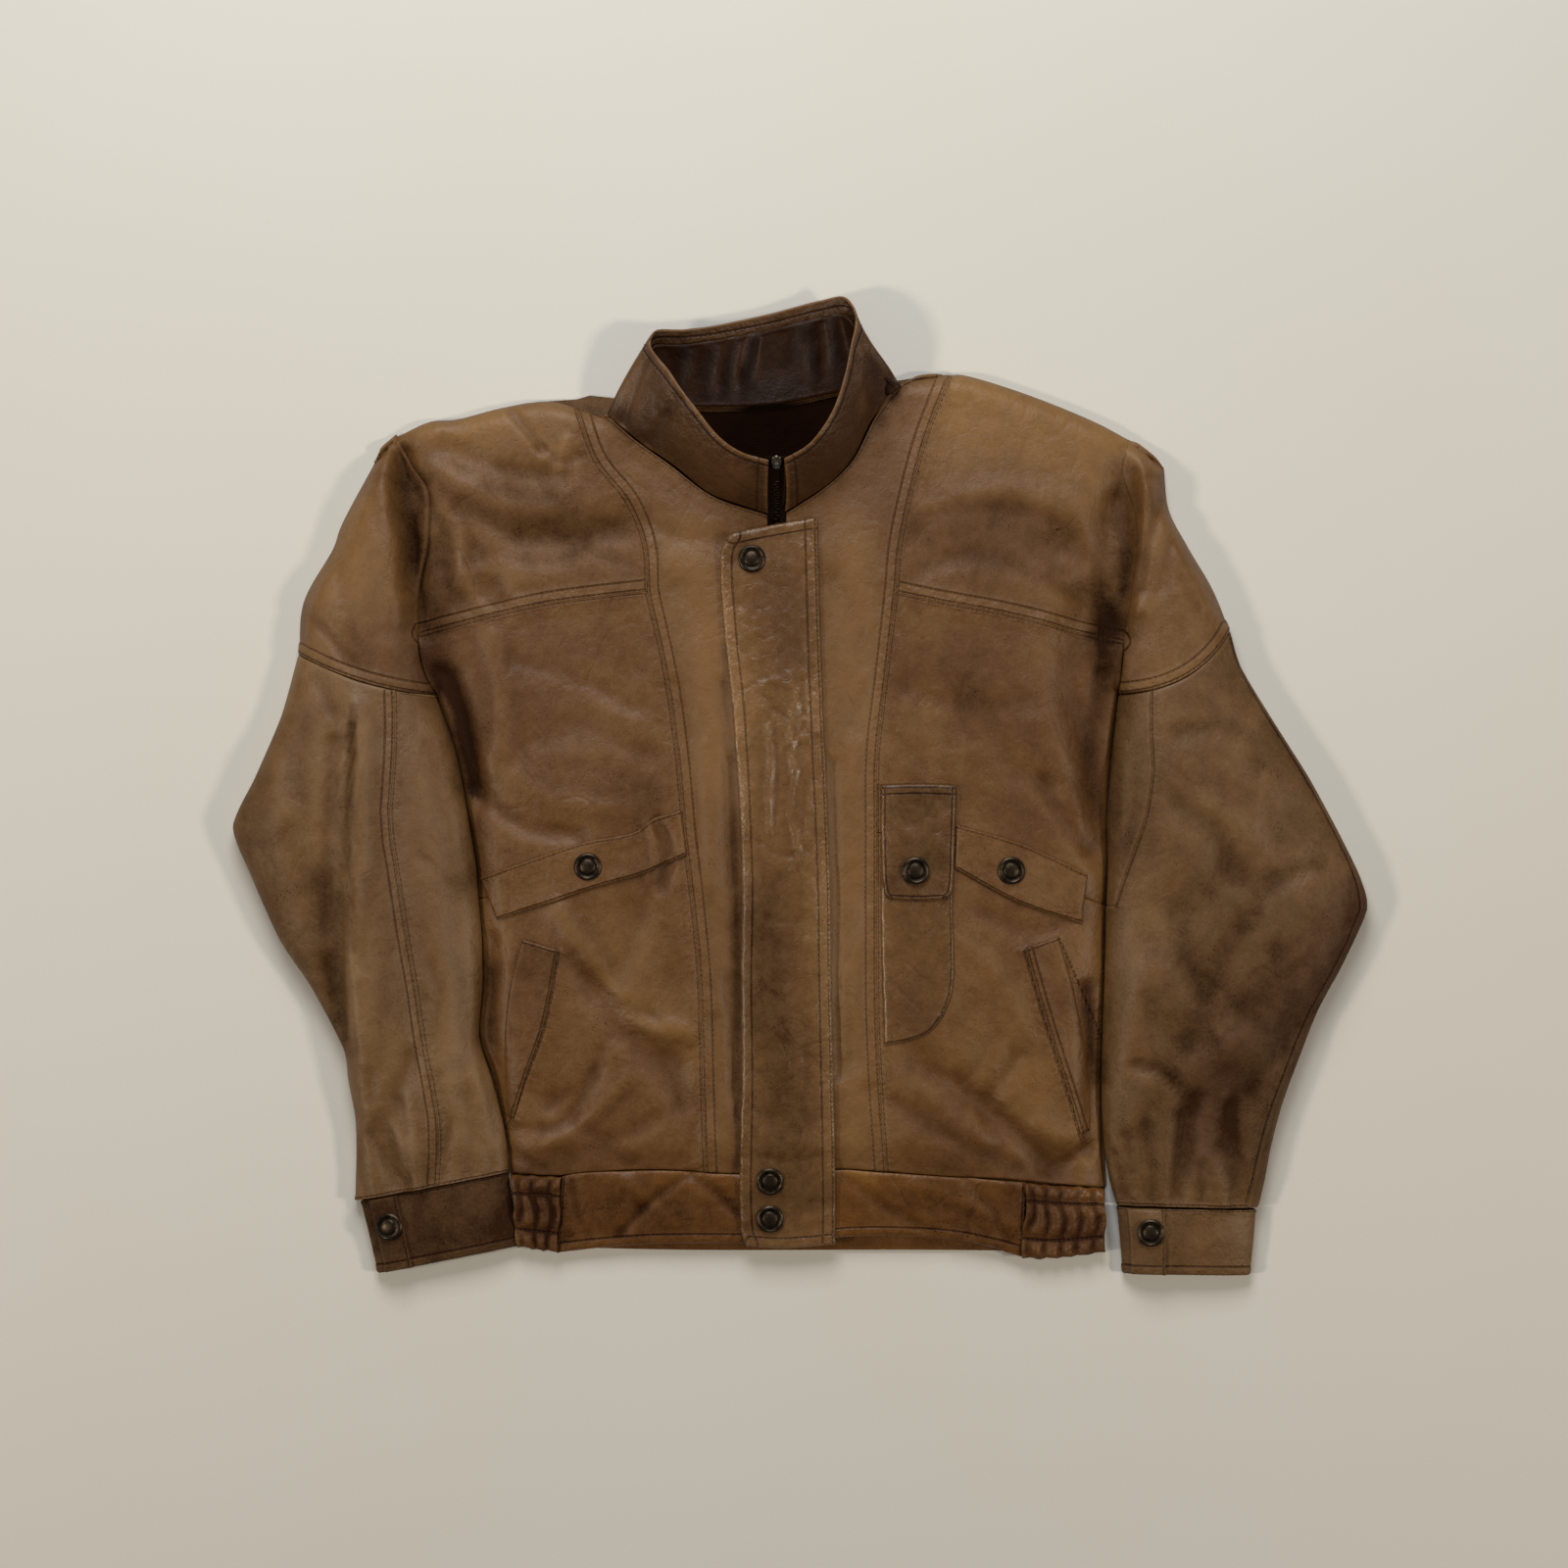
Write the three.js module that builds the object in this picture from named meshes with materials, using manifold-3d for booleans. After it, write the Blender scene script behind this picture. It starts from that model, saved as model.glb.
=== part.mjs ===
// A worn leather blouson jacket, laid flat on its back with the zip closed.
// Millimetres. +X is the wearer's left, +Y runs from the hem to the collar, +Z up.
// "Right" and "left" in the names are the wearer's, so right is at -X.
import * as THREE from "three";
import { mergeVertices } from "three/addons/utils/BufferGeometryUtils.js";
import Module from "manifold-3d";

// ---- Cloth and seams ----
const LEATHER = 2.0; // a single hide with its lining
const DOUBLE = 2.6; // folded hide: waistband, cuffs, welts and storm flap
const INNER = 1.4; // collar facing and neck lining
const SEAM_GAP = 0.3; // left between two pieces at a seam
const LAID_ON = 0.9; // clearance under a piece sewn on top of a panel
const BACK_TOP = LEATHER; // the back lies flat on the surface
const EDGE = BACK_TOP + SEAM_GAP; // height at which a front panel meets the back

// ---- How high the laid-out front stands, by height up the garment ----
const CROWN = [
  [-620, -361.5, 11], [-620, -332.5, 15], [-620, -303.5, 17], [-620, -271.5, 24], [-620, -150, 28],
  [-620, 2, 28], [-620, 154, 26], [-620, 306, 20],
];
const CROWN_FALL = 0.2; // share lost from the middle to the side
const HALF_WIDTH = 250;
const SIDE_ROLL = 24; // distance over which a side rolls down to the back
const TOP_ROLL = 15; // the same at the shoulders
const HEM_ROLL = 7;
const HEM_STAND = 3.5; // how far round that roll the open hem stops, which leaves its mouth open
const HEAD_CREST = 34; // the sleeve head at the dropped seam
const TIP_CREST = 20; // and at the point of the shoulder

// ---- Hardware ----
const SNAP_RADIUS = 10.6;
const SNAP_HEIGHT = 4.2;
const SNAP_CLEAR = 0.7; // under a cap at the middle, so that its rim clears the curved cloth
const TAPE_HALF = 9; // one zip tape, from the teeth to its outer edge
const TEETH_HALF = 2.6;
const TAPE = 1.0;

const leather = (color, roughness = 0.55) => new THREE.MeshStandardMaterial({ color, roughness, metalness: 0 });
const TAN = leather(0x725537);
const BROWN = leather(0x62472c);
const YOKE = leather(0x664830);
const SLEEVE = leather(0x5f4630);
const BAND = leather(0x51341a, 0.5);
const FLAP = leather(0x5f3e25, 0.42);
const FACING = leather(0x2e2018, 0.7);
const LINING = leather(0x241810, 0.9);
const TAPE_CLOTH = leather(0x2a1c12, 0.9);
const BRONZE = new THREE.MeshStandardMaterial({ color: 0x4a3a28, roughness: 0.4, metalness: 0.85 });
const NICKEL = new THREE.MeshStandardMaterial({ color: 0x8a8478, roughness: 0.35, metalness: 0.9 });

const garment = new THREE.Group();
garment.name = "leather_jacket";

const vec = ([x, y, z = 0]) => new THREE.Vector3(x, y, z);
const clamp01 = (value) => Math.min(1, Math.max(0, value));
const mix = (a, b, t) => a + (b - a) * t;

/** Points on a smooth line through corners: a number of even steps, or a list of shares of its length. */
function line(corners, steps) {
  const path = new THREE.CatmullRomCurve3(corners.map(vec), false, "centripetal");
  return Array.isArray(steps) ? steps.map((share) => path.getPointAt(share)) : path.getSpacedPoints(steps);
}

/** Joins legs end to end, dropping the point that two legs share. */
function chain(...legs) {
  return legs.flatMap((leg, i) => (i ? leg.slice(1) : leg));
}

/** Distance in plan from a point to a chain of points. */
function distanceTo(points, x, y) {
  let best = Infinity;
  for (let i = 1; i < points.length; i += 1) {
    const a = points[i - 1];
    const b = points[i];
    const dx = b.x - a.x;
    const dy = b.y - a.y;
    const t = clamp01(((x - a.x) * dx + (y - a.y) * dy) / (dx * dx + dy * dy));
    best = Math.min(best, Math.hypot(x - a.x - t * dx, y - a.y - t * dy));
  }
  return best;
}

/** Quarter-round rise from 0 at an edge to 1 at the given reach. */
function roll(distance, reach) {
  const t = 1 - clamp01(distance / reach);
  return Math.sqrt(1 - t * t);
}

// ---- How closely the panels are divided: finer where a side or shoulder rolls down ----
const FROM_SIDE = [0, 0.03, 0.09, 0.18, 0.34, 0.56, 0.78, 1];
const TO_SIDE = FROM_SIDE.map((share) => 1 - share).reverse();
const TO_SHOULDER = [0, 0.22, 0.46, 0.7, 0.88, 0.97, 1];
const HEM_ROWS = [0, 0.1, 0.4, 1];
const NECK_STEPS = 6;
const VALLEY = 0.1;
const CAP_ROWS = [0, 0.16, 0.34, 0.53, 0.72, 0.88, 0.97, 1];

// ---- Seam lines in plan, each from the hem end upwards or from the right to the left ----
const princess = {
  right: {
    lower: line([[-73, -300], [-75, -241.5], [-77.5, -150], [-82, -98.5], [-89.5, -36]], 9),
    chest: line([[-89.5, -36], [-94, 17], [-103.5, 85.5], [-118, 151]], 6),
    yoke: line([[-118, 151], [-120, 186], [-133, 220], [-158, 252], [-174, 295.5]], TO_SHOULDER),
  },
  left: {
    lower: line([[67, -299], [63, -241.5], [60, -180.5], [59.5, -104.5], [59.5, -36]], 9),
    chest: line([[59.5, -36], [60, 24.5], [67, 85.5], [74.5, 150]], 6),
    yoke: line([[74.5, 150], [77.5, 184.5], [83.5, 216], [97.5, 269.5], [117, 320.5]], TO_SHOULDER),
  },
};
const yokeSeam = {
  right: line(
    [[-296.5, 117.5], [-269, 124.5], [-239.5, 132], [-199, 141], [-159.5, 146.5], [-118, 151]],
    FROM_SIDE,
  ),
  left: line(
    [[74.5, 150], [111, 142.5], [150.5, 135.5], [185.5, 127.5], [217.5, 119], [251.5, 112]],
    TO_SIDE,
  ),
};
const pocketSeam = {
  right: line([[-251, -88.5], [-200.5, -73.5], [-162.5, -60.5], [-117, -50.5], [-89.5, -36]], FROM_SIDE),
  left: line([[59.5, -36], [90.5, -40], [121, -46], [172.5, -68], [238.5, -93]], TO_SIDE),
};
const waistSeam = {
  right: line([[-225.5, -300.5], [-184.5, -302], [-170, -300], [-103.5, -297.5], [-73, -300]], FROM_SIDE),
  left: line([[67, -299], [118, -303], [158, -304.5], [194, -308], [238, -312]], TO_SIDE),
};
const foldLine = {
  right: line(
    [[-296.5, 117.5], [-295, 154], [-288, 192], [-289, 230], [-302.5, 251], [-314.5, 272.5]],
    TO_SHOULDER,
  ),
  left: line(
    [[251.5, 112], [257.5, 152.5], [261.5, 184.5], [260, 214.5], [251.5, 243.5], [255.5, 271]],
    TO_SHOULDER,
  ),
};
const armhole = {
  right: line([[-283.5, 70.5], [-292, 91.5], [-296.5, 117.5]], 1),
  left: line([[248.5, 72], [249.5, 91.5], [251.5, 112]], 1),
};
const side = {
  right: {
    chest: line([[-251, -88.5], [-251.5, -69], [-257.5, -30], [-269, 27.5], [-283.5, 70.5]], 5),
    lower: line(
      [
        [-225.5, -300.5], [-228, -277], [-240, -226], [-250, -196.5], [-247, -150], [-248, -119.5],
        [-251, -88.5],
      ],
      9,
    ),
  },
  left: {
    chest: line([[238.5, -93], [240, -59], [240, -29.5], [243, 21.5], [248.5, 72]], 5),
    lower: line([[238, -312], [235.5, -271.5], [235, -236.5], [237, -155.5], [238.5, -93]], 9),
  },
};
const shoulder = {
  right: line(
    [[-314.5, 272.5], [-288, 284.5], [-269, 286], [-231, 295.5], [-195.5, 300.5], [-174, 295.5]],
    7,
  ),
  left: line([[117, 320.5], [126, 321], [172.5, 307.5], [231, 284], [255.5, 271]], 7),
};
const capEdge = {
  right: line(
    [[-390.5, 103.5], [-387, 143.5], [-363.5, 186.5], [-358, 202.5], [-331.5, 252.5]],
    CAP_ROWS,
  ),
  left: line([[335, 122.5], [322, 154], [302.5, 187.5], [288, 216], [284, 249]], CAP_ROWS),
};
const neck = {
  right: line(
    [[-174, 295.5], [-151, 287.5], [-127.5, 268.5], [-101, 249.5], [-67, 224.5], [-25, 210]],
    NECK_STEPS,
  ),
  left: line(
    [[-10.5, 211.5], [20, 232], [40.5, 252], [61.5, 290.5], [85, 316], [117, 320.5]],
    NECK_STEPS,
  ),
};
const hem = {
  right: line([[-219, -358.5], [-189, -363], [-147.5, -358.5], [-109.5, -356], [-14.5, -356]], 9),
  left: line([[-6, -356], [42, -350.5], [114, -352.5], [149.5, -359], [195.5, -367.5], [237, -363]], 9),
};
const frontEdge = {
  right: line([[-12, -300.5], [-15, -150], [-20, 2], [-23, 116], [-25, 210]], 21),
  left: line([[-4.5, -300.5], [-6, -150], [-9, 2], [-10.5, 116], [-10.5, 211.5]], 21),
};

// ---- The largest folds: [from, to, depth, half width]; a negative depth is a ridge ----
const FOLDS = [
  [[-289, 230], [-240, 161.5], 6, 13],
  [[-313, 266.5], [-263, 252.5], 4, 12],
  [[-293.5, 154], [-225, 173], -4, 15],
  [[250, 243.5], [255.5, 154], 7, 12],
  [[208, 184.5], [246, 123.5], 4, 14],
  [[-164, -157.5], [-88, -241.5], 3.5, 12],
  [[-194.5, -241.5], [-134, -294.5], 3, 10],
  [[94, -211], [200.5, -294.5], 3.5, 13],
  [[-51.5, 17], [-50, -233.5], 3, 8],
  [[-344.5, 61], [-352.5, -74], -5, 13],
  [[-352.5, -74], [-357, -150], -4, 12],
  [[-342, -150], [-337.5, -256.5], -4, 10],
  [[-328.5, -259.5], [-306.5, -313.5], 4, 8],
  [[-304, -275.5], [-298, -313.5], -3, 7],
  [[-263, -241.5], [-286, -302], 3, 9],
  [[269, -142.5], [360, -211], -4, 16],
  [[295.5, -255], [292, -320.5], 5, 8],
  [[254, -271.5], [254, -321], 4, 7],
  [[311, -287], [311.5, -322.5], -4, 8],
  [[368, -43.5], [292, -97], 4, 18],
];

const sideLines = [
  chain(side.right.lower, side.right.chest),
  chain(side.left.lower, side.left.chest),
];
const topLines = [
  chain(capEdge.right, shoulder.right), chain(shoulder.left, capEdge.left.slice().reverse()),
];
topLines[0].push(vec([-155, 290]));
topLines[1].unshift(vec([88, 316.5]));

/** Height lost to the folds that pass near a point. */
function foldDepth(x, y) {
  return FOLDS.reduce((sum, [from, to, depth, width]) => {
    const away = distanceTo([vec(from), vec(to)], x, y) / width;
    return sum + (away < 3 ? depth * Math.exp(-away * away) : 0);
  }, 0);
}

/** Height of the laid-out crown at a distance up the garment. */
function crown(y) {
  const last = CROWN.length - 1;
  const i = Math.max(1, CROWN.findIndex((key, n) => n === last || y < key[1]));
  const [, y0, z0] = CROWN[i - 1];
  const [, y1, z1] = CROWN[i];
  const t = clamp01((y - y0) / (y1 - y0));
  return mix(z0, z1, t * t * (3 - 2 * t));
}

/** Height of the front's outer face over the table. */
function front(x, y) {
  const top = crown(y) * (1 - CROWN_FALL * Math.min(1, (x / HALF_WIDTH) ** 2)) - foldDepth(x, y);
  const sides = Math.min(...sideLines.map((edge) => roll(distanceTo(edge, x, y), SIDE_ROLL)));
  const tops = Math.min(...topLines.map((edge) => roll(distanceTo(edge, x, y), TOP_ROLL)));
  return EDGE + Math.max(0, top - EDGE) * sides * tops;
}

/** Grid of plan points between four border lines; rows run from the first line to the second. */
function fill(bottom, top, start, end) {
  const rows = start.length - 1;
  const columns = bottom.length - 1;
  return start.map((_, r) =>
    bottom.map((__, c) => {
      const u = c / columns;
      const v = r / rows;
      const point = bottom[c].clone().multiplyScalar(1 - v).addScaledVector(top[c], v);
      point.addScaledVector(start[r], 1 - u).addScaledVector(end[r], u);
      point.addScaledVector(bottom[0], -(1 - u) * (1 - v)).addScaledVector(bottom[columns], -u * (1 - v));
      return point.addScaledVector(top[0], -(1 - u) * v).addScaledVector(top[columns], -u * v);
    }),
  );
}

/** Lifts plan points onto a height. */
function raise(grid, height = front, lift = 0) {
  return grid.map((row) => row.map((p) => new THREE.Vector3(p.x, p.y, height(p.x, p.y) + lift)));
}

const keyOf = (p) => [p.x, p.y, p.z].map((v) => Math.round(v * 200)).join(" ");

/** Welds grids of points into one open skin that faces away from the core. */
function skin(grids, core) {
  const points = [];
  const index = new Map();
  const faces = [];
  const id = (p) => {
    const key = keyOf(p);
    if (!index.has(key)) {
      index.set(key, points.length);
      points.push(p.clone());
    }
    return index.get(key);
  };
  for (const grid of grids) {
    const own = [];
    for (let r = 1; r < grid.length; r += 1) {
      for (let c = 1; c < grid[r].length; c += 1) {
        const quad = [grid[r - 1][c - 1], grid[r - 1][c], grid[r][c], grid[r][c - 1]].map(id);
        for (const face of [[quad[0], quad[1], quad[2]], [quad[0], quad[2], quad[3]]]) {
          if (new Set(face).size === 3) own.push(face);
        }
      }
    }
    const flux = own.reduce((sum, face) => {
      const [a, b, c] = face.map((i) => points[i]);
      const normal = b.clone().sub(a).cross(c.clone().sub(a));
      return sum + normal.dot(a.clone().sub(core));
    }, 0);
    if (flux < 0) own.forEach((face) => face.reverse());
    faces.push(...own);
  }
  return { points, faces };
}

/** Direction out of the skin at each of its points. */
function normalsOf({ points, faces }) {
  const normals = points.map(() => new THREE.Vector3());
  for (const face of faces) {
    const [a, b, c] = face.map((i) => points[i]);
    const normal = b.clone().sub(a).cross(c.clone().sub(a)).normalize();
    face.forEach((from, k) => {
      const one = points[face[(k + 1) % 3]].clone().sub(points[from]);
      const two = points[face[(k + 2) % 3]].clone().sub(points[from]);
      normals[from].addScaledVector(normal, one.angleTo(two));
    });
  }
  return normals.map((normal) => normal.normalize());
}

/** The same directions, looked up by place, so that neighbours at a seam share them. */
function sharedNormals(surface) {
  const normals = normalsOf(surface);
  return new Map(surface.points.map((p, i) => [keyOf(p), normals[i]]));
}

/** Turns an open skin into a closed wall; the skin is its outer face, drawn in by half a seam gap. */
function wall(surface, thickness, { lowest = -Infinity, shared = new Map() } = {}) {
  const { points, faces } = surface;
  const own = normalsOf(surface);
  const normals = points.map((p, i) => shared.get(keyOf(p)) ?? own[i]);
  const edges = new Map();
  for (const face of faces) {
    face.forEach((from, k) => {
      const to = face[(k + 1) % 3];
      if (!edges.delete(`${to} ${from}`)) edges.set(`${from} ${to}`, [from, to]);
    });
  }
  const border = [...edges.values()];
  const inward = new Map();
  for (const [from, to] of border) {
    const along = points[to].clone().sub(points[from]).normalize();
    for (const i of [from, to]) {
      const step = normals[i].clone().cross(along).normalize();
      inward.set(i, [...(inward.get(i) ?? []), step]);
    }
  }
  for (const [i, steps] of inward) {
    const middle = steps.reduce((sum, step) => sum.add(step), new THREE.Vector3()).normalize();
    const valley = own[i].clone().sub(normals[i]).dot(middle) < -VALLEY;
    if (valley) normals[i] = own[i]; // walls that meet in a valley lean apart by themselves
    const spread = Math.max(0.5, middle.dot(steps[0]));
    points[i].addScaledVector(middle, SEAM_GAP / 2 / spread);
  }
  const count = points.length;
  const inner = points.map((p, i) => p.clone().addScaledVector(normals[i], -thickness));
  inner.forEach((p) => p.setZ(Math.max(p.z, lowest)));
  const solid = new THREE.BufferGeometry().setFromPoints([...points, ...inner]);
  const index = faces.flatMap(([a, b, c]) => [a, b, c, c + count, b + count, a + count]);
  for (const [from, to] of border) {
    index.push(to, from, from + count, to, from + count, to + count);
  }
  solid.setIndex(index);
  return solid;
}

/** Adds a named mesh to the garment. */
function add(name, geometry, material) {
  geometry.computeVertexNormals();
  const mesh = new THREE.Mesh(geometry, material);
  mesh.name = name;
  garment.add(mesh);
  return mesh;
}

const BELOW = new THREE.Vector3(0, 0, -1e5);
const backwards = (points) => points.slice().reverse();

// ---- Sleeves: flattened tubes, by stations from the dropped shoulder seam to the cuff ----
/** Each station: inner point, outer point, crown, edge height, and how far its middle bows towards the cuff. */
const ARMS = {
  right: [
    [
      [-283.5, 70.5], [-390.5, 103.5], 34, EDGE, 6,
    ], [[-276.5, 49], [-403.5, 55], 36, 6, 5], [[-267, 21], [-422.5, 9.5], 39, 9, 3],
    [[-258, -24.5], [-441, -31], 40, 10, 0], [[-251, -69], [-427, -69], 39, 10, 0], [
      [-247.5, -116], [-404.5, -119.5], 38, 9, 0,
    ],
    [[-247, -154], [-380, -156], 36, 9, 0], [
      [-249.5, -195.5], [-355, -203.5], 34, 9, 0,
    ], [[-239, -230], [-351, -230], 33, 9, 0],
    [
      [-232, -256.5], [-346, -256.5], 31, 8, 0,
    ], [[-228, -279.5], [-345, -281], 29, 8, 0], [[-227, -300], [-346, -322], 23, 8, 0],
  ],
  left: [
    [[248.5, 72], [335, 122.5], 34, EDGE, 14], [[245, 40], [343.5, 93], 36, 6, 9], [[242, 5.5], [368, 51.5], 38, 9, 5],
    [[240, -29.5], [396, 7], 40, 10, 0], [[240, -59], [419, -35.5], 40, 10, 0], [[238.5, -93], [436, -70.5], 40, 10, 0],
    [[238, -116], [441.5, -95.5], 39, 10, 0], [
      [237, -152.5], [422.5, -138.5], 38, 9, 0,
    ], [[236, -184.5], [403, -174.5], 37, 9, 0],
    [[235, -218.5], [387.5, -214], 35, 9, 0], [[235, -249], [375.5, -247.5], 33, 8, 0], [[237, -279.5], [367, -279.5], 31, 8, 0],
    [[241, -304.5], [362, -306.5], 28, 8, 0], [[247, -325.5], [357, -327.5], 22, 8, 0],
  ],
};
const CUFFS = {
  right: [
    [[-227, -300.5], [-342, -322.5], 20, 7, 0], [[-222.5, -329.5], [-335, -350.5], 20, 7, 0],
    [[-219, -357.5], [-328.5, -379], 16, 7, 0],
  ],
  left: [
    [[247, -327], [355.5, -329], 20, 7, 0], [[249.5, -352.5], [353.5, -354.5], 20, 7, 0],
    [[251.5, -379], [350.5, -380.5], 16, 7, 0],
  ],
};
const ROUNDING = 2.4; // how full the upper face is between its edges
const FLATNESS = 9; // how far the lower face lies flat on the table
const UNDER_SEAM = 1.5; // the second sleeve seam, halfway across underneath
const UNDER_STEPS = 3;
const GUSSET_ROW = 5; // station at the point of the left underarm gusset

/** Outer height of a flattened tube across its width: the upper face, or the one on the table. */
function tubeHeight(across, crest, edge, upper) {
  const reach = Math.min(1, Math.abs(across));
  if (upper) return edge + (crest - edge) * (1 - reach ** ROUNDING) ** (1 / ROUNDING);
  return edge * (1 - (1 - reach ** FLATNESS) ** (1 / FLATNESS));
}

/** Place across a tube, -1 at the outer edge to 1 at the inner, for a turn of 0 to 1 over and 1 to 2 under. */
function acrossAt(turn) {
  const share = turn <= 1 ? turn : 2 - turn;
  return 2 * mix(share, 0.5 - 0.5 * Math.cos(Math.PI * share), 0.75) - 1;
}

/** Point of a station's ring at a turn. */
function ringPoint([inner, outer, crest, edge, bow], turn, folded = true) {
  const upper = turn <= 1;
  const across = acrossAt(turn);
  const p = vec(outer).lerp(vec(inner), (across + 1) / 2);
  const along = vec(inner).sub(vec(outer)).normalize();
  const down = new THREE.Vector3(along.y, -along.x, 0);
  if (down.y > 0) down.negate();
  p.addScaledVector(down, bow * (1 - across * across));
  p.z = tubeHeight(across, crest, edge, upper);
  if (upper && folded) p.z = Math.max(edge, p.z - foldDepth(p.x, p.y) * (1 - across ** 8));
  return p;
}

/** Turns from one seam to another in even steps. */
const turns = (from, to, steps) => Array.from({ length: steps + 1 }, (_, k) => mix(from, to, k / steps));

/** Turns of a station's points over the top of the arm, with a point on each seam that shows. */
function topTurns(hand, i) {
  if (hand === "right") {
    const seam = mix(0.67, 0.53, i / (ARMS.right.length - 1));
    return chain(turns(0, seam, 5), turns(seam, 1, 4));
  }
  const elbow = i < GUSSET_ROW ? 0.05 : mix(
    0.06, 0.17, (i - GUSSET_ROW) / (ARMS.left.length - 1 - GUSSET_ROW),
  );
  const gusset = [0.72, 0.7, 0.7, 0.75, 0.84][i] ?? 0.93;
  return chain(turns(0, elbow, 1), turns(elbow, gusset, 7), turns(gusset, 1, 2));
}
const SEAM_AT = { right: 5, elbow: 1, gusset: 8 };
const headTurns = { right: topTurns("right", 0), left: topTurns("left", 0) };
const underTurns = turns(1, 2, 2 * UNDER_STEPS);
const headSeam = {
  right: headTurns.right.map((turn) => ringPoint(ARMS.right[0], turn)),
  left: headTurns.left.map((turn) => ringPoint(ARMS.left[0], turn)),
};

// ---- Front panels ----
const fronts = [];

/** Centre front, from the zip to the princess seam. */
function centreFront(hand) {
  const seam = chain(princess[hand].lower, princess[hand].chest, princess[hand].yoke);
  const right = hand === "right";
  const bottom = right ? line(
    [[-73, -300], [-46.5, -300.5], [-12, -300.5]], NECK_STEPS,
  ) : line([[-4.5, -300.5], [29, -297], [67, -299]], NECK_STEPS);
  const grid = right
    ? fill(bottom, neck.right, seam, frontEdge.right)
    : fill(bottom, neck.left, frontEdge.left, seam);
  fronts.push({ name: `front_centre_${hand}`, grids: [raise(grid)], material: TAN });
}

/** Yoke: the shoulder over the chest, running out over the sleeve head to the dropped seam. */
function yoke(hand) {
  const right = hand === "right";
  const seam = princess[hand].yoke;
  const body = right
    ? fill(yokeSeam.right, shoulder.right, foldLine.right, seam)
    : fill(yokeSeam.left, shoulder.left, seam, foldLine.left);
  const inner = chain(armhole[hand], foldLine[hand]);
  const rim = right ? [
    [-331.5, 252.5], [-324, 263.5], [-314.5, 272.5],
  ] : [[284, 249], [269, 260.5], [255.5, 271]];
  const tip = line(rim, headSeam[hand].length - 1);
  const head = fill(headSeam[hand], tip, capEdge[hand], inner);
  const rows = head.length - 1;
  const lifted = head.map((row, r) => {
    if (r === 0) return headSeam[hand];
    const fold = front(row.at(-1).x, row.at(-1).y);
    const crest = mix(HEAD_CREST, TIP_CREST, (r / rows) ** 2);
    return row.map((p, c) => {
      if (c === row.length - 1) return new THREE.Vector3(p.x, p.y, fold);
      const across = acrossAt(headTurns[hand][c]);
      const base = mix(EDGE, fold, (across + 1) / 2);
      const full = base + (crest - base) * (1 - Math.abs(across) ** ROUNDING) ** (1 / ROUNDING);
      const tops = roll(distanceTo(topLines[right ? 0 : 1], p.x, p.y), TOP_ROLL);
      const dip = foldDepth(p.x, p.y) * (1 - across ** 8);
      return new THREE.Vector3(p.x, p.y, EDGE + Math.max(0, full - dip - EDGE) * tops);
    });
  });
  fronts.push({ name: `front_yoke_${hand}`, grids: [raise(body), lifted], material: YOKE });
}

/** Chest panel, between the yoke seam and the chest pocket. */
function chest(hand) {
  const outer = chain(side[hand].chest, armhole[hand]);
  const seam = princess[hand].chest;
  const [near, far] = hand === "right" ? [outer, seam] : [seam, outer];
  const grid = fill(pocketSeam[hand], yokeSeam[hand], near, far);
  fronts.push({ name: `front_chest_${hand}`, grids: [raise(grid)], material: BROWN });
}

/** Lower front, between the chest pocket and the waist seam. */
function lowerFront(hand) {
  const seam = princess[hand].lower;
  const [near, far] = hand === "right" ? [side.right.lower, seam] : [seam, side.left.lower];
  const grid = fill(waistSeam[hand], pocketSeam[hand], near, far);
  fronts.push({ name: `front_lower_${hand}`, grids: [raise(grid)], material: BROWN });
}

for (const hand of ["right", "left"]) {
  centreFront(hand);
  yoke(hand);
  chest(hand);
  lowerFront(hand);
}
const frontNormals = sharedNormals(skin(fronts.flatMap(({ grids }) => grids), BELOW));
for (const { name, grids, material } of fronts) {
  add(name, wall(skin(grids, BELOW), LEATHER, { lowest: EDGE, shared: frontNormals }), material);
}

// ---- Back, one hide from the neck to the waist, with its lining and waistband ----
/** Flat piece lying at a height, cut to an outline. */
function flat(outline, bottom, thickness) {
  const points = outline.map((p) => new THREE.Vector3(p.x, p.y, bottom + thickness));
  const faces = THREE.ShapeUtils.triangulateShape(points.map((p) => new THREE.Vector2(p.x, p.y)), []);
  const upward = THREE.ShapeUtils.isClockWise(points) ? faces.map((face) => [...face].reverse()) : faces;
  return wall({ points, faces: upward }, thickness);
}

const backNeck = line(
  [[-145, 303], [-126, 299], [-83.5, 297], [-23.5, 298.5], [26, 308], [56, 313.5], [85, 318]],
  8,
);
const HEAD_CLEAR = new THREE.Vector3(0, 0.6, 0);
const underHead = {
  right: underTurns.map((turn) => ringPoint(ARMS.right[0], turn).add(HEAD_CLEAR)),
  left: underTurns.map((turn) => ringPoint(ARMS.left[0], turn).add(HEAD_CLEAR)),
};
const backWaist = line([[-225.5, -300.5], [-164, -305], [3, -306.5], [170, -306.5], [238, -312]], 5);
const backOutline = chain(
  backWaist,
  side.left.lower,
  side.left.chest,
  underHead.left,
  capEdge.left,
  line([[284, 249], [269, 260.5], [255.5, 271]], 2),
  backwards(shoulder.left),
  [vec([117, 320.5]), vec([103.5, 321]), vec([85, 318])],
  backwards(backNeck),
  [vec([-145, 303]), vec([-164, 305]), vec([-174, 302]), vec([-195.5, 300.5])],
  backwards(shoulder.right).slice(2),
  line([[-314.5, 272.5], [-324, 263.5], [-331.5, 252.5]], 2),
  backwards(capEdge.right),
  backwards(underHead.right),
  backwards(side.right.chest),
  backwards(side.right.lower).slice(0, -1),
);
add("back_body", flat(backOutline, 0, LEATHER), BROWN);
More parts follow.
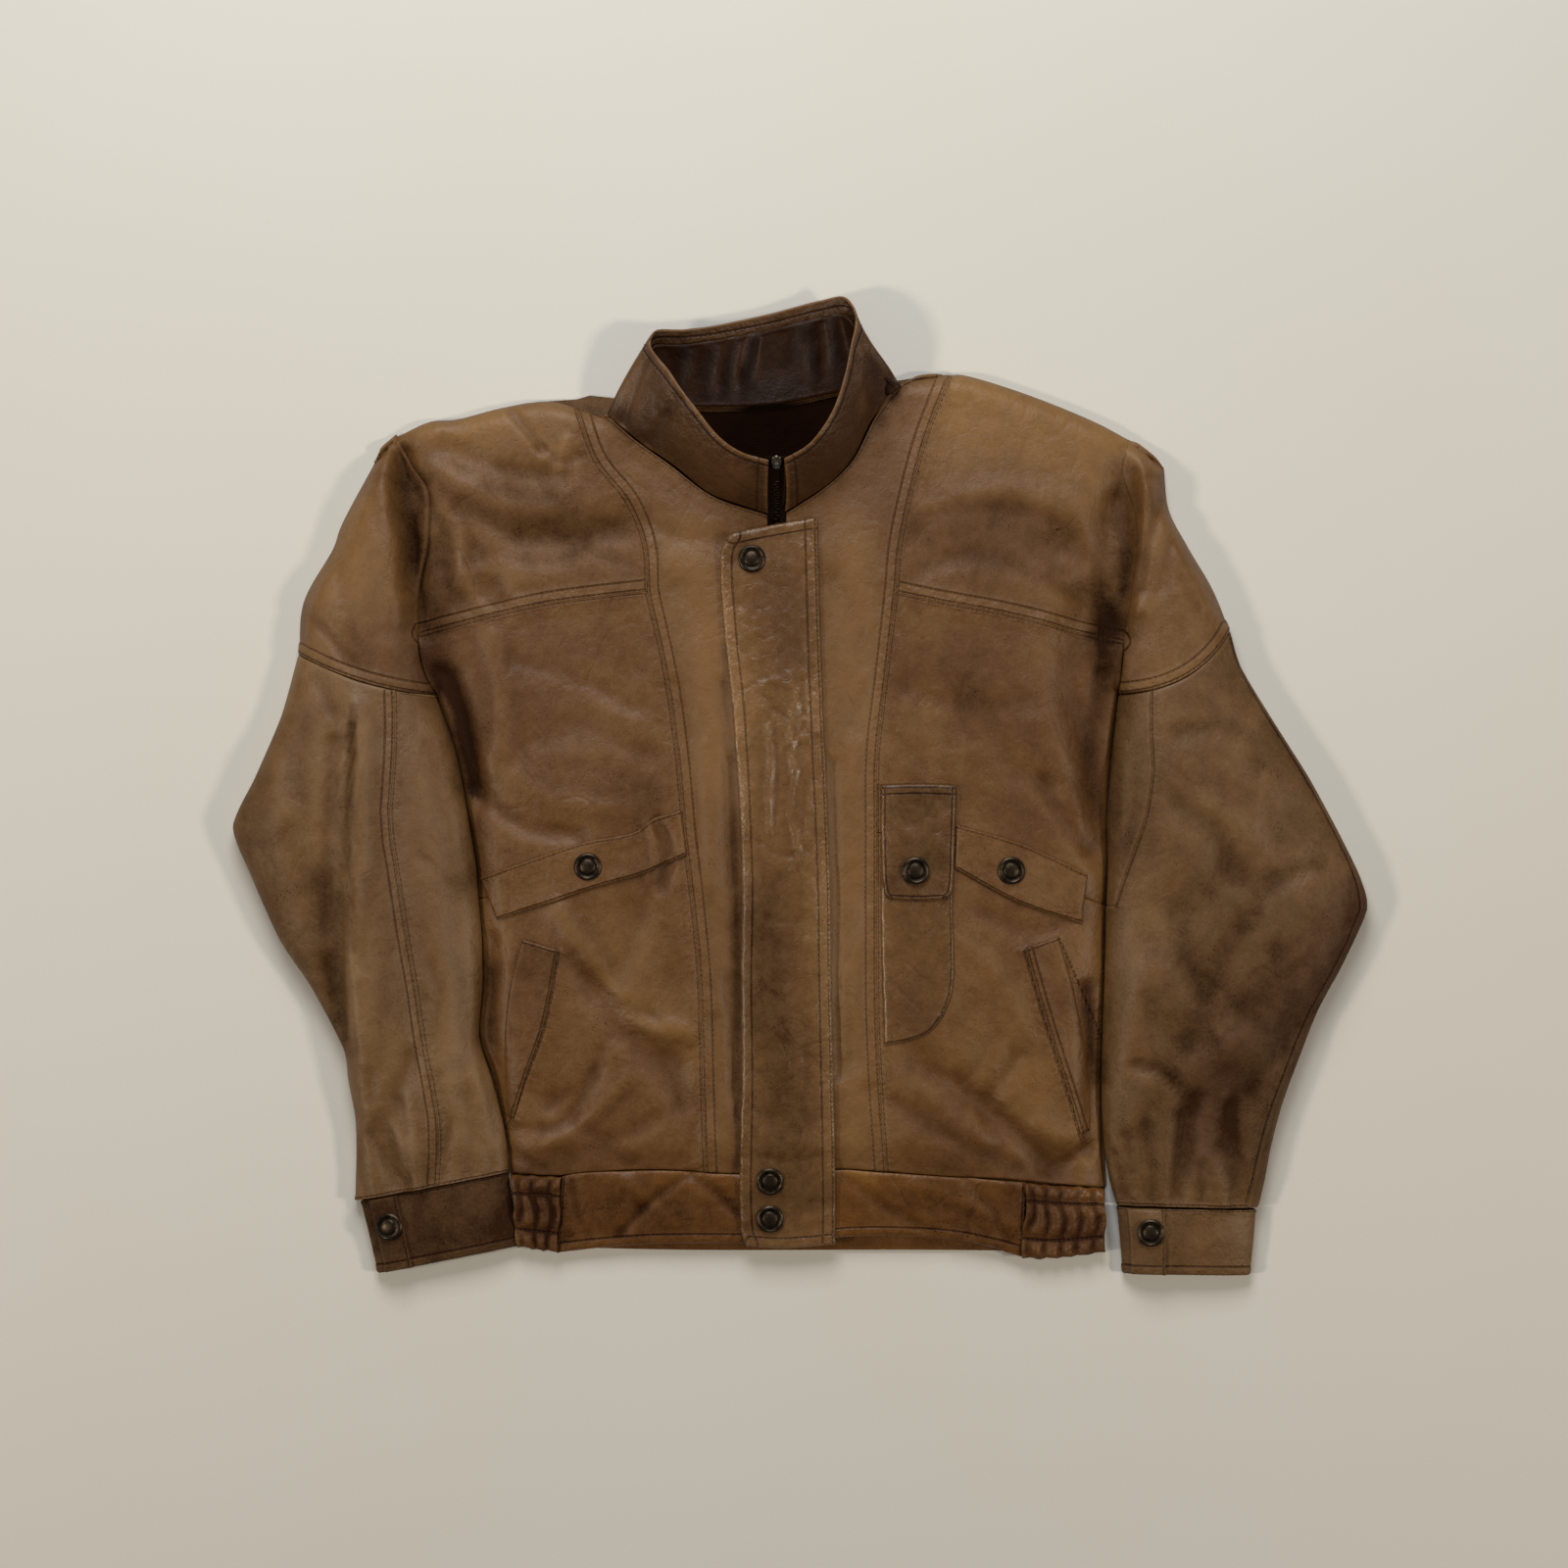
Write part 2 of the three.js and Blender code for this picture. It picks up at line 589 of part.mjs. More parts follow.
const backBand = chain(
  line([[-219, -358.5], [-88, -361.5], [94, -361.5], [237, -363]], 4),
  [vec([237, -363]), vec([238, -312])],
  backwards(backWaist),
);
add("waistband_back", flat(backBand, 0, DOUBLE), BAND);
const neckLining = chain(
  line([[-134, 123.5], [86.5, 123.5]], 1),
  line([[86.5, 123.5], [67.5, 306]], 1),
  line([[56, 309], [26, 303.5], [-23.5, 293.5], [-83.5, 292], [-117, 295.5]], 5),
);
add("neck_lining", flat(neckLining, BACK_TOP + SEAM_GAP, INNER), LINING);

// ---- Waistband: a plain band in front and a gathered elastic at each side ----
const PLEAT_HEIGHT = 2.2;
const bandCuts = {
  right: [
    line([[-189, -363], [-184.5, -303]], HEM_ROWS), line([[-14.5, -356], [-13, -301.5]], HEM_ROWS),
    line([[-219, -358.5], [-225.5, -301.5]], HEM_ROWS),
  ],
  left: [
    line([[-6, -356], [-4, -301.5]], HEM_ROWS), line([[173.5, -366], [175.5, -307.5]], HEM_ROWS),
    line([[237, -363], [238, -312.5]], HEM_ROWS),
  ],
};
const bands = {
  right: {
    bottom: line([[-189, -363], [-147.5, -358.5], [-109.5, -356], [-14.5, -356]], 8),
    top: line([[-184.5, -303], [-170, -300.5], [-103.5, -298.5], [-73, -300.5], [-13, -301.5]], 8),
  },
  left: {
    bottom: line([[-6, -356], [42, -350.5], [114, -352.5], [149.5, -359], [173.5, -366]], 8),
    top: line([[-4, -301.5], [29, -298], [67, -300], [118, -303.5], [175.5, -307.5]], 8),
  },
};
const elastics = {
  right: {
    bottom: line([[-219, -358.5], [-189, -363]], 12),
    top: line([[-225.5, -301.5], [-184.5, -303]], 12),
  },
  left: {
    bottom: line([[173.5, -366], [195.5, -367.5], [237, -363]], 16),
    top: line([[175.5, -307.5], [194, -309], [238, -312.5]], 16),
  },
};
const hemLine = chain(hem.right, hem.left);
const BAND_EDGE = DOUBLE + SEAM_GAP;

/** Front of the waistband, tucked under at its lower edge. */
function bandHeight(x, y) {
  return BAND_EDGE + (front(x, y) - EDGE) * roll(distanceTo(hemLine, x, y) + HEM_STAND, HEM_ROLL);
}

for (const hand of ["right", "left"]) {
  const [start, end, outer] = bandCuts[hand];
  const band = fill(bands[hand].bottom, bands[hand].top, start, end);
  add(
    `waistband_${hand}`,
    wall(skin([raise(band, bandHeight)], BELOW), DOUBLE, { lowest: BAND_EDGE }),
    BAND,
  );
  const inside = hand === "right" ? start : end;
  const limits = hand === "right" ? [outer, inside] : [inside, outer];
  const gathered = raise(fill(elastics[hand].bottom, elastics[hand].top, ...limits), bandHeight);
  gathered.forEach((row, r) => {
    row.forEach((p, c) => {
      const share = r === gathered.length - 1 ? 0.3 : 1;
      p.z += c % 2 ? PLEAT_HEIGHT * share : 0;
    });
  });
  add(`waist_elastic_${hand}`, wall(skin([gathered], BELOW), LEATHER, { lowest: BAND_EDGE }), BAND);
}

// ---- Sleeve panels ----
/** Middle of a tube, which its panels face away from. */
function coreOf(stations) {
  const core = new THREE.Vector3();
  for (const [inner, outer, crest] of stations) {
    core.add(vec([(inner[0] + outer[0]) / 2, (inner[1] + outer[1]) / 2, crest / 2]));
  }
  return core.divideScalar(stations.length);
}

const HEAD_GAP = new THREE.Vector3(0, -0.5, 0); // the dropped seam is a little looser

/** Points of one station at some turns. */
function armRow(hand, i, list) {
  return list.map((turn) => ringPoint(ARMS[hand][i], turn).addScaledVector(HEAD_GAP, i ? 0 : 1));
}

/** Rows of a sleeve panel, from one column of the top to another, then on underneath where asked. */
function sleeveRows(hand, from, to, rows, under = []) {
  return ARMS[hand].slice(rows[0], rows[1] + 1).map((_, i) => {
    const top = topTurns(hand, i + rows[0]).slice(from, to + 1);
    return armRow(hand, i + rows[0], [...top, ...under]);
  });
}

const inward = turns(1, UNDER_SEAM, UNDER_STEPS).slice(1);
const outward = turns(UNDER_SEAM, 2, UNDER_STEPS).slice(0, -1);
/** Rows of the rear panel, from the underneath seam round the outer edge to a seam on top. */
function rearRows(hand, to, rows) {
  return ARMS[hand].slice(rows[0], rows[1] + 1).map((_, i) => {
    const top = topTurns(hand, i + rows[0]).slice(0, to + 1);
    return armRow(hand, i + rows[0], [...outward, ...top]);
  });
}

/** Adds the panels of one sleeve, whose walls share their directions. */
function sleeve(hand, panels) {
  const core = coreOf(ARMS[hand]);
  const shared = sharedNormals(skin(Object.values(panels).flat(), core));
  for (const [name, grids] of Object.entries(panels)) {
    add(name, wall(skin(grids, core), LEATHER, { shared }), SLEEVE);
  }
}

const rightEnd = ARMS.right.length - 1;
const leftEnd = ARMS.left.length - 1;
const { right: rightSeam, elbow: elbowSeam, gusset: gussetSeam } = SEAM_AT;
sleeve("right", {
  sleeve_front_right: [sleeveRows("right", rightSeam, 9, [0, rightEnd], inward)],
  sleeve_back_right: [rearRows("right", rightSeam, [0, rightEnd])],
});
sleeve("left", {
  sleeve_top_left: [
    sleeveRows("left", elbowSeam, gussetSeam, [0, GUSSET_ROW]),
    sleeveRows("left", elbowSeam, 10, [GUSSET_ROW, leftEnd], inward),
  ],
  sleeve_gusset_left: [sleeveRows("left", gussetSeam, 10, [0, GUSSET_ROW], inward)],
  sleeve_back_left: [rearRows("left", elbowSeam, [0, leftEnd])],
});

/** Cuff: a closed band round the sleeve end. */
function cuff(hand) {
  const rings = CUFFS[hand];
  const ring = rings.map((station) => Array.from(
    { length: 21 }, (_, k) => ringPoint(station, (2 * (k % 20)) / 20, false),
  ));
  add(`cuff_${hand}`, wall(skin([ring], coreOf(rings)), DOUBLE), BAND);
}

/** End of the cuff band, lapped over its start and held by a snap. */
function cuffTab(hand, from, to) {
  const rings = CUFFS[hand];
  const grid = rings.map((station) =>
    Array.from({ length: 5 }, (_, k) => {
      const p = ringPoint(station, mix(from, to, k / 4), false);
      p.z += LAID_ON + DOUBLE;
      return p;
    }),
  );
  add(`cuff_tab_${hand}`, wall(skin([grid], BELOW), DOUBLE), BAND);
}
cuff("right");
cuff("left");
cuffTab("right", 0.12, 0.32);
cuffTab("left", 0.62, 0.88);

// ---- Stand collar: an outer band and a facing, standing open in a tilted ring ----
/** Stations round the collar from the zip on the right to the zip on the left: neck point, top point. */
const COLLAR = [
  [[-25, 210], [-24, 249.5, 58]], [[-45, 214.5], [-45, 255.5, 61]], [[-67, 224.5], [-62.5, 267, 64]], [[-101, 249.5], [-83.5, 293, 63]],
  [[-127.5, 268.5], [-100.5, 318, 55]], [[-149, 286], [-115.5, 341.5, 36]], [[-140, 298.5, 2.5], [-112.5, 353, 28]], [[-115, 296, 2.5], [-88, 354.5, 21]],
  [[-23.5, 295.5, 2.5], [-29, 366.5, 12]], [[26, 305, 2.5], [16.5, 377.5, 17]], [[52.5, 310.5, 2.5], [35, 379.5, 25]],
  [[78.5, 311], [43.5, 368, 37]], [[72, 303.5], [41, 342.5, 52]], [[61.5, 290.5], [35.5, 315, 60]], [[51, 269.5], [27.5, 290, 64]],
  [[40.5, 252], [16.5, 271, 64]], [[20, 232], [4.5, 259, 61]], [[-10.5, 211.5], [-12, 250.5, 58]],
];
const COLLAR_STEPS = 28;
const COLLAR_BULGE = 3;
const COLLAR_CORE = vec([-27.5, 306, 28]);

const COLLAR_ROWS = [0.03, 0.15, 0.4, 0.68, 0.95, 1];

/** Nearest place on a chain of points, by its place in plan. */
function nearestOn(points, [x, y]) {
  let best = { away: Infinity };
  for (let i = 1; i < points.length; i += 1) {
    const [a, b] = [points[i - 1], points[i]];
    const span = (b.x - a.x) ** 2 + (b.y - a.y) ** 2;
    const t = clamp01(((x - a.x) * (b.x - a.x) + (y - a.y) * (b.y - a.y)) / span);
    const place = a.clone().lerp(b, t);
    const away = Math.hypot(place.x - x, place.y - y);
    if (away < best.away) best = { away, place };
  }
  return best.place;
}

const neckEdge = { right: raise([neck.right])[0], left: raise([neck.left])[0] };
const COLLAR_LIFT = 0.6; // clearance inside the neck seam

/** Outer face of the collar, rows from the neck seam to the top edge. */
function collarRows() {
  const low = line(
    COLLAR.map(([p]) => (p.length > 2 ? p : [p[0], p[1], front(p[0], p[1])])),
    COLLAR_STEPS,
  );
  const high = line(COLLAR.map(([, p]) => p), COLLAR_STEPS);
  const seam = low.map((p) => {
    if (p.z < 6) return p;
    const place = nearestOn(neckEdge[p.x < -17.5 ? "right" : "left"], [p.x, p.y]);
    const inwards = COLLAR_CORE.clone().sub(place).setZ(0).normalize();
    return place.addScaledVector(inwards, COLLAR_LIFT);
  });
  return COLLAR_ROWS.map((v) =>
    seam.map((p, i) => {
      const along = seam[Math.min(i + 1, COLLAR_STEPS)].clone().sub(seam[Math.max(i - 1, 0)]);
      const up = high[i].clone().sub(p);
      const outwards = up.clone().cross(along).normalize();
      if (outwards.dot(p.clone().lerp(high[i], 0.5).sub(COLLAR_CORE)) < 0) outwards.negate();
      return p.clone().addScaledVector(up, v).addScaledVector(
        outwards, COLLAR_BULGE * Math.sin(Math.PI * v),
      );
    }),
  );
}

const collar = collarRows();
const collarNormals = sharedNormals(skin([collar], COLLAR_CORE));
add("collar_outer", wall(skin([collar], COLLAR_CORE), LEATHER, { shared: collarNormals }), YOKE);
const FACING_GAP = 1.7;
const facingNormals = new Map();
const facing = collar.slice(1, -1).map((row) =>
  row.map((p, i) => {
    const near = row.slice(Math.max(0, i - 2), i + 3).map((q) => collarNormals.get(keyOf(q)));
    const normal = near.reduce((sum, n) => sum.add(n), new THREE.Vector3()).normalize();
    const set = p.clone().addScaledVector(normal, -(LEATHER + FACING_GAP));
    facingNormals.set(keyOf(set), normal);
    return set;
  }),
);
add("collar_facing", wall(skin([facing], COLLAR_CORE), INNER, { shared: facingNormals }), FACING);

// ---- Pieces sewn on top of the fronts ----
/** Height of whatever a sewn-on piece lies on. */
function surface(x, y) {
  return y < -300 ? Math.max(front(x, y), bandHeight(x, y)) : front(x, y);
}

const FLAP_STEPS = 24;
const FLAP_REACH = 24;
const FLAP_EASE = 1; // it is sewn along one side only and stands a little proud

/** Height under the storm flap, which is stiff and bridges short dips. */
function bridged(x, y) {
  return FLAP_EASE + Math.max(
    surface(x, y),
    (surface(x, y - FLAP_REACH) + surface(x, y + FLAP_REACH)) / 2,
  );
}

/** Folded piece between four borders, laid on the fronts. */
function laidOn(name, grid, material, level = 1, under = surface) {
  const lifted = raise(grid, under, level * (LAID_ON + DOUBLE));
  add(name, wall(skin([lifted], BELOW), DOUBLE), material);
}

// Storm flap over the zip, fixed along the wearer's left and snapped along the right.
laidOn(
  "storm_flap",
  fill(
    line([[-43.5, -357], [-12, -358.5], [27.5, -355.5]], 4),
    line([[-57, 195], [-36.5, 198], [-12, 203.5], [13.5, 208.5]], 4),
    line(
      [
        [-43.5, -357], [-45.5, -226], [-46.5, -150], [-45.5, -74], [-51.5, 55], [-58.5, 123.5],
        [-57, 195],
      ],
      FLAP_STEPS,
    ),
    line(
      [[27.5, -355.5], [27.5, -302], [24.5, -150], [23.5, -74], [16.5, 94], [13.5, 208.5]],
      FLAP_STEPS,
    ),
  ),
  FLAP,
  1,
  bridged,
);
// Chest pocket welts, slanting up towards the zip.
laidOn(
  "chest_welt_right",
  fill(
    line([[-232, -103], [-198.5, -91.5], [-154.5, -77], [-121, -67.5], [-87.5, -53]], FROM_SIDE),
    line([[-243, -69], [-203.5, -55], [-170, -43.5], [-112.5, -34], [-92, -18.5]], FROM_SIDE),
    line([[-232, -103], [-243, -69]], 3),
    line([[-87.5, -53], [-92, -18.5]], 3),
  ),
  BROWN,
);
laidOn(
  "chest_welt_left",
  fill(
    line([[124.5, -65], [172.5, -91.5], [219, -106]], TO_SIDE),
    line([[124.5, -29.5], [172.5, -44.5], [223.5, -68]], TO_SIDE),
    line([[124.5, -65], [124.5, -29.5]], 3),
    line([[219, -106], [223.5, -68]], 3),
  ),
  BROWN,
);
// Pen pocket: a long patch with a rounded lower corner, closed by a snapped tab.
laidOn(
  "pen_patch_left",
  fill(
    line([[65.5, -200.5], [86.5, -197], [103.5, -188], [113, -173]], 4),
    line([[63, -4], [119.5, -2.5]], 4),
    line([[65.5, -200.5], [63, -104.5], [63, -4]], 8),
    line([[113, -173], [118.5, -154], [118.5, -97], [119.5, -2.5]], 8),
  ),
  BROWN,
);
laidOn(
  "pen_tab_left",
  fill(
    line([[66, -87], [90.5, -88], [116.5, -87]], 4),
    line([[63, 1], [91, 2], [121, 1]], 4),
    line([[66, -87], [63, 1]], 5),
    line([[116.5, -87], [121, 1]], 5),
  ),
  FLAP,
  2,
);
// Slanted hand pocket welts.
laidOn(
  "hand_welt_right",
  fill(
    line([[-228, -235], [-217.5, -238.5]], 3),
    line([[-215, -118], [-187, -126.5]], 3),
    line([[-228, -235], [-227, -203.5], [-222, -157.5], [-215, -118]], 8),
    line([[-217.5, -238.5], [-207.5, -213], [-198.5, -186], [-187, -126.5]], 8),
  ),
  BROWN,
);
laidOn(
  "hand_welt_left",
  fill(
    line([[214.5, -256.5], [225.5, -252]], 3),
    line([[174, -125], [200, -116]], 3),
    line([[214.5, -256.5], [190, -180.5], [174, -125]], 8),
    line([[225.5, -252], [225, -226], [218, -180.5], [200, -116]], 8),
  ),
  BROWN,
);

// ---- Zip: two tapes and a closed row of teeth, running up the front and the collar ----
const COLLAR_SLOPE = [[-18, 230, 38], [-18, 249.5, 55]]; // the collar's own part of the zip, middle and top
const ZIP_PLACES = [
  [-9, -349, 1], [-9.5, -304.5, 2], [-10, -264, 3], [-10.5, -150, 0], [-14.5, 2, 0],
  [-17.5, 123.5, 0], [-18, 184.5, 0], [-18, 205, 2.5],
];
const ZIP_UNDER = 5.2; // the tapes lie this far under the outer face
const TEETH_TOP = ZIP_UNDER - 0.6;
const TEETH_THICKNESS = 2.0;
const zipPath = line(
  [
    ...ZIP_PLACES.map(([x, y, drop]) => [x, y, surface(x, y) - drop]),
    ...COLLAR_SLOPE,
  ],
  26,
);

/** Strip along the zip, between two distances to the side of it, with its upper face set under the fronts. */
function zipStrip(name, from, to, under, thickness, material) {
  const last = zipPath.length - 1;
  const rows = zipPath.map((p, i) => {
    const along = zipPath[Math.min(i + 1, last)].clone().sub(zipPath[Math.max(i - 1, 0)]).normalize();
    const out = new THREE.Vector3(1, 0, 0).cross(along).normalize();
    return [from, to].map((x) => p.clone().addScaledVector(out, -under).add(new THREE.Vector3(x, 0, 0)));
  });
  const below = new THREE.Vector3(zipPath[0].x, zipPath[0].y, -1e5);
  add(name, wall(skin([rows], below), thickness), material);
}
zipStrip("zip_tape_right", -TAPE_HALF, -TEETH_HALF, ZIP_UNDER, TAPE, TAPE_CLOTH);
zipStrip("zip_tape_left", TEETH_HALF, TAPE_HALF, ZIP_UNDER, TAPE, TAPE_CLOTH);
zipStrip("zip_teeth", -TEETH_HALF, TEETH_HALF, TEETH_TOP, TEETH_THICKNESS, NICKEL);

// Zip head: a slider with a bridge, and the pull tab that swings on it.
const PLATE = { halfWidth: 3.8, length: 9.5, thickness: 2 };
const PIVOT_HEIGHT = 0.9; // tab's bar over the slider's plate
const BRIDGE = { halfWidth: 0.7, inside: 1.9, outside: 2.9, under: 1.8, over: 2.8 };
const TAB = {
  halfWidth: 2.2, length: 11, thickness: 1, slotHalf: 1.1, slotFrom: 0.5, slotTo: 4.5, bar: 0.5,
};
const TAB_RAISED = THREE.MathUtils.degToRad(20);

const wasm = await Module();
wasm.setup();

/** A geometry as a solid that can be joined. */
function solidOf(geometry) {
  const source = geometry.index ? geometry.toNonIndexed() : geometry;
  const bare = new THREE.BufferGeometry().setAttribute("position", source.getAttribute("position"));
  const merged = mergeVertices(bare, 1e-4);
  const mesh = new wasm.Mesh({
    numProp: 3,
    vertProperties: merged.attributes.position.array,
    triVerts: new Uint32Array(merged.index.array),
  });
  return new wasm.Manifold(mesh);
}

/** Several geometries joined into one body. */
function joined(geometries) {
  const mesh = wasm.Manifold.union(geometries.map(solidOf)).getMesh();
  const geometry = new THREE.BufferGeometry();
  geometry.setAttribute("position", new THREE.BufferAttribute(new Float32Array(mesh.vertProperties), 3));
  geometry.setIndex(new THREE.BufferAttribute(new Uint32Array(mesh.triVerts), 1));
  return geometry;
}

/** Box between two corners. */
function boxBetween(low, high) {
  const size = high.map((v, k) => v - low[k]);
  return new THREE.BoxGeometry(...size).translate(...high.map((v, k) => (v + low[k]) / 2));
}

/** Slider seen along its own axes, with the tab's pivot at the origin. */
function sliderGeometry() {
  const { halfWidth, length, thickness } = PLATE;
  const outline = new THREE.Shape();
  outline.moveTo(-halfWidth * 0.6, -length / 2);
  outline.lineTo(halfWidth * 0.6, -length / 2);
  outline.lineTo(halfWidth, length * 0.15);
  outline.lineTo(halfWidth * 0.8, length / 2);
  outline.lineTo(-halfWidth * 0.8, length / 2);
  outline.lineTo(-halfWidth, length * 0.15);
  const plate = new THREE.ExtrudeGeometry(outline, { depth: thickness, bevelEnabled: false });
  plate.translate(0, 0, -PIVOT_HEIGHT - thickness);
  const { halfWidth: half, inside, outside, under, over } = BRIDGE;
  const foot = -PIVOT_HEIGHT - 0.4;
  const lift = -PIVOT_HEIGHT;
  return joined([
    plate,
    boxBetween([-half, inside, foot], [half, outside, lift + over]),
    boxBetween([-half, -outside, foot], [half, -inside, lift + over]),
    boxBetween([-half, -outside, lift + under], [half, outside, lift + over]),
  ]);
}

/** Pull tab along +Y from its bar, which lies on the X axis. */
function tabGeometry() {
  const { halfWidth, length, thickness, slotHalf, slotFrom, slotTo, bar } = TAB;
  const outline = new THREE.Shape();
  outline.moveTo(-halfWidth, -bar);
  outline.lineTo(halfWidth, -bar);
  outline.lineTo(halfWidth, length - halfWidth);
  outline.absarc(0, length - halfWidth, halfWidth, 0, Math.PI, false);
  const slot = new THREE.Path();
  slot.moveTo(-slotHalf, slotFrom);
  slot.lineTo(-slotHalf, slotTo);
  slot.lineTo(slotHalf, slotTo);
  slot.lineTo(slotHalf, slotFrom);
  outline.holes.push(slot);
  const tab = new THREE.ExtrudeGeometry(
    outline, { depth: thickness, bevelEnabled: false, curveSegments: 8 },
  );
  return tab.translate(0, 0, -thickness / 2);
}

const [slopeLow, slopeHigh] = COLLAR_SLOPE.map(vec);
const slope = slopeHigh.clone().sub(slopeLow);
const zipHead = new THREE.Group();
zipHead.rotation.x = Math.atan2(slope.z, slope.y);
const outOfZip = new THREE.Vector3(0, -slope.z, slope.y).normalize();
zipHead.position.copy(slopeLow.clone().lerp(slopeHigh, 0.84));
zipHead.position.addScaledVector(outOfZip, PIVOT_HEIGHT + PLATE.thickness + 0.4 - TEETH_TOP);
garment.add(zipHead);
const slider = add("zip_slider", sliderGeometry(), NICKEL);
const pullTab = add("zip_pull_tab", tabGeometry(), NICKEL);
pullTab.rotation.x = TAB_RAISED;
zipHead.add(slider, pullTab);

// ---- Snap caps ----
/** Snap cap: a rimmed disc with a shallow groove round a low dome. */
function snapGeometry() {
  const profile = [
    [0, 0], [1, 0], [1, 0.35], [0.9, 0.52], [0.78, 0.46], [0.7, 0.4], [0.6, 0.62], [0.35, 0.9],
    [0, 1],
  ];
  const points = profile.map(([r, h]) => new THREE.Vector2(r * SNAP_RADIUS, h * SNAP_HEIGHT));
  return new THREE.LatheGeometry(points, 18).rotateX(Math.PI / 2);
}

/** Sets a snap cap on a surface given by its height function. */
function snap(name, [x, y], height) {
  const reach = 7;
  const normal = new THREE.Vector3(
    (height(x - reach, y) - height(x + reach, y)) / (2 * reach),
    (height(x, y - reach) - height(x, y + reach)) / (2 * reach),
    1,
  ).normalize();
  const cap = add(name, snapGeometry(), BRONZE);
  cap.position.set(x, y, height(x, y)).addScaledVector(normal, SNAP_CLEAR);
  cap.quaternion.setFromUnitVectors(new THREE.Vector3(0, 0, 1), normal);
}
const laid = (level, under = surface) => (x, y) => under(x, y) + level * (LAID_ON + DOUBLE);
snap("snap_flap_top", [-37, 176], laid(1, bridged));
snap("snap_flap_waist", [-23, -306], laid(1, bridged));
snap("snap_flap_hem", [-23, -335.5], laid(1, bridged));
snap("snap_pen_tab", [89.5, -65], laid(2));
snap("snap_chest_right", [-164, -62], laid(1));
snap("snap_chest_left", [163.5, -65], laid(1));

/** Height of a cuff's tab over the table. */
function cuffHeight(hand) {
  const [ring, next] = CUFFS[hand];
  const middle = ring.map((value, k) => (Array.isArray(value) ? value.map((v, n) => (v + next[k][n]) / 2) : value));
  const [inner, outer, crest, edge] = middle;
  return (x) => {
    const across = (2 * (x - outer[0])) / (inner[0] - outer[0]) - 1;
    return tubeHeight(across, crest, edge, true) + LAID_ON + DOUBLE;
  };
}
snap("snap_cuff_right", [-318.5, -341.5], cuffHeight("right"));
snap("snap_cuff_left", [272, -346], cuffHeight("left"));

export default garment;
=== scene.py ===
"""Worn brown leather blouson, laid flat on its back with the zip closed to the collar.

Lengths inside the classes are millimetres in the part's own frame: +X is the wearer's left, +Y runs from
the hem to the collar and +Z is up. Meshes are written in metres.
"""

import logging
import math
from dataclasses import dataclass, field
from enum import Enum
from typing import Callable, ClassVar, Iterable, Sequence

import bmesh
import bpy
import numpy as np
from mathutils import Matrix, Vector
from mathutils.bvhtree import BVHTree
from mathutils.kdtree import KDTree

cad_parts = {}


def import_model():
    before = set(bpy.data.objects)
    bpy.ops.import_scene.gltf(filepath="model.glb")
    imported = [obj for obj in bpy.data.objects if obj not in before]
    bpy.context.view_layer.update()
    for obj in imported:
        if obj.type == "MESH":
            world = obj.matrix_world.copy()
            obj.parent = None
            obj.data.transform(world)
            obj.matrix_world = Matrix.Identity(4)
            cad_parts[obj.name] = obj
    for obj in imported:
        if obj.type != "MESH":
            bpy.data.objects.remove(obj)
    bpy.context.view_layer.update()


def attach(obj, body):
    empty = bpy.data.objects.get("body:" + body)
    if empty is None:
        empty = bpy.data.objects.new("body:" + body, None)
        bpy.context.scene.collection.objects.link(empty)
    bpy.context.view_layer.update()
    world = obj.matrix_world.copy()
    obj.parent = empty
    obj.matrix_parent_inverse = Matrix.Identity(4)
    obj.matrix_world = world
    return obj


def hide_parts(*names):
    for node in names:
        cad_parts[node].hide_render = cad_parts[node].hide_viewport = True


logging.basicConfig(level=logging.INFO, format="%(asctime)s %(message)s")
log = logging.getLogger("jacket")

MM = 0.001
JACKET = "jacket"
LEATHER = 2.0  # a single hide with its lining
DOUBLE = 2.6  # folded hide: waistband, cuffs, welts and storm flap
INNER = 1.4  # collar facing and neck lining
SEAM_GAP = 0.3
BACK_TOP = LEATHER
EDGE = BACK_TOP + SEAM_GAP
BAND_EDGE = DOUBLE + SEAM_GAP
LAID_ON = 2.9  # step up onto a folded piece sewn on top of a panel

Array = np.ndarray
Socket = bpy.types.NodeSocket
Height = Callable[[Array, Array], Array]


class Hand(Enum):
    """The wearer's side; the right is at -X."""

    RIGHT = "right"
    LEFT = "left"


class Held(Enum):
    """How a sheet is held, in the frame's own words."""

    LAID = "laid"
    FOLDED = "folded"
    GATHERED = "gathered"


# ---- Lines and grids ---------------------------------------------------------------------------------


def points_of(rows: Sequence[Sequence[float]]) -> Array:
    """Turns corners with or without a height into rows of x, y, z."""
    return np.array([(*row, 0.0)[:3] for row in rows], dtype=float)


def curve(corners: Sequence[Sequence[float]]) -> Array:
    """Runs a smooth centripetal curve through corners.

    Args:
        corners: Points that the curve passes through.

    Returns:
        Close-set points along the curve.
    """
    knots = points_of(corners)
    if len(knots) == 2:
        return knots
    knots = np.vstack([2 * knots[0] - knots[1], knots, 2 * knots[-1] - knots[-2]])
    steps = np.linspace(0, 1, 16, endpoint=False)[:, None]
    legs = []
    for a, b, c, d in zip(knots, knots[1:], knots[2:], knots[3:]):
        before, span, after = (max(np.linalg.norm(q - p) ** 0.5, 1e-6) for p, q in ((a, b), (b, c), (c, d)))
        leaving = ((b - a) / before - (c - a) / (before + span) + (c - b) / span) * span
        arriving = ((c - b) / span - (d - b) / (span + after) + (d - c) / after) * span
        t2, t3 = steps**2, steps**3
        leg = b * (2 * t3 - 3 * t2 + 1) + c * (3 * t2 - 2 * t3)
        legs.append(leg + leaving * (t3 - 2 * t2 + steps) + arriving * (t3 - t2))
    return np.vstack([*legs, knots[-2:-1]])


